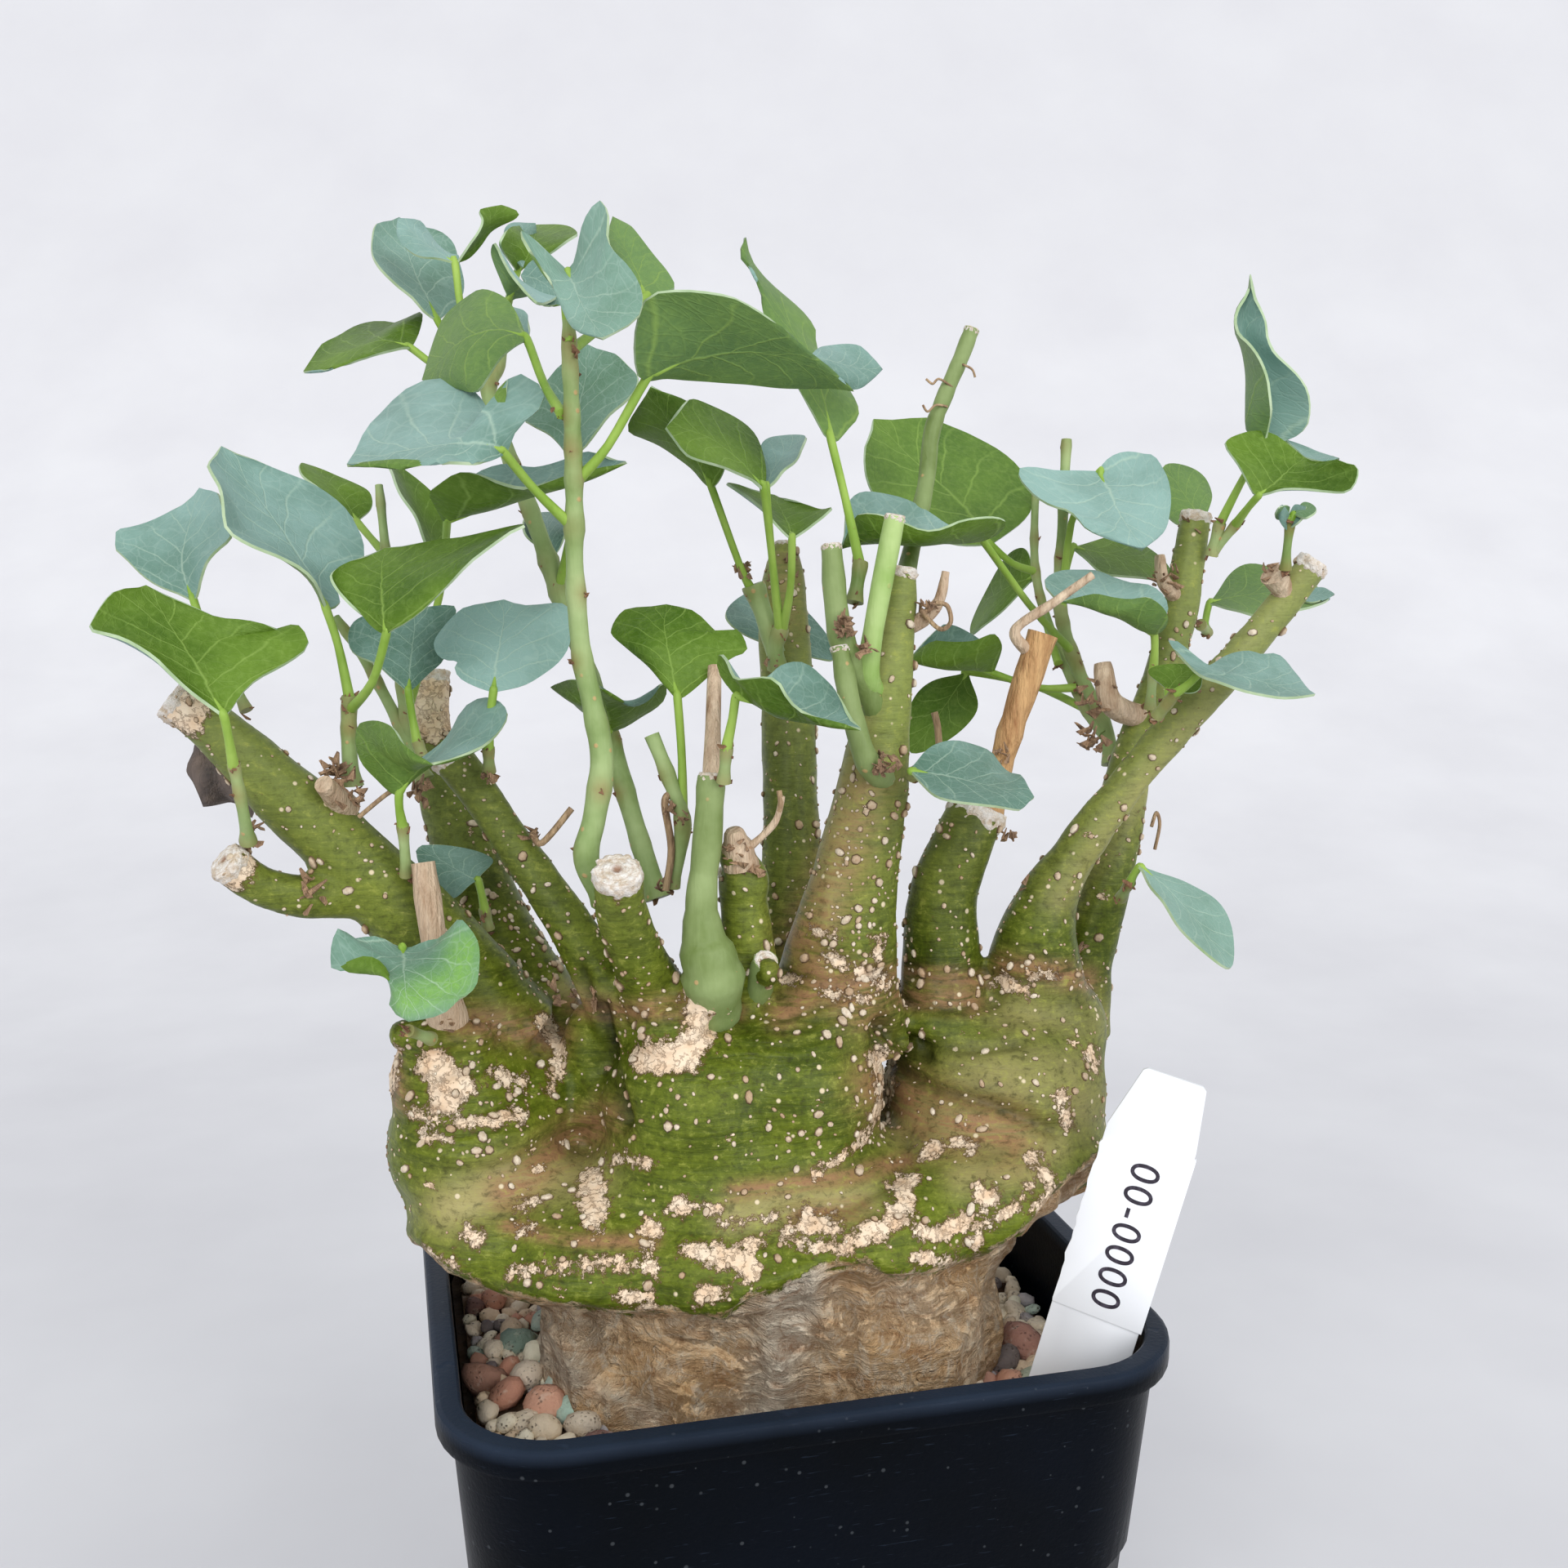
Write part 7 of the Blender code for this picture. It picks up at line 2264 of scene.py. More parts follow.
    def bracts(self) -> bpy.types.Object:
        """Dried scales and tendrils at the nodes.

        Returns:
            One object of them all.
        """
        rng = random.Random(self.sizes.bract_seed)
        meshes = []
        for (x, y, distance), spread_px, count, size_mm in BRACTS:
            for _ in range(count):
                angle, far = rng.uniform(0, math.tau), spread_px * math.sqrt(rng.random())
                at = STATION.sight(x + far * math.cos(angle), y + far * math.sin(angle),
                                   distance + rng.uniform(-1.5, 1.0))
                meshes.append(flake(at, size_mm * rng.uniform(0.6, 1.2) * MM, rng, 0))
        for points, radius_mm in TENDRILS:
            stations = [(STATION.sight(*point), radius_mm * MM) for point in points]
            meshes.append(tube("tendril", stations, 6, 8, 1))
        finishes = [DryWood("bract_dry", dark=tone(84, 56, 40), light=tone(196, 160, 126), scale=900.0),
                    DryWood("tendril_dry", dark=tone(88, 52, 32), light=tone(206, 176, 138), scale=700.0)]
        return merge("caudex_bracts", meshes, finishes, 50.0)

    def dead_leaf(self) -> bpy.types.Object:
        """Crumpled dead leaf behind the left trunk.

        Returns:
            The leaf.
        """
        surface = BentPlate([(place, STATION.sight(*point)) for place, point in self.DEAD_LEAF.items()])
        shape = bmesh.new()
        bmesh.ops.create_grid(shape, x_segments=14, y_segments=18, size=0.5)
        flat = np.array([(vert.co.x, vert.co.y + 0.5) for vert in shape.verts])
        for vert, point in zip(shape.verts, surface.at(flat)):
            where = Vector(point)
            rough = Vector((noise.noise(where * 210.0), noise.noise(where * 230.0 + Vector((5, 0, 0))),
                            noise.noise(where * 190.0 + Vector((0, 7, 0)))))
            vert.co = where + rough * 1.6 * MM
        bmesh.ops.solidify(shape, geom=shape.faces[:], thickness=0.35 * MM)
        bmesh.ops.recalc_face_normals(shape, faces=shape.faces)
        finish = DryWood("dead_leaf", dark=tone(44, 40, 40), light=tone(124, 108, 98), scale=300.0)
        return merge("caudex_dead_leaf", [mesh_of(shape, "dead_leaf")], [finish], 60.0)

    def dress(self) -> None:
        """Build the caudex's pieces and register them in order."""
        mesh = self.skin()
        self.sculpt(mesh)
        self.mark(mesh)
        warts = self.warts(mesh)
        mesh.materials.clear()
        mesh.materials.append(CaudexSkin("caudex_skin").material())
        mesh.shade_smooth()
        show(new_object("caudex_skin", mesh), Slot.CAUDEX, "caudex")
        for piece in (warts, self.stubs(), self.bracts(), self.dead_leaf()):
            show(piece, Slot.CAUDEX)


def flake(at: Vector, size: float, rng: random.Random, number: int) -> bpy.types.Mesh:
    """One dried scale, a small bent pointed leaf.

    Args:
        at: Its place.
        size: Its length.
        rng: Source of chance.
        number: Material number.
    Returns:
        The mesh.
    """
    shape = bmesh.new()
    bmesh.ops.create_cone(shape, cap_ends=True, cap_tris=False, segments=5, radius1=0.42,
                          radius2=0.12, depth=1.0)
    bend = rng.uniform(-0.7, 0.7)
    for vert in shape.verts:
        vert.co.x += bend * (vert.co.z + 0.5) ** 2
        vert.co.y *= 0.45
        vert.co *= 1.0 + 0.5 * noise.noise(vert.co * 2.0 + at * 800.0)
    place = Matrix.Translation(at) @ tumble(rng, 1.3) @ Matrix.Scale(size, 4)
    bmesh.ops.transform(shape, matrix=place, verts=shape.verts)
    paint_faces(shape, number)
    return mesh_of(shape, "flake")


class BentPlate:
    """Thin bent plate through pins, as a map from (across, along) to space."""

    def __init__(self, pins: Sequence[tuple[tuple[float, float], Vector]]) -> None:
        """Solve the plate.

        Args:
            pins: Places on the plate with their points.
        """
        self.flat = np.array([place for place, point in pins], dtype=float)
        space = np.array([tuple(point) for place, point in pins], dtype=float)
        count = len(pins)
        gaps = np.linalg.norm(self.flat[:, None] - self.flat[None], axis=2)
        system = np.zeros((count + 3, count + 3))
        system[:count, :count] = self.kernel(gaps)
        system[:count, count] = 1.0
        system[:count, count + 1:] = self.flat
        system[count:, :count] = system[:count, count:].T
        self.weights = np.linalg.solve(system, np.vstack([space, np.zeros((3, 3))]))

    @staticmethod
    def kernel(distance: np.ndarray) -> np.ndarray:
        """Pull of a pin at a distance."""
        return np.where(distance > 1e-9, distance ** 2 * np.log(distance + 1e-12), 0.0)

    def at(self, places: np.ndarray) -> np.ndarray:
        """Points of many places.

        Args:
            places: Rows of (across, along).
        Returns:
            Rows of points.
        """
        pull = self.kernel(np.linalg.norm(places[:, None] - self.flat[None], axis=2))
        whole = np.hstack([pull, np.ones((len(places), 1)), places])
        return whole @ self.weights


@dataclass(frozen=True)
class Pinned:
    """Form of a leaf given by pins: sight points of its base, tip, sides and further bends."""

    base: Sight
    tip: Sight
    side_a: Sight
    side_b: Sight
    shows: Face
    bends: tuple[tuple[tuple[float, float], Sight], ...] = ()


@dataclass(frozen=True)
class Rim:
    """A line along a leaf, in pixels, with distances spread evenly over it."""

    pixels: Line
    distances: tuple[float, ...]

    def at(self, along: np.ndarray) -> np.ndarray:
        """Points at shares of the line's length.

        Args:
            along: Shares from 0 to 1.
        Returns:
            Rows of points.
        """
        spread = np.linspace(0.0, 1.0, len(self.distances))
        distances = np.interp(np.linspace(0.0, 1.0, len(self.pixels)), spread, self.distances)
        points = [STATION.sight(x, y, float(d)) for (x, y), d in zip(self.pixels, distances)]
        path, _ = smooth_path([(point, 0.0) for point in points], 6)
        table = np.array(path)
        reach = np.concatenate([[0.0], np.cumsum(np.linalg.norm(np.diff(table, axis=0), axis=1))])
        return np.column_stack([np.interp(along * reach[-1], reach, table[:, axis]) for axis in range(3)])


@dataclass(frozen=True)
class Ribbed:
    """Form of a leaf given by its edges and rib, and by the face seen at one place across."""

    left: Rim
    rib: Rim
    right: Rim
    shows: Face
    seen_at: float = 0.0


class RibbedPlate:
    """Bent surface through a leaf's two edges and its rib."""

    TIP_FROM = 0.86

    def __init__(self, form: Ribbed) -> None:
        """Keep the form and turn its upper face the right way.

        Args:
            form: Edges and rib of the leaf.
        """
        self.form, self.flip = form, 1.0
        place = np.array([(form.seen_at, 0.5)])
        over = self.at(place + (0.02, 0.0)) - self.at(place - (0.02, 0.0))
        onward = self.at(place + (0.0, 0.02)) - self.at(place - (0.0, 0.02))
        towards = np.array(STATION.place) - self.at(place)
        facing = float(np.sum(np.cross(over, onward) * towards)) > 0
        if facing != (form.shows is Face.UPPER):
            self.flip = -1.0

    def at(self, places: np.ndarray) -> np.ndarray:
        """Points of many places.

        Args:
            places: Rows of (across from -1 to 1, along from 0 to 1).
        Returns:
            Rows of points.
        """
        across = (places[:, 0] * self.flip)[:, None]
        along = np.clip(places[:, 1], 0.0, 1.0)
        near_tip = np.clip((along - self.TIP_FROM) / (1 - self.TIP_FROM), 0.0, 1.0)[:, None] ** 2
        rib = self.form.rib.at(along)
        left = self.form.left.at(along) * (1 - near_tip) + rib * near_tip
        right = self.form.right.at(along) * (1 - near_tip) + rib * near_tip
        return rib + across * (right - left) / 2 + across ** 2 * ((left + right) / 2 - rib)


@dataclass(frozen=True)
class Leaf:
    """One leaf: its stalk's points, its form and its tints.

    The stalk leaves the stem at its first point, unless joint names another. The tints are
    shares of pale bloom and of fresh green, and patch is a line of pixels that is yellow.
    """

    name: str
    stalk: tuple[Sight, ...]
    form: Pinned | Ribbed
    pale: float = 0.0
    fresh: float = 0.0
    joint: Sight | None = None
    patch: Line = ()


@dataclass(frozen=True)
class Shoot:
    """One leafy shoot: its name in the CAD, its stems, its leaves and their further folds."""

    name: str
    stems: tuple[Thick, ...]
    leaves: tuple[Leaf, ...]
    folds: tuple[Ribbed, ...] = ()


# Leafy shoots. A stem is sight points with radii in millimetres.
SHOOTS: tuple[Shoot, ...] = (
    Shoot("shoot_tall_front", (
        ((742, 1100, 230, 2.1), (718, 1052, 226, 2.0), (728, 1000, 225, 1.9), (737, 930, 224, 1.9),
         (725, 860, 223, 1.7), (712, 800, 222, 1.6), (704, 700, 219, 1.4), (703, 600, 217, 1.3),
         (700, 500, 214, 1.2), (696, 392, 212, 0.9)),
    ), (
        Leaf("crown_front", ((698, 420, 212), (692, 365, 213)), Ribbed(
            Rim(((695, 333), (682, 322), (665, 305), (650, 291), (637, 284), (645, 302), (662, 327),
                 (680, 356), (692, 386), (705, 404), (720, 412)), (212, 212, 212, 209, 204, 199)),
            Rim(((695, 333), (704, 352), (713, 372), (726, 394), (738, 415)), (212, 206, 202, 198)),
            Rim(((695, 333), (703, 324), (708, 306), (713, 281), (722, 261), (735, 246), (744, 262),
                 (743, 290), (752, 308), (766, 322), (780, 342), (787, 362), (784, 385), (770, 404),
                 (755, 412)), (212, 211, 209, 206, 203, 200, 198)), Face.UPPER), pale=0.3, fresh=0.25),
        Leaf("crown_right", ((698, 430, 212), (735, 402, 219)), Ribbed(
            Rim(((790, 366), (808, 359), (826, 353), (819, 336), (805, 318), (790, 300), (776, 283),
                 (763, 269)), (222, 224, 228, 233)),
            Rim(((790, 366), (783, 342), (772, 317), (760, 291), (751, 266)), (222, 227, 233)),
            Rim(((790, 366), (782, 350), (770, 330), (755, 312), (745, 295), (743, 279)),
                 (222, 228, 234)), Face.UNDER), pale=0.45),
        Leaf("great_right", ((710, 585, 217), (745, 545, 215)), Ribbed(
            Rim(((789, 465), (781, 460), (777, 435), (778, 410), (783, 385), (791, 366), (802, 359),
                 (822, 357), (850, 357), (880, 360), (905, 367), (930, 381), (955, 400), (975, 420),
                 (1000, 441), (1022, 461), (1036, 470)), (214, 209, 206, 206, 208, 213, 220, 228)),
            Rim(((789, 465), (825, 447), (870, 434), (920, 431), (970, 440), (1012, 459), (1045, 478)),
                 (214, 216, 218, 221, 228)),
            Rim(((789, 465), (802, 464), (825, 463), (875, 467), (925, 472), (975, 474), (1015, 475)),
                 (214, 220, 224, 227)), Face.UNDER), pale=0.35),
        Leaf("cupped_left", ((688, 507, 214), (666, 470, 220)), Ribbed(
            Rim(((647, 416), (641, 405), (632, 385), (620, 367), (600, 356), (585, 356), (570, 367),
                 (555, 380), (542, 395), (531, 420), (522, 445)), (226, 233, 238, 240, 239)),
            Rim(((647, 416), (615, 405), (585, 410), (560, 422), (540, 442), (518, 466)),
                 (226, 226, 229, 236)),
            Rim(((647, 416), (630, 425), (612, 440), (598, 462), (585, 480), (560, 476), (538, 470)),
                 (226, 222, 221, 230)), Face.UNDER), pale=0.3),
        Leaf("blue_left", ((701, 645, 218), (655, 600, 214)), Ribbed(
            Rim(((619, 556), (602, 564), (580, 568), (550, 568), (515, 566), (480, 565), (450, 568)),
                 (209, 205, 202, 203, 205)),
            Rim(((619, 556), (600, 546), (570, 544), (530, 548), (480, 558), (425, 570)),
                 (209, 206, 206, 207, 206)),
            Rim(((619, 556), (634, 522), (648, 511), (664, 496), (665, 480), (652, 466), (634, 458),
                 (622, 461), (620, 480), (618, 498), (610, 514), (603, 520), (599, 505), (590, 490),
                 (575, 475), (558, 467), (540, 464), (515, 470), (490, 485), (470, 505), (452, 522),
                 (440, 534), (434, 552)),
                 (209, 215, 221, 217, 212, 220, 229, 230, 222, 212)), Face.UPPER), pale=0.15),
    ), (
        Ribbed(Rim(((992, 436), (1004, 426), (1020, 424), (1050, 424), (1070, 434)),
                    (222, 230, 234, 234)),
               Rim(((992, 436), (1020, 444), (1050, 451), (1080, 453)), (222, 229, 234)),
               Rim(((992, 436), (1010, 450), (1030, 468), (1045, 477), (1064, 470)),
                    (222, 226, 229, 232)), Face.UPPER),
        Ribbed(Rim(((622, 376), (632, 378), (641, 382), (648, 390)), (237, 240, 238)),
               Rim(((622, 376), (634, 390), (642, 404), (648, 414)), (237, 236, 230)),
               Rim(((622, 376), (628, 392), (636, 406), (644, 414)), (237, 234, 228)), Face.UPPER),
    )),
    Shoot("shoot_tall_back", (
        ((806, 1100, 250, 2.0), (785, 1035, 251, 1.8), (760, 950, 253, 1.8), (740, 880, 255, 1.7),
         (690, 740, 259, 1.7), (655, 640, 261, 1.6), (620, 550, 263, 1.5), (598, 480, 264, 1.3),
         (612, 440, 265, 1.1), (620, 378, 265, 0.9)),
    ), (
        Leaf("far_top_left", ((606, 455, 265), (560, 430, 268)), Ribbed(
            Rim(((536, 393), (520, 382), (505, 365), (485, 350), (467, 332), (457, 315), (456, 295),
                 (460, 275), (471, 267)), (270, 268, 267, 274, 281)),
            Rim(((536, 393), (520, 360), (505, 330), (495, 300), (488, 267)), (270, 273, 278, 284)),
            Rim(((536, 393), (550, 381), (565, 365), (568, 345), (561, 320), (555, 300), (540, 285),
                 (525, 279), (505, 271)), (270, 277, 283, 286, 285)), Face.UPPER), fresh=0.15),
        Leaf("folded_top", ((608, 450, 265), (570, 400, 262)), Ribbed(
            Rim(((558, 323), (535, 317), (515, 315), (500, 307), (490, 295), (483, 280)),
                 (262, 259, 260, 262)),
            Rim(((558, 323), (535, 309), (510, 291), (487, 268)), (262, 262, 263)),
            Rim(((558, 323), (562, 314), (550, 311), (536, 300), (525, 285), (514, 271), (500, 266)),
                 (262, 265, 268, 266)), Face.UPPER), pale=0.2),
        Leaf("low_left_top", ((600, 470, 264), (545, 455, 268)), Ribbed(
            Rim(((504, 426), (512, 410), (517, 384), (500, 390), (482, 397), (470, 394), (455, 394),
                 (435, 400), (415, 412), (392, 424), (378, 440)), (270, 279, 285, 284, 276, 268)),
            Rim(((504, 426), (470, 418), (432, 429), (402, 442), (372, 456)), (270, 266, 264, 266)),
            Rim(((504, 426), (490, 427), (460, 435), (430, 445), (405, 452), (386, 457)),
                 (270, 262, 259, 263)), Face.UNDER)),
        Leaf("strip_top", ((620, 380, 265), (622, 372, 265)), Pinned((623, 366, 264), (657, 371, 246),
             (603, 300, 262), (690, 348, 276), Face.UNDER), pale=0.7),
        Leaf("green_top", ((619, 382, 265), (628, 350, 268)), Pinned((633, 334, 270), (660, 276, 286),
             (616, 288, 262), (706, 286, 272), Face.UNDER)),
        Leaf("veined_centre", ((684, 722, 259), (700, 640, 254)), Ribbed(
            Rim(((696, 560), (685, 545), (670, 530), (650, 520), (642, 513), (655, 490), (668, 470),
                 (682, 452), (698, 431)), (250, 253, 258, 260, 258)),
            Rim(((696, 560), (704, 522), (713, 482), (718, 450), (720, 422)), (250, 254, 256)),
            Rim(((696, 560), (714, 550), (730, 530), (745, 510), (765, 492), (778, 475), (780, 460),
                 (770, 449), (755, 434), (738, 424)),
                 (250, 247, 245, 249, 254)), Face.UPPER), fresh=0.35),
        Leaf("under_crossing", ((738, 876, 255), (744, 890, 249)), Ribbed(
            Rim(((746, 896), (736, 884), (724, 876), (708, 866), (692, 852), (674, 842), (684, 837),
                 (698, 832), (714, 834)), (246, 248, 250, 246, 236)),
            Rim(((746, 896), (745, 877), (741, 858), (734, 841)), (246, 240, 232)),
            Rim(((746, 896), (764, 890), (784, 878), (800, 868), (812, 856), (815, 842), (810, 837),
                 (803, 847), (790, 859), (775, 864), (762, 858), (748, 848)),
                 (246, 248, 250, 246, 240, 234)), Face.UNDER)),
        Leaf("small_behind", ((668, 690, 260), (672, 692, 262)), Pinned((677, 686, 263), (668, 628, 278),
             (640, 642, 262), (695, 640, 268), Face.UPPER), pale=-0.2),
    ), (
        Ribbed(Rim(((560, 322), (574, 301), (585, 285), (591, 270), (587, 258), (596, 252)),
                    (262, 260, 262, 264)),
               Rim(((560, 322), (581, 297), (597, 275), (613, 251)), (262, 263, 266)),
               Rim(((560, 322), (574, 316), (589, 300), (600, 285), (615, 275), (631, 267), (636, 259),
                    (628, 253)), (262, 265, 269, 270)), Face.UNDER),
        Ribbed(Rim(((638, 338), (646, 325), (656, 318), (672, 317), (684, 345)), (262, 264, 264, 260)),
               Rim(((638, 338), (655, 342), (672, 352), (692, 372)), (262, 260, 258)),
               Rim(((638, 338), (646, 352), (659, 370), (676, 379)), (262, 257, 256)), Face.UPPER),
        Ribbed(Rim(((640, 328), (624, 312), (617, 290), (622, 276), (640, 272)), (268, 270, 274, 278)),
               Rim(((640, 328), (632, 305), (640, 285), (655, 274)), (268, 272, 278)),
               Rim(((640, 328), (645, 312), (650, 295), (660, 282)), (268, 274, 279)), Face.UPPER),
    )),
    Shoot("shoot_left_upright", (
        ((431, 962, 236, 1.5), (427, 905, 235, 1.2), (428, 852, 234, 1.0)),
    ), (
        Leaf("great_blue", ((428, 856, 234), (414, 790, 233)), Ribbed(
            Rim(((400, 747), (393, 730), (386, 714), (370, 697), (340, 682), (310, 670), (286, 658),
                 (275, 645), (272, 625), (271, 607), (268, 594), (259, 579), (254, 565), (256, 552)),
                 (232, 228, 224, 224, 229, 236)),
            Rim(((400, 747), (385, 715), (362, 678), (335, 640), (308, 604), (284, 572), (270, 547)),
                 (232, 236, 240, 241)),
            Rim(((400, 747), (413, 742), (416, 735), (409, 718), (411, 710), (425, 698), (440, 688),
                 (446, 680), (444, 662), (437, 645), (425, 625), (405, 607), (380, 592), (350, 580),
                 (330, 570), (308, 556), (290, 548)),
                 (232, 238, 243, 246, 246, 242)), Face.UPPER), pale=0.2),
        Leaf("wide_under", ((430, 868, 234), (456, 835, 226)), Ribbed(
            Rim(((473, 778), (460, 770), (445, 755), (425, 735), (411, 720), (404, 706), (411, 697),
                 (424, 690), (445, 680)), (221, 221, 223, 228)),
            Rim(((473, 778), (470, 755), (468, 735), (470, 700), (472, 672)), (221, 219, 222, 228)),
            Rim(((473, 778), (480, 772), (495, 764), (515, 750), (535, 731), (552, 714), (576, 689),
                 (600, 670), (625, 652), (646, 642), (630, 644), (600, 650), (565, 658), (530, 661),
                 (500, 666)), (221, 217, 213, 212, 217, 225)), Face.UNDER)),
    )),
    Shoot("leaf_left_low", (
        ((304, 1030, 227, 1.1), (298, 995, 223, 0.9), (286, 935, 220, 0.8)),
    ), (
        Leaf("fan_under", ((286, 938, 220), (280, 905, 217)), Ribbed(
            Rim(((275, 878), (252, 862), (230, 845), (208, 824), (190, 806), (168, 792), (145, 781),
                 (112, 771), (115, 757), (122, 745), (135, 728), (150, 716), (164, 714)),
                 (215, 210, 207, 212, 218)),
            Rim(((275, 878), (258, 850), (240, 815), (220, 782), (198, 748), (178, 717)),
                 (215, 216, 217, 219, 219)),
            Rim(((275, 878), (284, 868), (296, 850), (315, 832), (340, 818), (360, 806), (377, 791),
                 (374, 776), (365, 766), (352, 767), (345, 775), (330, 766), (300, 759), (265, 755),
                 (235, 741), (205, 723)), (215, 219, 223, 226, 223, 220)), Face.UNDER)),
    )),
    Shoot("leaf_left_far", (
        ((302, 870, 239, 0.9), (284, 832, 240, 0.8)),
    ), (
        Leaf("far_blue", ((285, 834, 240), (256, 788, 240)), Ribbed(
            Rim(((238, 737), (220, 728), (195, 718), (175, 705), (155, 685), (140, 672), (130, 660),
                 (142, 651), (160, 647), (178, 641), (200, 631), (222, 619), (236, 606)),
                 (240, 240, 242, 245, 247)),
            Rim(((238, 737), (228, 710), (224, 680), (231, 645), (245, 598)), (240, 241, 243, 247)),
            Rim(((238, 737), (243, 725), (246, 710), (253, 690), (265, 675), (282, 658), (279, 640),
                 (273, 622), (268, 605), (257, 593)), (240, 238, 236, 241, 246)), Face.UPPER), pale=0.3),
    )),
    Shoot("shoot_left_thin", (
        ((520, 955, 251, 1.4), (498, 905, 252, 1.1), (470, 850, 253, 1.0), (440, 797, 254, 0.9),
         (411, 756, 255, 0.8)),
        ((500, 908, 252, 1.0), (482, 760, 252, 0.9), (472, 672, 253, 0.8), (464, 594, 254, 0.7)),
    ), (
        Leaf("narrow_green", ((484, 775, 252), (515, 720, 251)), Pinned((534, 690, 250), (478, 566, 257),
             (497, 612, 246), (541, 625, 257), Face.UNDER)),
        Leaf("small_left", ((473, 680, 253), (455, 660, 256)), Pinned((438, 640, 259), (384, 572, 268),
             (372, 580, 260), (452, 606, 264), Face.UNDER)),
        Leaf("level_green", ((496, 880, 252), (520, 800, 254), (542, 710, 252)), Ribbed(
            Rim(((547, 642), (541, 632), (533, 617), (526, 604), (535, 595), (560, 579), (585, 581),
                 (612, 591), (640, 597), (665, 592), (700, 580), (735, 571)),
                 (239, 236, 232, 231, 230, 230)),
            Rim(((547, 642), (552, 637), (580, 629), (625, 617), (665, 603), (715, 588), (767, 566)),
                 (239, 237, 236, 234, 231)),
            Rim(((547, 642), (556, 620), (566, 598), (582, 581), (602, 572), (625, 569), (655, 574),
                 (690, 565), (720, 553), (745, 556)), (239, 244, 248, 246, 240, 233)), Face.UNDER, -0.5)),
    )),
    Shoot("leaf_knot_left", (
        ((517, 927, 240, 0.9), (511, 908, 240, 0.8)),
    ), (
        Leaf("rhomb_blue", ((511, 910, 240), (505, 880, 240)), Ribbed(
            Rim(((500, 848), (480, 831), (460, 813), (436, 802), (427, 789), (428, 770), (440, 757),
                 (470, 745)), (239, 237, 238, 241)),
            Rim(((500, 848), (502, 815), (505, 780), (509, 745)), (239, 240, 242)),
            Rim(((500, 848), (508, 841), (525, 825), (543, 808), (549, 780), (558, 752), (556, 741),
                 (540, 734)), (239, 241, 242, 242)), Face.UPPER), pale=-0.3),
    )),
    Shoot("leaf_knot_right", (
        ((599, 945, 236, 0.9), (598, 915, 234, 0.8)),
    ), (
        Leaf("lobed_blue", ((598, 918, 234), (600, 880, 233)), Ribbed(
            Rim(((604, 848), (585, 842), (565, 832), (557, 820), (561, 810), (545, 808), (535, 800),
                 (532, 786), (542, 770), (555, 755), (570, 743), (590, 736)), (232, 232, 234, 236, 236)),
            Rim(((604, 848), (607, 820), (611, 790), (615, 760), (617, 735)), (232, 233, 236)),
            Rim(((604, 848), (640, 840), (665, 826), (685, 810), (697, 790), (698, 768), (696, 746),
                 (685, 740), (665, 741), (645, 742), (632, 736)),
                 (232, 235, 239, 240, 237)), Face.UPPER), pale=0.6),
    )),
    Shoot("leaf_cup_left", (
        ((498, 1072, 233, 0.9), (493, 1010, 229, 0.8)),
    ), (
        Leaf("cup_green", ((493, 1012, 229), (489, 990, 227)), Ribbed(
            Rim(((488, 974), (477, 968), (460, 952), (445, 936), (438, 920), (436, 903), (440, 888),
                 (452, 883), (468, 884), (482, 892), (492, 908), (505, 923), (518, 930)),
                 (226, 228, 231, 231, 225, 218, 214)),
            Rim(((488, 974), (500, 956), (512, 942), (522, 937), (531, 935)), (226, 225, 221, 213)),
            Rim(((488, 974), (502, 948), (518, 928), (536, 915), (552, 898), (562, 878), (574, 863),
                 (590, 856), (605, 857), (618, 866), (621, 878), (610, 897), (588, 916), (560, 930)),
                 (226, 232, 238, 238, 233, 226, 216)), Face.UPPER, 0.55), pale=0.1),
    )),
    Shoot("leaf_back_left", (
        ((598, 1138, 249, 0.9), (593, 1112, 248, 0.8)),
    ), (
        Leaf("low_blue", ((594, 1116, 248), (590, 1096, 247)), Pinned((586, 1078, 246), (512, 1038, 244),
             (545, 1098, 247), (598, 1048, 247), Face.UPPER)),
    )),
    Shoot("leaf_front_low", (
        ((528, 1272, 226, 0.9), (500, 1262, 219, 0.8)),
    ), (
        Leaf("patched_front", ((522, 1278, 238), (500, 1215, 231)), Ribbed(
            Rim(((493, 1162), (484, 1159), (471, 1151), (458, 1147), (447, 1148), (438, 1151),
                 (429, 1147), (415, 1137), (408, 1151), (406, 1164), (407, 1186), (419, 1181),
                 (432, 1176), (445, 1172), (458, 1174), (468, 1181), (475, 1193), (479, 1208),
                 (480, 1221), (474, 1229), (472, 1237), (484, 1246)),
                 (223, 222, 221, 219, 217, 214, 212)),
            Rim(((493, 1162), (495, 1185), (498, 1215), (500, 1251)), (223, 217, 213, 211)),
            Rim(((493, 1162), (505, 1161), (515, 1156), (526, 1152), (536, 1151), (549, 1141),
                 (559, 1129), (565, 1126), (575, 1137), (584, 1151), (587, 1167), (586, 1185),
                 (583, 1206), (572, 1219), (562, 1224), (546, 1239), (531, 1249), (515, 1252)),
                 (223, 223, 224, 222, 219, 215, 212)), Face.UPPER),
             joint=(500, 1262, 219), pale=-0.1, fresh=0.2,
             patch=((500, 1225), (560, 1205), (570, 1160))),
    )),
    Shoot("shoot_red_tip", (
        ((822, 1085, 236, 1.2), (836, 1010, 233, 1.2), (818, 950, 232, 1.2), (798, 900, 232, 1.3)),
    ), (
        Leaf("fan_centre", ((836, 1006, 233), (835, 930, 232)), Ribbed(
            Rim(((830, 857), (824, 850), (812, 836), (796, 816), (772, 796), (751, 780), (749, 771),
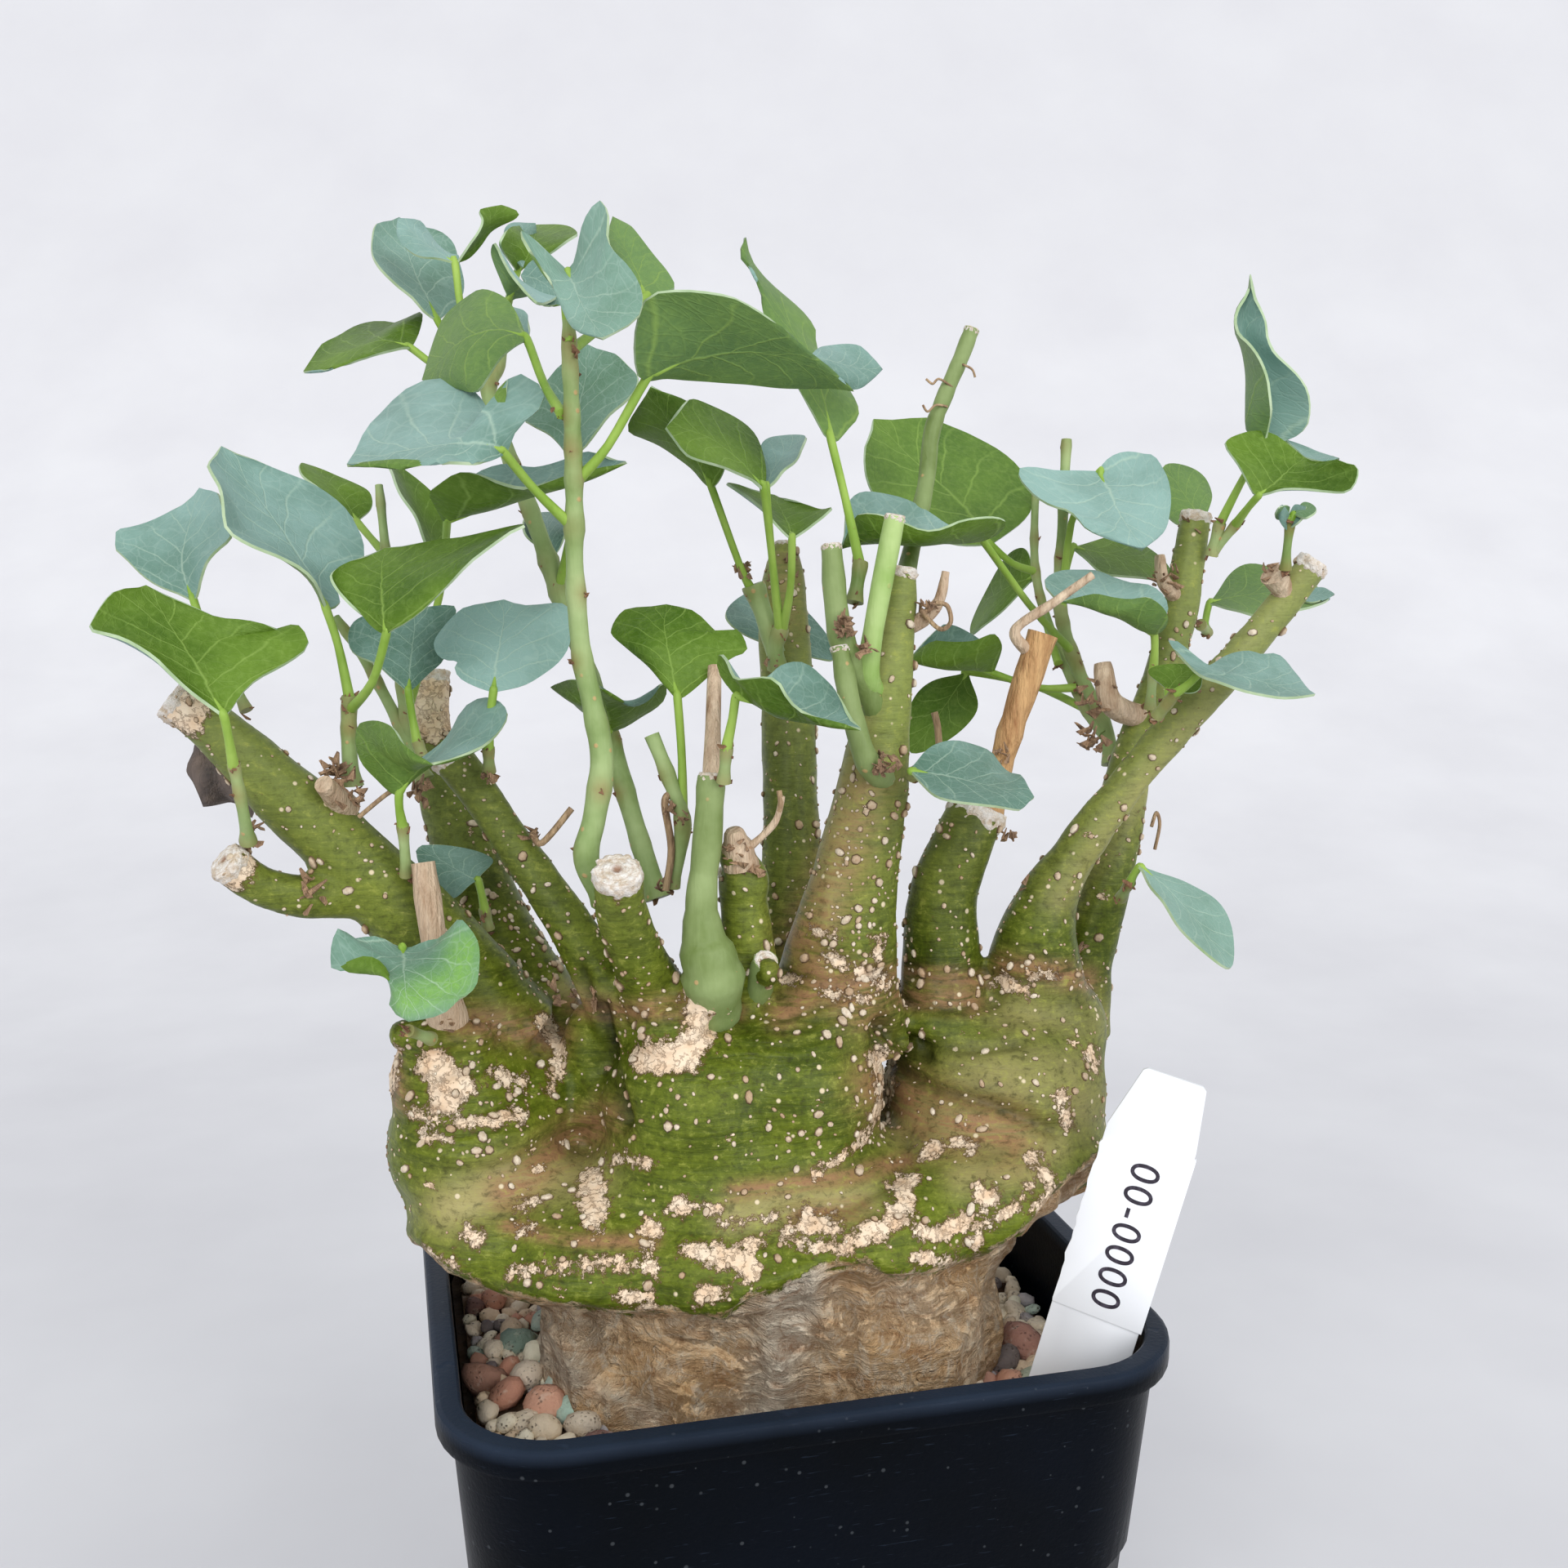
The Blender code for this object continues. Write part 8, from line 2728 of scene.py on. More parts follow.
                 (756, 757), (768, 746), (788, 742)), (231, 232, 235, 238, 239)),
            Rim(((830, 857), (824, 830), (818, 795), (815, 765), (816, 741)), (231, 232, 238)),
            Rim(((830, 857), (838, 853), (852, 842), (868, 828), (884, 816), (894, 807), (904, 802),
                 (914, 798), (911, 785), (903, 773), (893, 780), (884, 781), (872, 770), (858, 755),
                 (850, 745), (836, 742)), (231, 233, 236, 238, 237, 238)), Face.UNDER)),
    )),
    Shoot("leaf_stick_side", (
        ((886, 958, 223, 0.9), (890, 915, 221, 0.8)),
    ), (
        Leaf("roofed_blue", ((889, 918, 221), (897, 880, 219)), Ribbed(
            Rim(((900, 852), (893, 840), (884, 828), (879, 810), (883, 801), (890, 809), (900, 831),
                 (920, 831), (940, 830), (954, 838), (963, 853), (980, 870), (1005, 879), (1032, 882)),
                 (218, 221, 222, 214, 208, 206, 208, 211)),
            Rim(((900, 852), (920, 860), (940, 870), (964, 878), (992, 885), (1020, 889), (1054, 893)),
                 (218, 215, 213, 213)),
            Rim(((900, 852), (920, 842), (940, 829), (956, 816), (976, 811), (992, 816), (1008, 830),
                 (1022, 844), (1032, 860), (1043, 879)),
                 (218, 221, 226, 226, 221, 215)), Face.UPPER, 0.6), pale=-0.1),
    )),
    Shoot("shoot_middle", (
        ((952, 818, 260, 1.5), (950, 790, 258, 1.4), (957, 768, 257, 1.1)),
        ((950, 800, 259, 1.7), (936, 755, 258, 1.7), (922, 716, 257, 1.7)),
    ), (
        Leaf("hooded_green", ((920, 722, 257), (905, 690, 255)), Ribbed(
            Rim(((872, 598), (862, 590), (848, 574), (830, 560), (808, 545), (788, 535), (771, 527),
                 (773, 513), (781, 499), (786, 484)), (250, 253, 256, 253, 246)),
            Rim(((872, 598), (853, 562), (833, 532), (812, 502), (797, 473)), (250, 250, 247, 244)),
            Rim(((872, 598), (880, 590), (888, 570), (886, 545), (875, 520), (855, 500), (835, 488),
                 (815, 482)), (250, 247, 245, 244)), Face.UNDER)),
        Leaf("long_green", ((955, 775, 257), (945, 680, 250)), Ribbed(
            Rim(((936, 600), (937, 575), (930, 545), (918, 525), (895, 508), (870, 497), (846, 489),
                 (830, 495)), (243, 247, 248, 242, 235)),
            Rim(((936, 600), (905, 565), (870, 538), (840, 526), (815, 524)), (243, 239, 235, 232)),
            Rim(((936, 600), (920, 587), (895, 577), (870, 568), (845, 559), (822, 548)),
                 (243, 236, 230, 230)), Face.UNDER)),
        Leaf("blue_flag", ((955, 775, 257), (945, 680, 250)), Pinned((938, 600, 244), (985, 534, 262),
             (933, 545, 254), (972, 562, 246), Face.UPPER)),
        Leaf("small_fan", ((958, 772, 257), (968, 720, 252)), Ribbed(
            Rim(((970, 661), (962, 655), (948, 640), (935, 625), (915, 608), (898, 597), (890, 592),
                 (903, 594), (925, 600)), (248, 247, 246, 250, 256)),
            Rim(((970, 661), (965, 645), (957, 626), (948, 607)), (248, 252, 260)),
            Rim(((970, 661), (976, 657), (986, 650), (998, 640), (1010, 631), (1019, 623), (1008, 625),
                 (990, 619), (970, 612)), (248, 249, 250, 254, 259)), Face.UNDER)),
    )),
    Shoot("leaf_long_right", (
        ((1046, 738, 235, 1.2), (1054, 688, 236, 1.0)),
    ), (
        Leaf("long_hanging", ((1053, 692, 236), (1035, 610, 235)), Ribbed(
            Rim(((1018, 541), (1008, 531), (996, 508), (980, 480), (958, 445), (941, 408), (934, 378),
                 (936, 366), (930, 350), (918, 328), (906, 316), (904, 300)),
                 (234, 235, 240, 243, 246, 249)),
            Rim(((1018, 541), (1013, 512), (1002, 470), (978, 420), (955, 380), (932, 345), (914, 315),
                 (912, 291)), (234, 238, 243, 247, 250)),
            Rim(((1018, 541), (1026, 540), (1036, 528), (1048, 515), (1050, 502), (1044, 487),
                 (1030, 468), (1010, 445), (999, 422), (998, 402), (984, 384), (968, 370), (948, 354),
                 (934, 340), (924, 330), (919, 318), (920, 304)),
                 (234, 240, 246, 251, 252, 251)), Face.UNDER), pale=0.3),
    )),
    Shoot("shoot_right_thin", (
        ((1362, 935, 272, 1.6), (1350, 879, 274, 1.3), (1320, 820, 275, 1.2), (1298, 742, 275, 1.1),
         (1301, 645, 275, 1.0), (1306, 538, 275, 0.9)),
        ((1352, 900, 273, 1.2), (1328, 865, 277, 1.0), (1290, 780, 279, 0.9), (1268, 700, 281, 0.8),
         (1268, 600, 282, 0.7)),
    ), (
        Leaf("great_round", ((1268, 700, 281), (1240, 690, 278)), Ribbed(
            Rim(((1213, 667), (1190, 668), (1160, 665), (1120, 651), (1085, 626), (1068, 602),
                 (1060, 575), (1059, 545), (1062, 525)), (276, 272, 270, 273, 279)),
            Rim(((1213, 667), (1195, 640), (1165, 606), (1122, 566), (1086, 531), (1069, 514)),
                 (276, 279, 281, 282)),
            Rim(((1213, 667), (1230, 656), (1250, 641), (1262, 626), (1264, 611), (1258, 590),
                 (1245, 571), (1222, 552), (1190, 535), (1155, 519), (1130, 511), (1095, 509)),
                 (276, 282, 287, 288, 285)), Face.UNDER), pale=0.1),
        Leaf("roof_blue", ((1313, 798, 275), (1260, 740, 265)), Ribbed(
            Rim(((1204, 661), (1222, 652), (1231, 639), (1220, 634), (1200, 634), (1176, 638),
                 (1152, 648), (1130, 650), (1106, 641), (1080, 631), (1056, 629), (1044, 634),
                 (1036, 650)), (254, 247, 242, 240, 240, 242, 247)),
            Rim(((1204, 661), (1180, 664), (1140, 665), (1090, 663), (1055, 665), (1030, 671)),
                 (254, 250, 247, 247, 249)),
            Rim(((1204, 661), (1180, 650), (1160, 643), (1140, 631), (1116, 616), (1088, 606),
                 (1060, 602), (1044, 609), (1035, 625), (1029, 648)),
                 (254, 258, 262, 260, 256, 251)), Face.UPPER, 0.6)),
        Leaf("heart_blue", ((1299, 760, 275), (1312, 640, 272)), Ribbed(
            Rim(((1345, 578), (1320, 577), (1290, 577), (1266, 573), (1248, 574), (1249, 586),
                 (1258, 598), (1268, 608), (1285, 619), (1305, 625), (1318, 634), (1328, 646),
                 (1345, 656), (1370, 666)), (268, 266, 263, 260, 257, 254)),
            Rim(((1345, 578), (1358, 603), (1372, 630), (1388, 656), (1399, 674)), (268, 262, 256, 253)),
            Rim(((1345, 578), (1353, 566), (1367, 557), (1384, 554), (1402, 557), (1413, 559),
                 (1422, 572), (1430, 590), (1433, 615), (1430, 640), (1422, 656), (1412, 668)),
                 (268, 270, 267, 262, 256)), Face.UPPER), pale=0.5),
        Leaf("far_small", ((1296, 812, 276), (1280, 760, 282)), Pinned((1268, 706, 286), (1200, 740, 296),
             (1245, 672, 290), (1195, 775, 286), Face.UNDER)),
        Leaf("low_pair", ((1318, 842, 276), (1270, 842, 277)), Ribbed(
            Rim(((1216, 824), (1224, 802), (1226, 788), (1216, 776), (1192, 785), (1156, 786),
                 (1132, 780)), (277, 273, 270, 272, 276)),
            Rim(((1216, 824), (1192, 820), (1156, 819), (1112, 808)), (277, 274, 276)),
            Rim(((1216, 824), (1212, 800), (1200, 784), (1184, 774), (1164, 766), (1140, 765)),
                 (277, 284, 288, 284)), Face.UPPER, 0.6), pale=-0.1),
        Leaf("far_hanging", ((1330, 868, 277), (1262, 838, 285)), Pinned((1186, 822, 290),
             (1116, 922, 286), (1122, 850, 290), (1190, 880, 290), Face.UNDER)),
        Leaf("under_heart", ((1299, 745, 275), (1304, 705, 277)), Pinned((1312, 670, 279),
             (1434, 704, 283), (1385, 660, 291), (1365, 704, 274), Face.UNDER)),
    )),
    Shoot("leaf_right_roof", (
        ((1408, 868, 260, 0.9), (1412, 820, 258, 0.8)),
    ), (
        Leaf("green_roof", ((1412, 822, 258), (1414, 795, 256)), Ribbed(
            Rim(((1414, 777), (1425, 770), (1430, 757), (1424, 744), (1412, 734), (1402, 731),
                 (1385, 734), (1364, 732), (1343, 728), (1320, 730)), (255, 251, 248, 247, 250, 254)),
            Rim(((1414, 777), (1395, 769), (1374, 758), (1353, 750), (1326, 741), (1298, 737)),
                 (255, 252, 252, 255)),
            Rim(((1414, 777), (1424, 762), (1430, 744), (1422, 727), (1405, 717), (1385, 715),
                 (1364, 708), (1343, 699), (1322, 698), (1301, 699), (1284, 706), (1275, 718),
                 (1281, 730)), (255, 259, 263, 265, 262, 257)), Face.UPPER, 0.6), pale=0.25),
    )),
    Shoot("leaf_right_top", (
        ((1483, 680, 267, 1.0), (1494, 640, 265, 0.9)),
        ((1484, 678, 267, 0.9), (1515, 640, 264, 0.8)),
    ), (
        Leaf("tall_strip", ((1493, 643, 265), (1520, 590, 262)), Ribbed(
            Rim(((1548, 546), (1554, 520), (1557, 503), (1555, 482), (1551, 461), (1542, 440),
                 (1530, 423), (1519, 411), (1516, 402), (1514, 389), (1517, 377), (1524, 365),
                 (1530, 354)), (260, 254, 255, 259, 263, 265)),
            Rim(((1548, 546), (1530, 530), (1529, 500), (1530, 470), (1528, 446), (1524, 425),
                 (1519, 408), (1519, 390), (1523, 374), (1532, 355), (1531, 336)),
                 (262, 264, 266, 266, 265)),
            Rim(((1556, 546), (1581, 537), (1593, 530), (1602, 518), (1604, 497), (1599, 476),
                 (1587, 458), (1572, 443), (1560, 431), (1553, 413), (1551, 395), (1545, 380),
                 (1537, 365), (1536, 350)),
                 (262, 258, 256, 259, 262, 264)), Face.UPPER, 0.5), pale=0.5, fresh=0.1),
        Leaf("wide_top", ((1513, 642, 264), (1528, 622, 259)), Ribbed(
            Rim(((1540, 608), (1534, 604), (1527, 590), (1516, 569), (1502, 549), (1501, 541),
                 (1509, 535), (1527, 529), (1544, 528), (1561, 533), (1582, 544)),
                 (256, 255, 256, 259, 261)),
            Rim(((1540, 608), (1560, 592), (1580, 576), (1597, 561)), (256, 255, 258)),
            Rim(((1540, 608), (1555, 604), (1572, 599), (1596, 599), (1624, 602), (1645, 603),
                 (1656, 597), (1662, 583), (1661, 571), (1648, 567), (1638, 563), (1627, 566),
                 (1612, 566)), (256, 252, 248, 247, 250, 255)), Face.UNDER)),
    ), (
        Ribbed(Rim(((1572, 538), (1590, 544), (1606, 551), (1625, 558)), (262, 263, 262)),
               Rim(((1572, 538), (1590, 549), (1608, 558), (1640, 562)), (262, 262, 259)),
               Rim(((1572, 538), (1588, 552), (1600, 561), (1620, 567)), (262, 260, 258)), Face.UPPER),
    )),
    Shoot("leaf_right_side", (
        ((1416, 878, 241, 0.9), (1440, 848, 238, 0.8)),
    ), (
        Leaf("curved_blue", ((1438, 850, 238), (1455, 838, 237)), Ribbed(
            Rim(((1468, 824), (1455, 801), (1442, 787), (1431, 784), (1437, 795), (1452, 811),
                 (1470, 827), (1495, 836), (1520, 845), (1550, 853), (1580, 856), (1598, 856)),
                 (236, 239, 240, 232, 227, 227, 231)),
            Rim(((1468, 824), (1492, 824), (1520, 829), (1560, 840), (1610, 851)), (236, 233, 232, 234)),
            Rim(((1468, 824), (1475, 819), (1485, 814), (1499, 805), (1513, 800), (1530, 799),
                 (1544, 803), (1561, 802), (1572, 809), (1582, 821), (1593, 834), (1601, 847)),
                 (236, 239, 241, 240, 236)), Face.UPPER)),
        Leaf("green_under", ((1429, 862, 239), (1431, 856, 240)), Pinned((1430, 846, 241),
             (1463, 816, 241), (1408, 820, 244), (1466, 846, 239), Face.UNDER)),
    )),
    Shoot("leaf_right_low", (
        ((1372, 1100, 252, 0.9), (1384, 1080, 248, 0.8)),
    ), (
        Leaf("hanging_right", ((1383, 1082, 248), (1389, 1070, 247)), Pinned((1395, 1060, 246),
             (1506, 1186, 240), (1488, 1104, 250), (1438, 1124, 238), Face.UPPER), pale=0.3, fresh=0.2),
    )),
    Shoot("leaf_trunk_right", (
        ((1118, 950, 232, 0.9), (1121, 946, 230, 0.8)),
    ), (
        Leaf("spoon_blue", ((1120, 947, 231), (1124, 945, 229)), Ribbed(
            Rim(((1114, 944), (1124, 932), (1136, 918), (1152, 910), (1172, 908), (1192, 914),
                 (1212, 922), (1224, 936), (1236, 946), (1252, 950), (1263, 960)),
                 (228, 233, 237, 234, 227)),
            Rim(((1114, 944), (1150, 950), (1190, 958), (1230, 967), (1266, 977)), (228, 226, 225, 225)),
            Rim(((1114, 944), (1128, 960), (1144, 974), (1164, 980), (1192, 984), (1220, 988),
                 (1248, 993), (1261, 989)), (228, 222, 219, 220, 224)), Face.UPPER), pale=-0.4),
    )),
    Shoot("leaf_back_middle", (
        ((990, 860, 275, 0.9), (985, 830, 279, 0.8)),
    ), (
        Leaf("far_centre", ((985, 832, 279), (975, 815, 282)), Pinned((965, 802, 284), (950, 722, 296),
             (888, 757, 280), (1022, 800, 288), Face.UPPER), pale=-0.3),
    )),
    Shoot("leaf_back_right", (
        ((1470, 765, 277, 0.9), (1480, 775, 282, 0.8)),
    ), (
        Leaf("far_right", ((1479, 773, 281), (1476, 762, 284)), Pinned((1480, 738, 286), (1628, 730, 288),
             (1530, 694, 296), (1548, 752, 276), Face.UNDER), pale=0.3),
    ), (
        Ribbed(Rim(((1588, 734), (1600, 724), (1616, 720), (1628, 722)), (284, 286, 286)),
               Rim(((1588, 734), (1605, 730), (1634, 728)), (284, 284, 284)),
               Rim(((1588, 734), (1604, 738), (1622, 734)), (284, 282, 283)), Face.UPPER),
    )),
    Shoot("leaf_back_top", (
        ((1462, 660, 276, 0.8), (1466, 652, 279, 0.7)),
    ), (
        Leaf("half_hidden", ((1466, 653, 279), (1470, 648, 281)), Pinned((1474, 644, 283),
             (1426, 570, 290), (1480, 592, 294), (1428, 632, 282), Face.UNDER), pale=0.3),
    )),
    Shoot("leaf_tiny_bright", (
        ((1574, 698, 241, 0.8), (1576, 672, 240, 0.7), (1580, 640, 239, 0.7)),
    ), (
        Leaf("tiny_up", ((1580, 642, 239), (1582, 636, 239)), Pinned((1584, 630, 239), (1612, 624, 237),
             (1598, 616, 242), (1600, 634, 235), Face.UPPER), fresh=1.0),
        Leaf("tiny_left", ((1580, 642, 239), (1578, 638, 239)), Pinned((1576, 634, 239), (1566, 622, 235),
             (1562, 634, 239), (1578, 620, 239), Face.UPPER), fresh=1.0),
    ), (
        Ribbed(Rim(((1576, 650), (1568, 640), (1566, 622)), (239, 238, 237)),
               Rim(((1576, 650), (1573, 636), (1570, 618)), (239, 238, 236)),
               Rim(((1576, 650), (1580, 640), (1578, 628)), (239, 240, 239)), Face.UPPER),
        Ribbed(Rim(((1578, 648), (1578, 634), (1584, 620), (1592, 617)), (239, 241, 241)),
               Rim(((1578, 648), (1586, 634), (1600, 621)), (239, 239, 239)),
               Rim(((1578, 648), (1590, 640), (1600, 630)), (239, 237, 237)), Face.UPPER),
    )),
)


@dataclass(frozen=True)
class BladeSizes:
    """Sizes of every blade, stalk and stem."""

    columns: int = 16
    rows: int = 24
    thick: float = 0.45 * MM
    wave: float = 0.55 * MM
    ribbed_wave: float = 0.3
    ripples: float = 9.0
    pucker: float = 0.16 * MM
    full_length: float = 25 * MM
    widest: float = 0.66
    rise: float = 1.2
    fall: float = 0.62
    base_width: float = 0.07
    tip_crowding: float = 1.55
    step: float = 0.012
    patch_px: float = 26.0
    stalk: float = 0.6 * MM
    stem_share: float = 0.88
    joint_reach: float = 1.5 * MM
    node_reach: float = 1.6 * MM
    joint_swell: float = 0.32
    scar_gap: float = 8.5 * MM
    scar_turn: float = 2.4
    scales: int = 4
    scale_spread: float = 0.9


class Blade:
    """One leaf blade with its stalk."""

    def __init__(self, leaf: Leaf, sizes: BladeSizes) -> None:
        """Keep the leaf and solve its surface.

        Args:
            leaf: The leaf.
            sizes: Sizes of the blade.
        """
        self.leaf, self.sizes = leaf, sizes
        self.chance = sum(map(ord, leaf.name))
        self.ribbed = isinstance(leaf.form, Ribbed)
        self.surface = RibbedPlate(leaf.form) if self.ribbed else self.bend(leaf.form)

    def bend(self, form: Pinned) -> BentPlate:
        """Surface of a pinned leaf, its upper face on the normal's side.

        Args:
            form: The leaf's pins.
        Returns:
            The surface.
        """
        turn = ((form.side_b[0] - form.side_a[0]) * (form.base[1] - form.tip[1])
                - (form.side_a[1] - form.side_b[1]) * (form.tip[0] - form.base[0]))
        swap = (turn > 0) != (form.shows is Face.UPPER)
        left, right = (form.side_b, form.side_a) if swap else (form.side_a, form.side_b)
        w = self.sizes.widest
        pins = [((0.0, 0.0), form.base), ((0.0, 1.0), form.tip), ((-0.5, w), left), ((0.5, w), right)]
        pins += [((-across if swap else across, along), point) for (across, along), point in form.bends]
        return BentPlate([(place, STATION.sight(*point)) for place, point in pins])

    def points(self, across: np.ndarray, along: np.ndarray) -> np.ndarray:
        """Points of the blade.

        Args:
            across: From -1 at one edge to 1 at the other.
            along: From 0 at the base to 1 at the tip.
        Returns:
            Rows of points.
        """
        if not self.ribbed:
            across = 0.5 * across * self.half_width(along)
        return self.surface.at(np.column_stack([across, along]))

    def half_width(self, along: np.ndarray) -> np.ndarray:
        """Half width at places along, as a share of the greatest.

        Args:
            along: From 0 at the base to 1 at the tip.
        Returns:
            One share a place.
        """
        s = self.sizes
        along = np.clip(along, 1e-6, 1 - 1e-6)
        most = s.widest ** s.rise * (1 - s.widest) ** s.fall
        low = s.base_width * np.clip(1 - along * 4, 0.0, 1.0)
        return np.maximum(along ** s.rise * (1 - along) ** s.fall / most, low)

    def normals(self, across: np.ndarray, along: np.ndarray) -> np.ndarray:
        """Normals of the blade.

        Args:
            across: From -1 at one edge to 1 at the other.
            along: From 0 at the base to 1 at the tip.
        Returns:
            Rows of normals.
        """
        step = self.sizes.step
        over = self.points(across + step, along) - self.points(across - step, along)
        low, high = np.clip(along - step, 0.0, 1.0), np.clip(along + step, 0.0, 1.0)
        normals = np.cross(over, self.points(across, high) - self.points(across, low))
        return normals / np.maximum(np.linalg.norm(normals, axis=1), 1e-12)[:, None]

    def mesh(self) -> bpy.types.Mesh:
        """Blade with two faces and a pale edge.

        Returns:
            The mesh, with its marks.
        """
        s = self.sizes
        shape = bmesh.new()
        bmesh.ops.create_grid(shape, x_segments=s.columns, y_segments=s.rows, size=0.5)
        across = np.array([vert.co.x * 2 for vert in shape.verts])
        rows = np.array([vert.co.y + 0.5 for vert in shape.verts])
        along = rows if self.ribbed else 1 - (1 - rows) ** s.tip_crowding
        map_across = 0.5 * across * self.half_width(along)
        wave = s.wave * (2 * map_across) ** 2 * np.sign(map_across)
        wave *= np.sin(s.ripples * along + self.chance % 7)
        if self.ribbed:
            wave *= s.ribbed_wave
        base, tip = self.points(np.zeros(2), np.array((0.0, 1.0)))
        size = min(np.linalg.norm(tip - base) / s.full_length, 1.0)
        points, normals = self.points(across, along), self.normals(across, along)
        for vert, point, normal, lift in zip(shape.verts, points, normals, wave):
            vert.co = Vector(point + normal * lift * size)
            vert.co += Vector(normal) * noise.noise(vert.co * 210.0) * s.pucker * size
            vert.co.x = min(max(vert.co.x, CAD_LOW[0] + s.thick), CAD_HIGH[0] - s.thick)
        layer = shape.loops.layers.uv.new("blade")
        shape.verts.index_update()
        for loop in (loop for face in shape.faces for loop in face.loops):
            number = loop.vert.index
            loop[layer].uv = (0.5 + map_across[number], along[number])
        paint_faces(shape, Part.UPPER.value, smooth=True)
        ends = [vert for vert in shape.verts if rows[vert.index] > 0.999]
        bmesh.ops.pointmerge(shape, verts=ends, merge_co=sum((v.co for v in ends), Vector()) / len(ends))
        mesh = self.thicken(mesh_of(shape, self.leaf.name), s.thick * (0.6 + 0.4 * size))
        self.mark(mesh)
        return mesh

    def thicken(self, sheet: bpy.types.Mesh, thick: float) -> bpy.types.Mesh:
        """Sheet with thickness, its faces and its edge in their own finishes.

        Args:
            sheet: The sheet.
            thick: Thickness.
        Returns:
            The mesh.
        """
        thing = new_object(self.leaf.name, sheet)
        for finish in PLANT_FINISHES:
            sheet.materials.append(finish.material())
        solid = thing.modifiers.new("thick", "SOLIDIFY")
        solid.thickness, solid.offset, solid.use_even_offset = thick, 0.0, False
        solid.material_offset = Part.UNDER.value - Part.UPPER.value
        solid.material_offset_rim = Part.EDGE.value - Part.UPPER.value
        return bake(thing)

    def mark(self, mesh: bpy.types.Mesh) -> None:
        """Store the leaf's lot and its own tints.

        Args:
            mesh: The blade.
        """
        yellow = 0.0
        if self.leaf.patch:
            yellow = nearness(*STATION.pixels(points_of(mesh)), self.leaf.patch, self.sizes.patch_px)
        marks = {"lot": (self.chance % 97) / 97, "pale": self.leaf.pale, "fresh": self.leaf.fresh,
                 "yellow": yellow, "node": 0.0}
        for name, values in marks.items():
            set_mark(mesh, name, values)

    def stalk(self) -> bpy.types.Mesh:
        """Stalk from the stem into the blade's base, thicker at both ends.

        Returns:
            The mesh.
        """
        thick = self.sizes.stalk
        outer = [STATION.sight(*point) for point in self.leaf.stalk]
        inner = [Vector(point) for point in self.points(np.zeros(3), np.array((0.01, 0.06, 0.16)))]
        shares = [1.35] + [1.0] * (len(outer) - 1) + [1.05, 0.75, 0.3]
        stations = [(point, thick * share) for point, share in zip(outer + inner, shares)]
        mesh = tube("stalk", stations, 4, 10, Part.STALK.value)
        set_mark(mesh, "node", 0.0)
        return mesh


class LeafyShoot:
    """One leafy shoot: stems with nodes, stalks, blades and small scales."""

    def __init__(self, shoot: Shoot, sizes: BladeSizes) -> None:
        """Keep the shoot."""
        self.shoot, self.sizes = shoot, sizes
        self.rng = random.Random(sum(map(ord, shoot.name)))

    def stem(self, stations: Thick, joints: list[Vector]) -> list[bpy.types.Mesh]:
        """Stem that swells at its joints, with dried scales at each leaf scar.

        Args:
            stations: Sight points with radii in millimetres.
            joints: Points where stalks leave.
        Returns:
            The stem and its scales.
        """
        s = self.sizes
        dense, radii = smooth_path(STATION.route(stations, s.stem_share), 8)
        scars = self.scars(dense, radii)
        joints = joints + scars
        swollen = []
        for point, radius in zip(dense, radii):
            near = max(math.exp(-((point - joint).length / s.joint_reach) ** 2) for joint in joints)
            swell = 1.0 + s.joint_swell * near + 0.05 * noise.noise(point * 260.0)
            swollen.append((point, radius * swell))
        mesh = tube("stem", swollen, 1, 12, Part.STEM.value)
        gaps = [np.linalg.norm(points_of(mesh) - np.array(joint), axis=1) for joint in joints]
        set_mark(mesh, "node", np.exp(-(np.min(gaps, axis=0) / s.node_reach) ** 2))
        return [mesh] + [self.scale(scar, 0.7, 1.3) for scar in scars for _ in range(2)]

    def scale(self, at: Vector, least_mm: float, most_mm: float) -> bpy.types.Mesh:
        """One dried scale of a length between two lengths."""
        return flake(at, self.rng.uniform(least_mm, most_mm) * MM, self.rng, Part.BRACT.value)

    def scars(self, path: list[Vector], radii: list[float]) -> list[Vector]:
        """Leaf scars that wind up a stem.

        Args:
            path: Points along the stem.
            radii: Its radii there.
        Returns:
            A point on the stem's side for each scar.
        """
        found, gone, turn = [], 0.0, self.rng.uniform(0, math.tau)
        for before, point, radius in zip(path, path[1:], radii[1:]):
            gone += (point - before).length
            if gone > self.sizes.scar_gap:
                gone, turn = 0.0, turn + self.sizes.scar_turn
                found.append(point + Vector((math.cos(turn), math.sin(turn), 0.0)) * radius)
        return found

    def dress(self) -> None:
        """Build the shoot's mesh and register it."""
        s, name = self.sizes, self.shoot.name
        joints = [STATION.sight(*(leaf.joint or leaf.stalk[0])) for leaf in self.shoot.leaves]
        joints.append(STATION.sight(*self.shoot.stems[0][0][:3]))
        meshes = [piece for stem in self.shoot.stems for piece in self.stem(stem, joints)]
        for leaf in self.shoot.leaves:
            blade = Blade(leaf, s)
            meshes += [blade.mesh(), blade.stalk()]
        for number, form in enumerate(self.shoot.folds):
            meshes.append(Blade(Leaf(f"{name}_fold{number}", (), form), s).mesh())
        for joint in joints:
            for _ in range(s.scales):
                shift = Vector([self.rng.uniform(-1, 1) for _ in range(3)]) * s.scale_spread * MM
                meshes.append(self.scale(joint + shift, 0.7, 1.5))
        show(merge(name + "_green", meshes, PLANT_FINISHES, 55.0), Slot.LEAF, name)


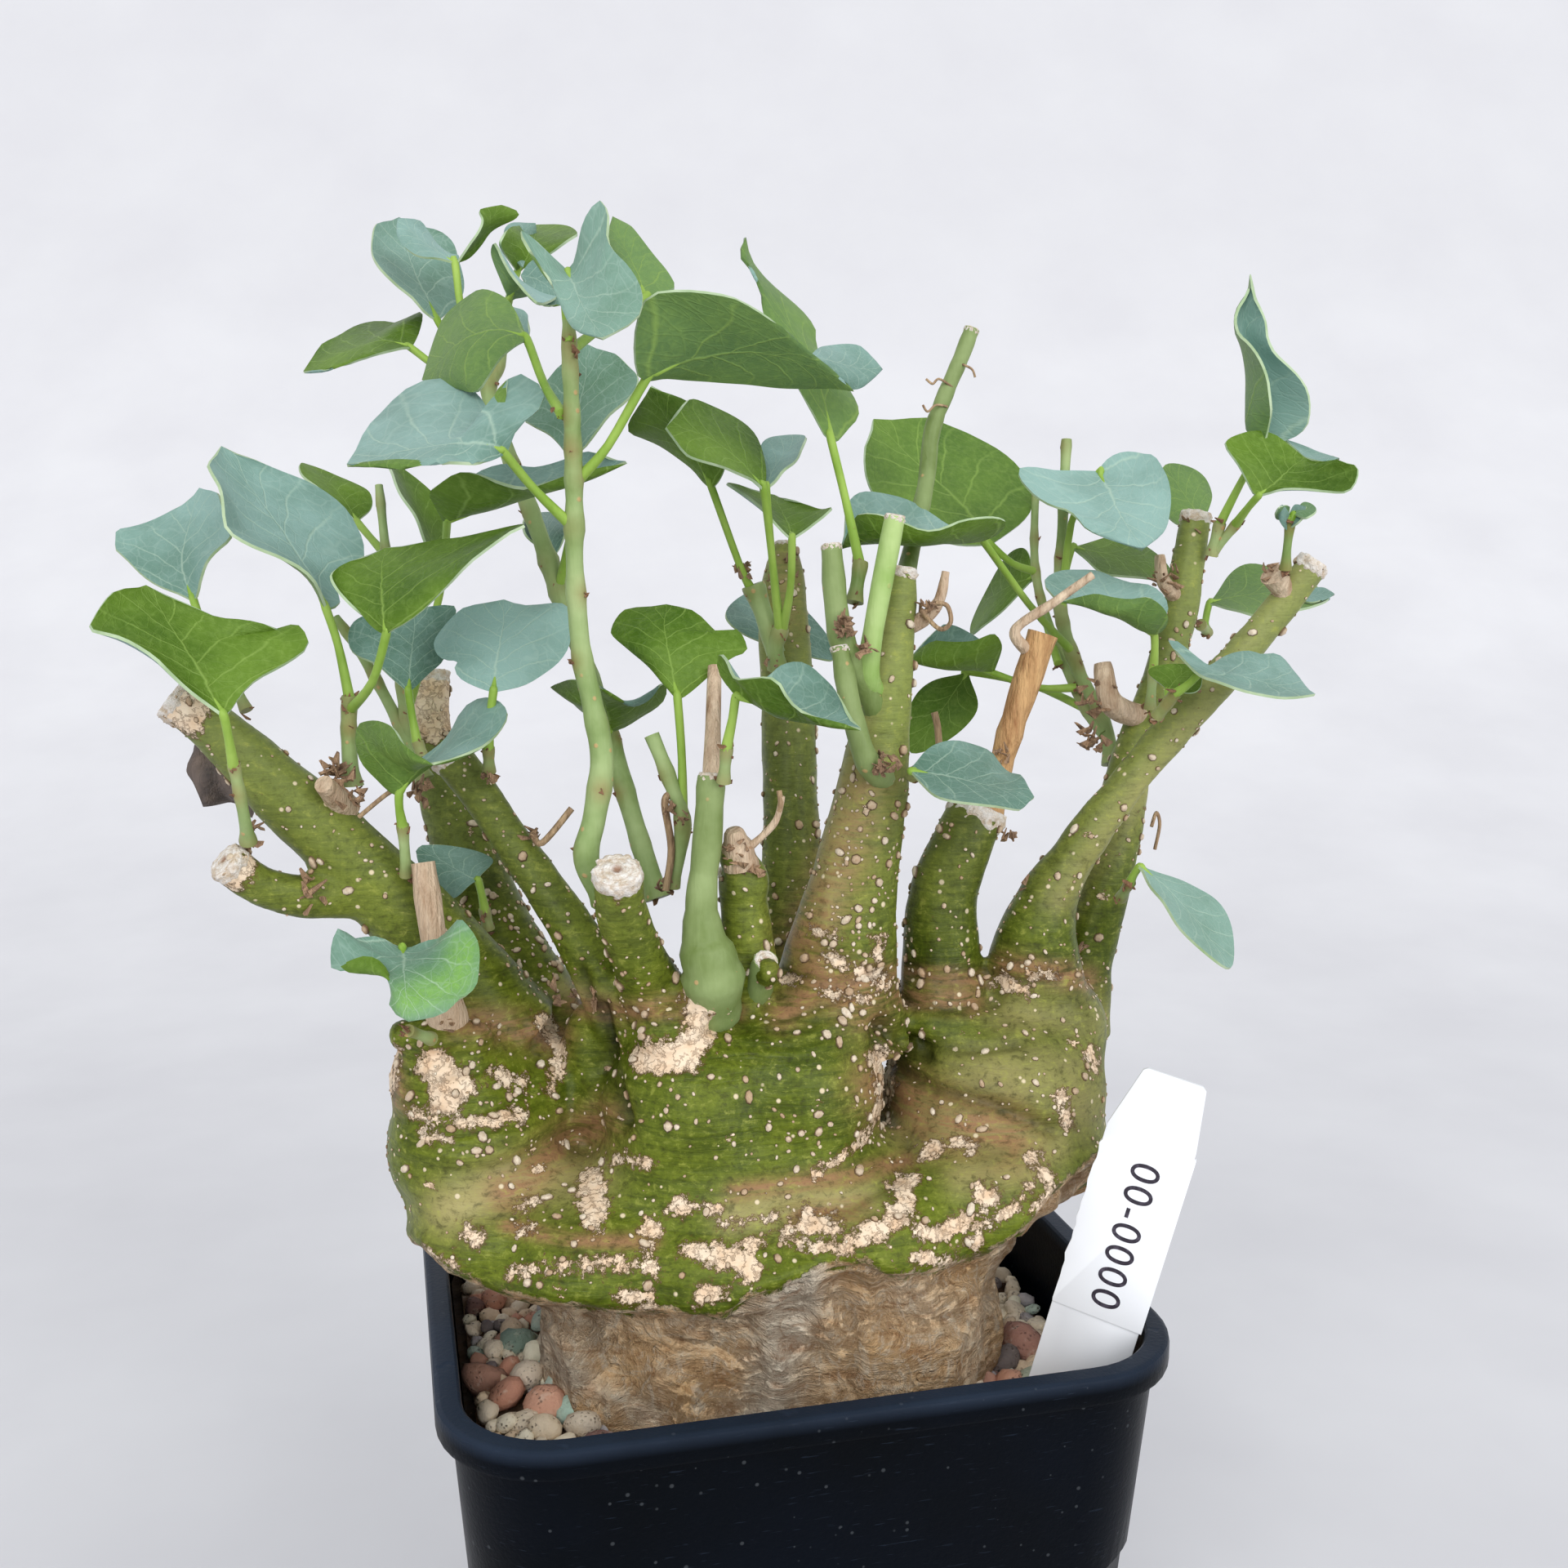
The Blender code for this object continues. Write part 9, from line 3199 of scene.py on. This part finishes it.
@dataclass(frozen=True)
class StageSizes:
    """Sizes of the floor and wall, and the lights."""

    half: float = 2.2
    wall: float = 2.6
    bend: float = 1.2
    bend_steps: int = 24
    shift: float = -0.6
    sky: Colour = (0.95, 0.97, 1.0)
    sky_strength: float = 0.74
    suns: tuple[tuple[str, Sight, float, float], ...] = (
        ("key", (-0.6, -1.0, 0.7), 34.0, 1.1), ("fill", (0.45, -1.0, 0.38), 40.0, 1.25))
    sensor_mm: float = 36.0


class Stage:
    """Pale floor and wall in one sweep, soft lights and the camera."""

    def __init__(self, sizes: StageSizes) -> None:
        """Keep the sizes."""
        self.sizes = sizes

    def sweep(self) -> None:
        """Floor that curves up into a wall."""
        s = self.sizes
        shape = bmesh.new()
        bmesh.ops.create_grid(shape, x_segments=1, y_segments=1, size=s.half)
        back = [edge for edge in shape.edges if all(vert.co.y > 2.0 for vert in edge.verts)]
        shift_new(shape, bmesh.ops.extrude_edge_only(shape, edges=back), (0.0, 0.0, s.wall))
        foot = [edge for edge in shape.edges if all(abs(v.co.z) < 1e-6 and v.co.y > 2.0 for v in edge.verts)]
        bmesh.ops.bevel(shape, geom=foot, offset=s.bend, segments=s.bend_steps, profile=0.5,
                        affect="EDGES", material=-1)
        place = Matrix.Rotation(-STATION.yaw, 4, "Z") @ Matrix.Translation((0, s.shift, 0))
        bmesh.ops.transform(shape, matrix=place, verts=shape.verts)
        mesh = mesh_of(shape, "floor")
        mesh.shade_smooth()
        mesh.materials.append(Plaster("plaster").material())
        new_object("floor", mesh)

    def lights(self) -> None:
        """Soft light from all round with a broad key from the upper left."""
        world = bpy.data.worlds.new("soft")
        bpy.context.scene.world = world
        world.use_nodes = True
        back = world.node_tree.nodes["Background"]
        back.inputs["Color"].default_value = (*self.sizes.sky, 1.0)
        back.inputs["Strength"].default_value = self.sizes.sky_strength
        for name, way, spread, power in self.sizes.suns:
            data = bpy.data.lights.new(name, "SUN")
            data.angle, data.energy = math.radians(spread), power
            lamp = new_object(name, data)
            lamp.rotation_euler = (-Vector(way)).to_track_quat("-Z", "Y").to_euler()

    def camera(self) -> None:
        """Camera at the station."""
        data = bpy.data.cameras.new("camera")
        data.sensor_width = self.sizes.sensor_mm
        data.lens = STATION.focal_px / STATION.image_px * data.sensor_width
        data.clip_start, data.clip_end = 0.01, 20.0
        thing = new_object("camera", data)
        thing.location = STATION.place
        thing.rotation_euler = (math.pi / 2 - STATION.pitch, 0.0, -STATION.yaw)
        bpy.context.scene.camera = thing

    def dress(self) -> None:
        """Build the stage."""
        self.sweep()
        self.lights()
        self.camera()
        bpy.context.scene.view_settings.view_transform = "Standard"


def main() -> None:
    """Build every sub-assembly in order."""
    logging.basicConfig(level=logging.INFO, format="%(name)s %(message)s")
    Pot(PotSizes()).dress()
    Filling(FillSizes()).dress()
    Label(LabelSizes()).dress()
    Caudex(CaudexSizes()).dress()
    for shoot in SHOOTS:
        LeafyShoot(shoot, BladeSizes()).dress()
    Stage(StageSizes()).dress()


if __name__ == "__main__":
    main()
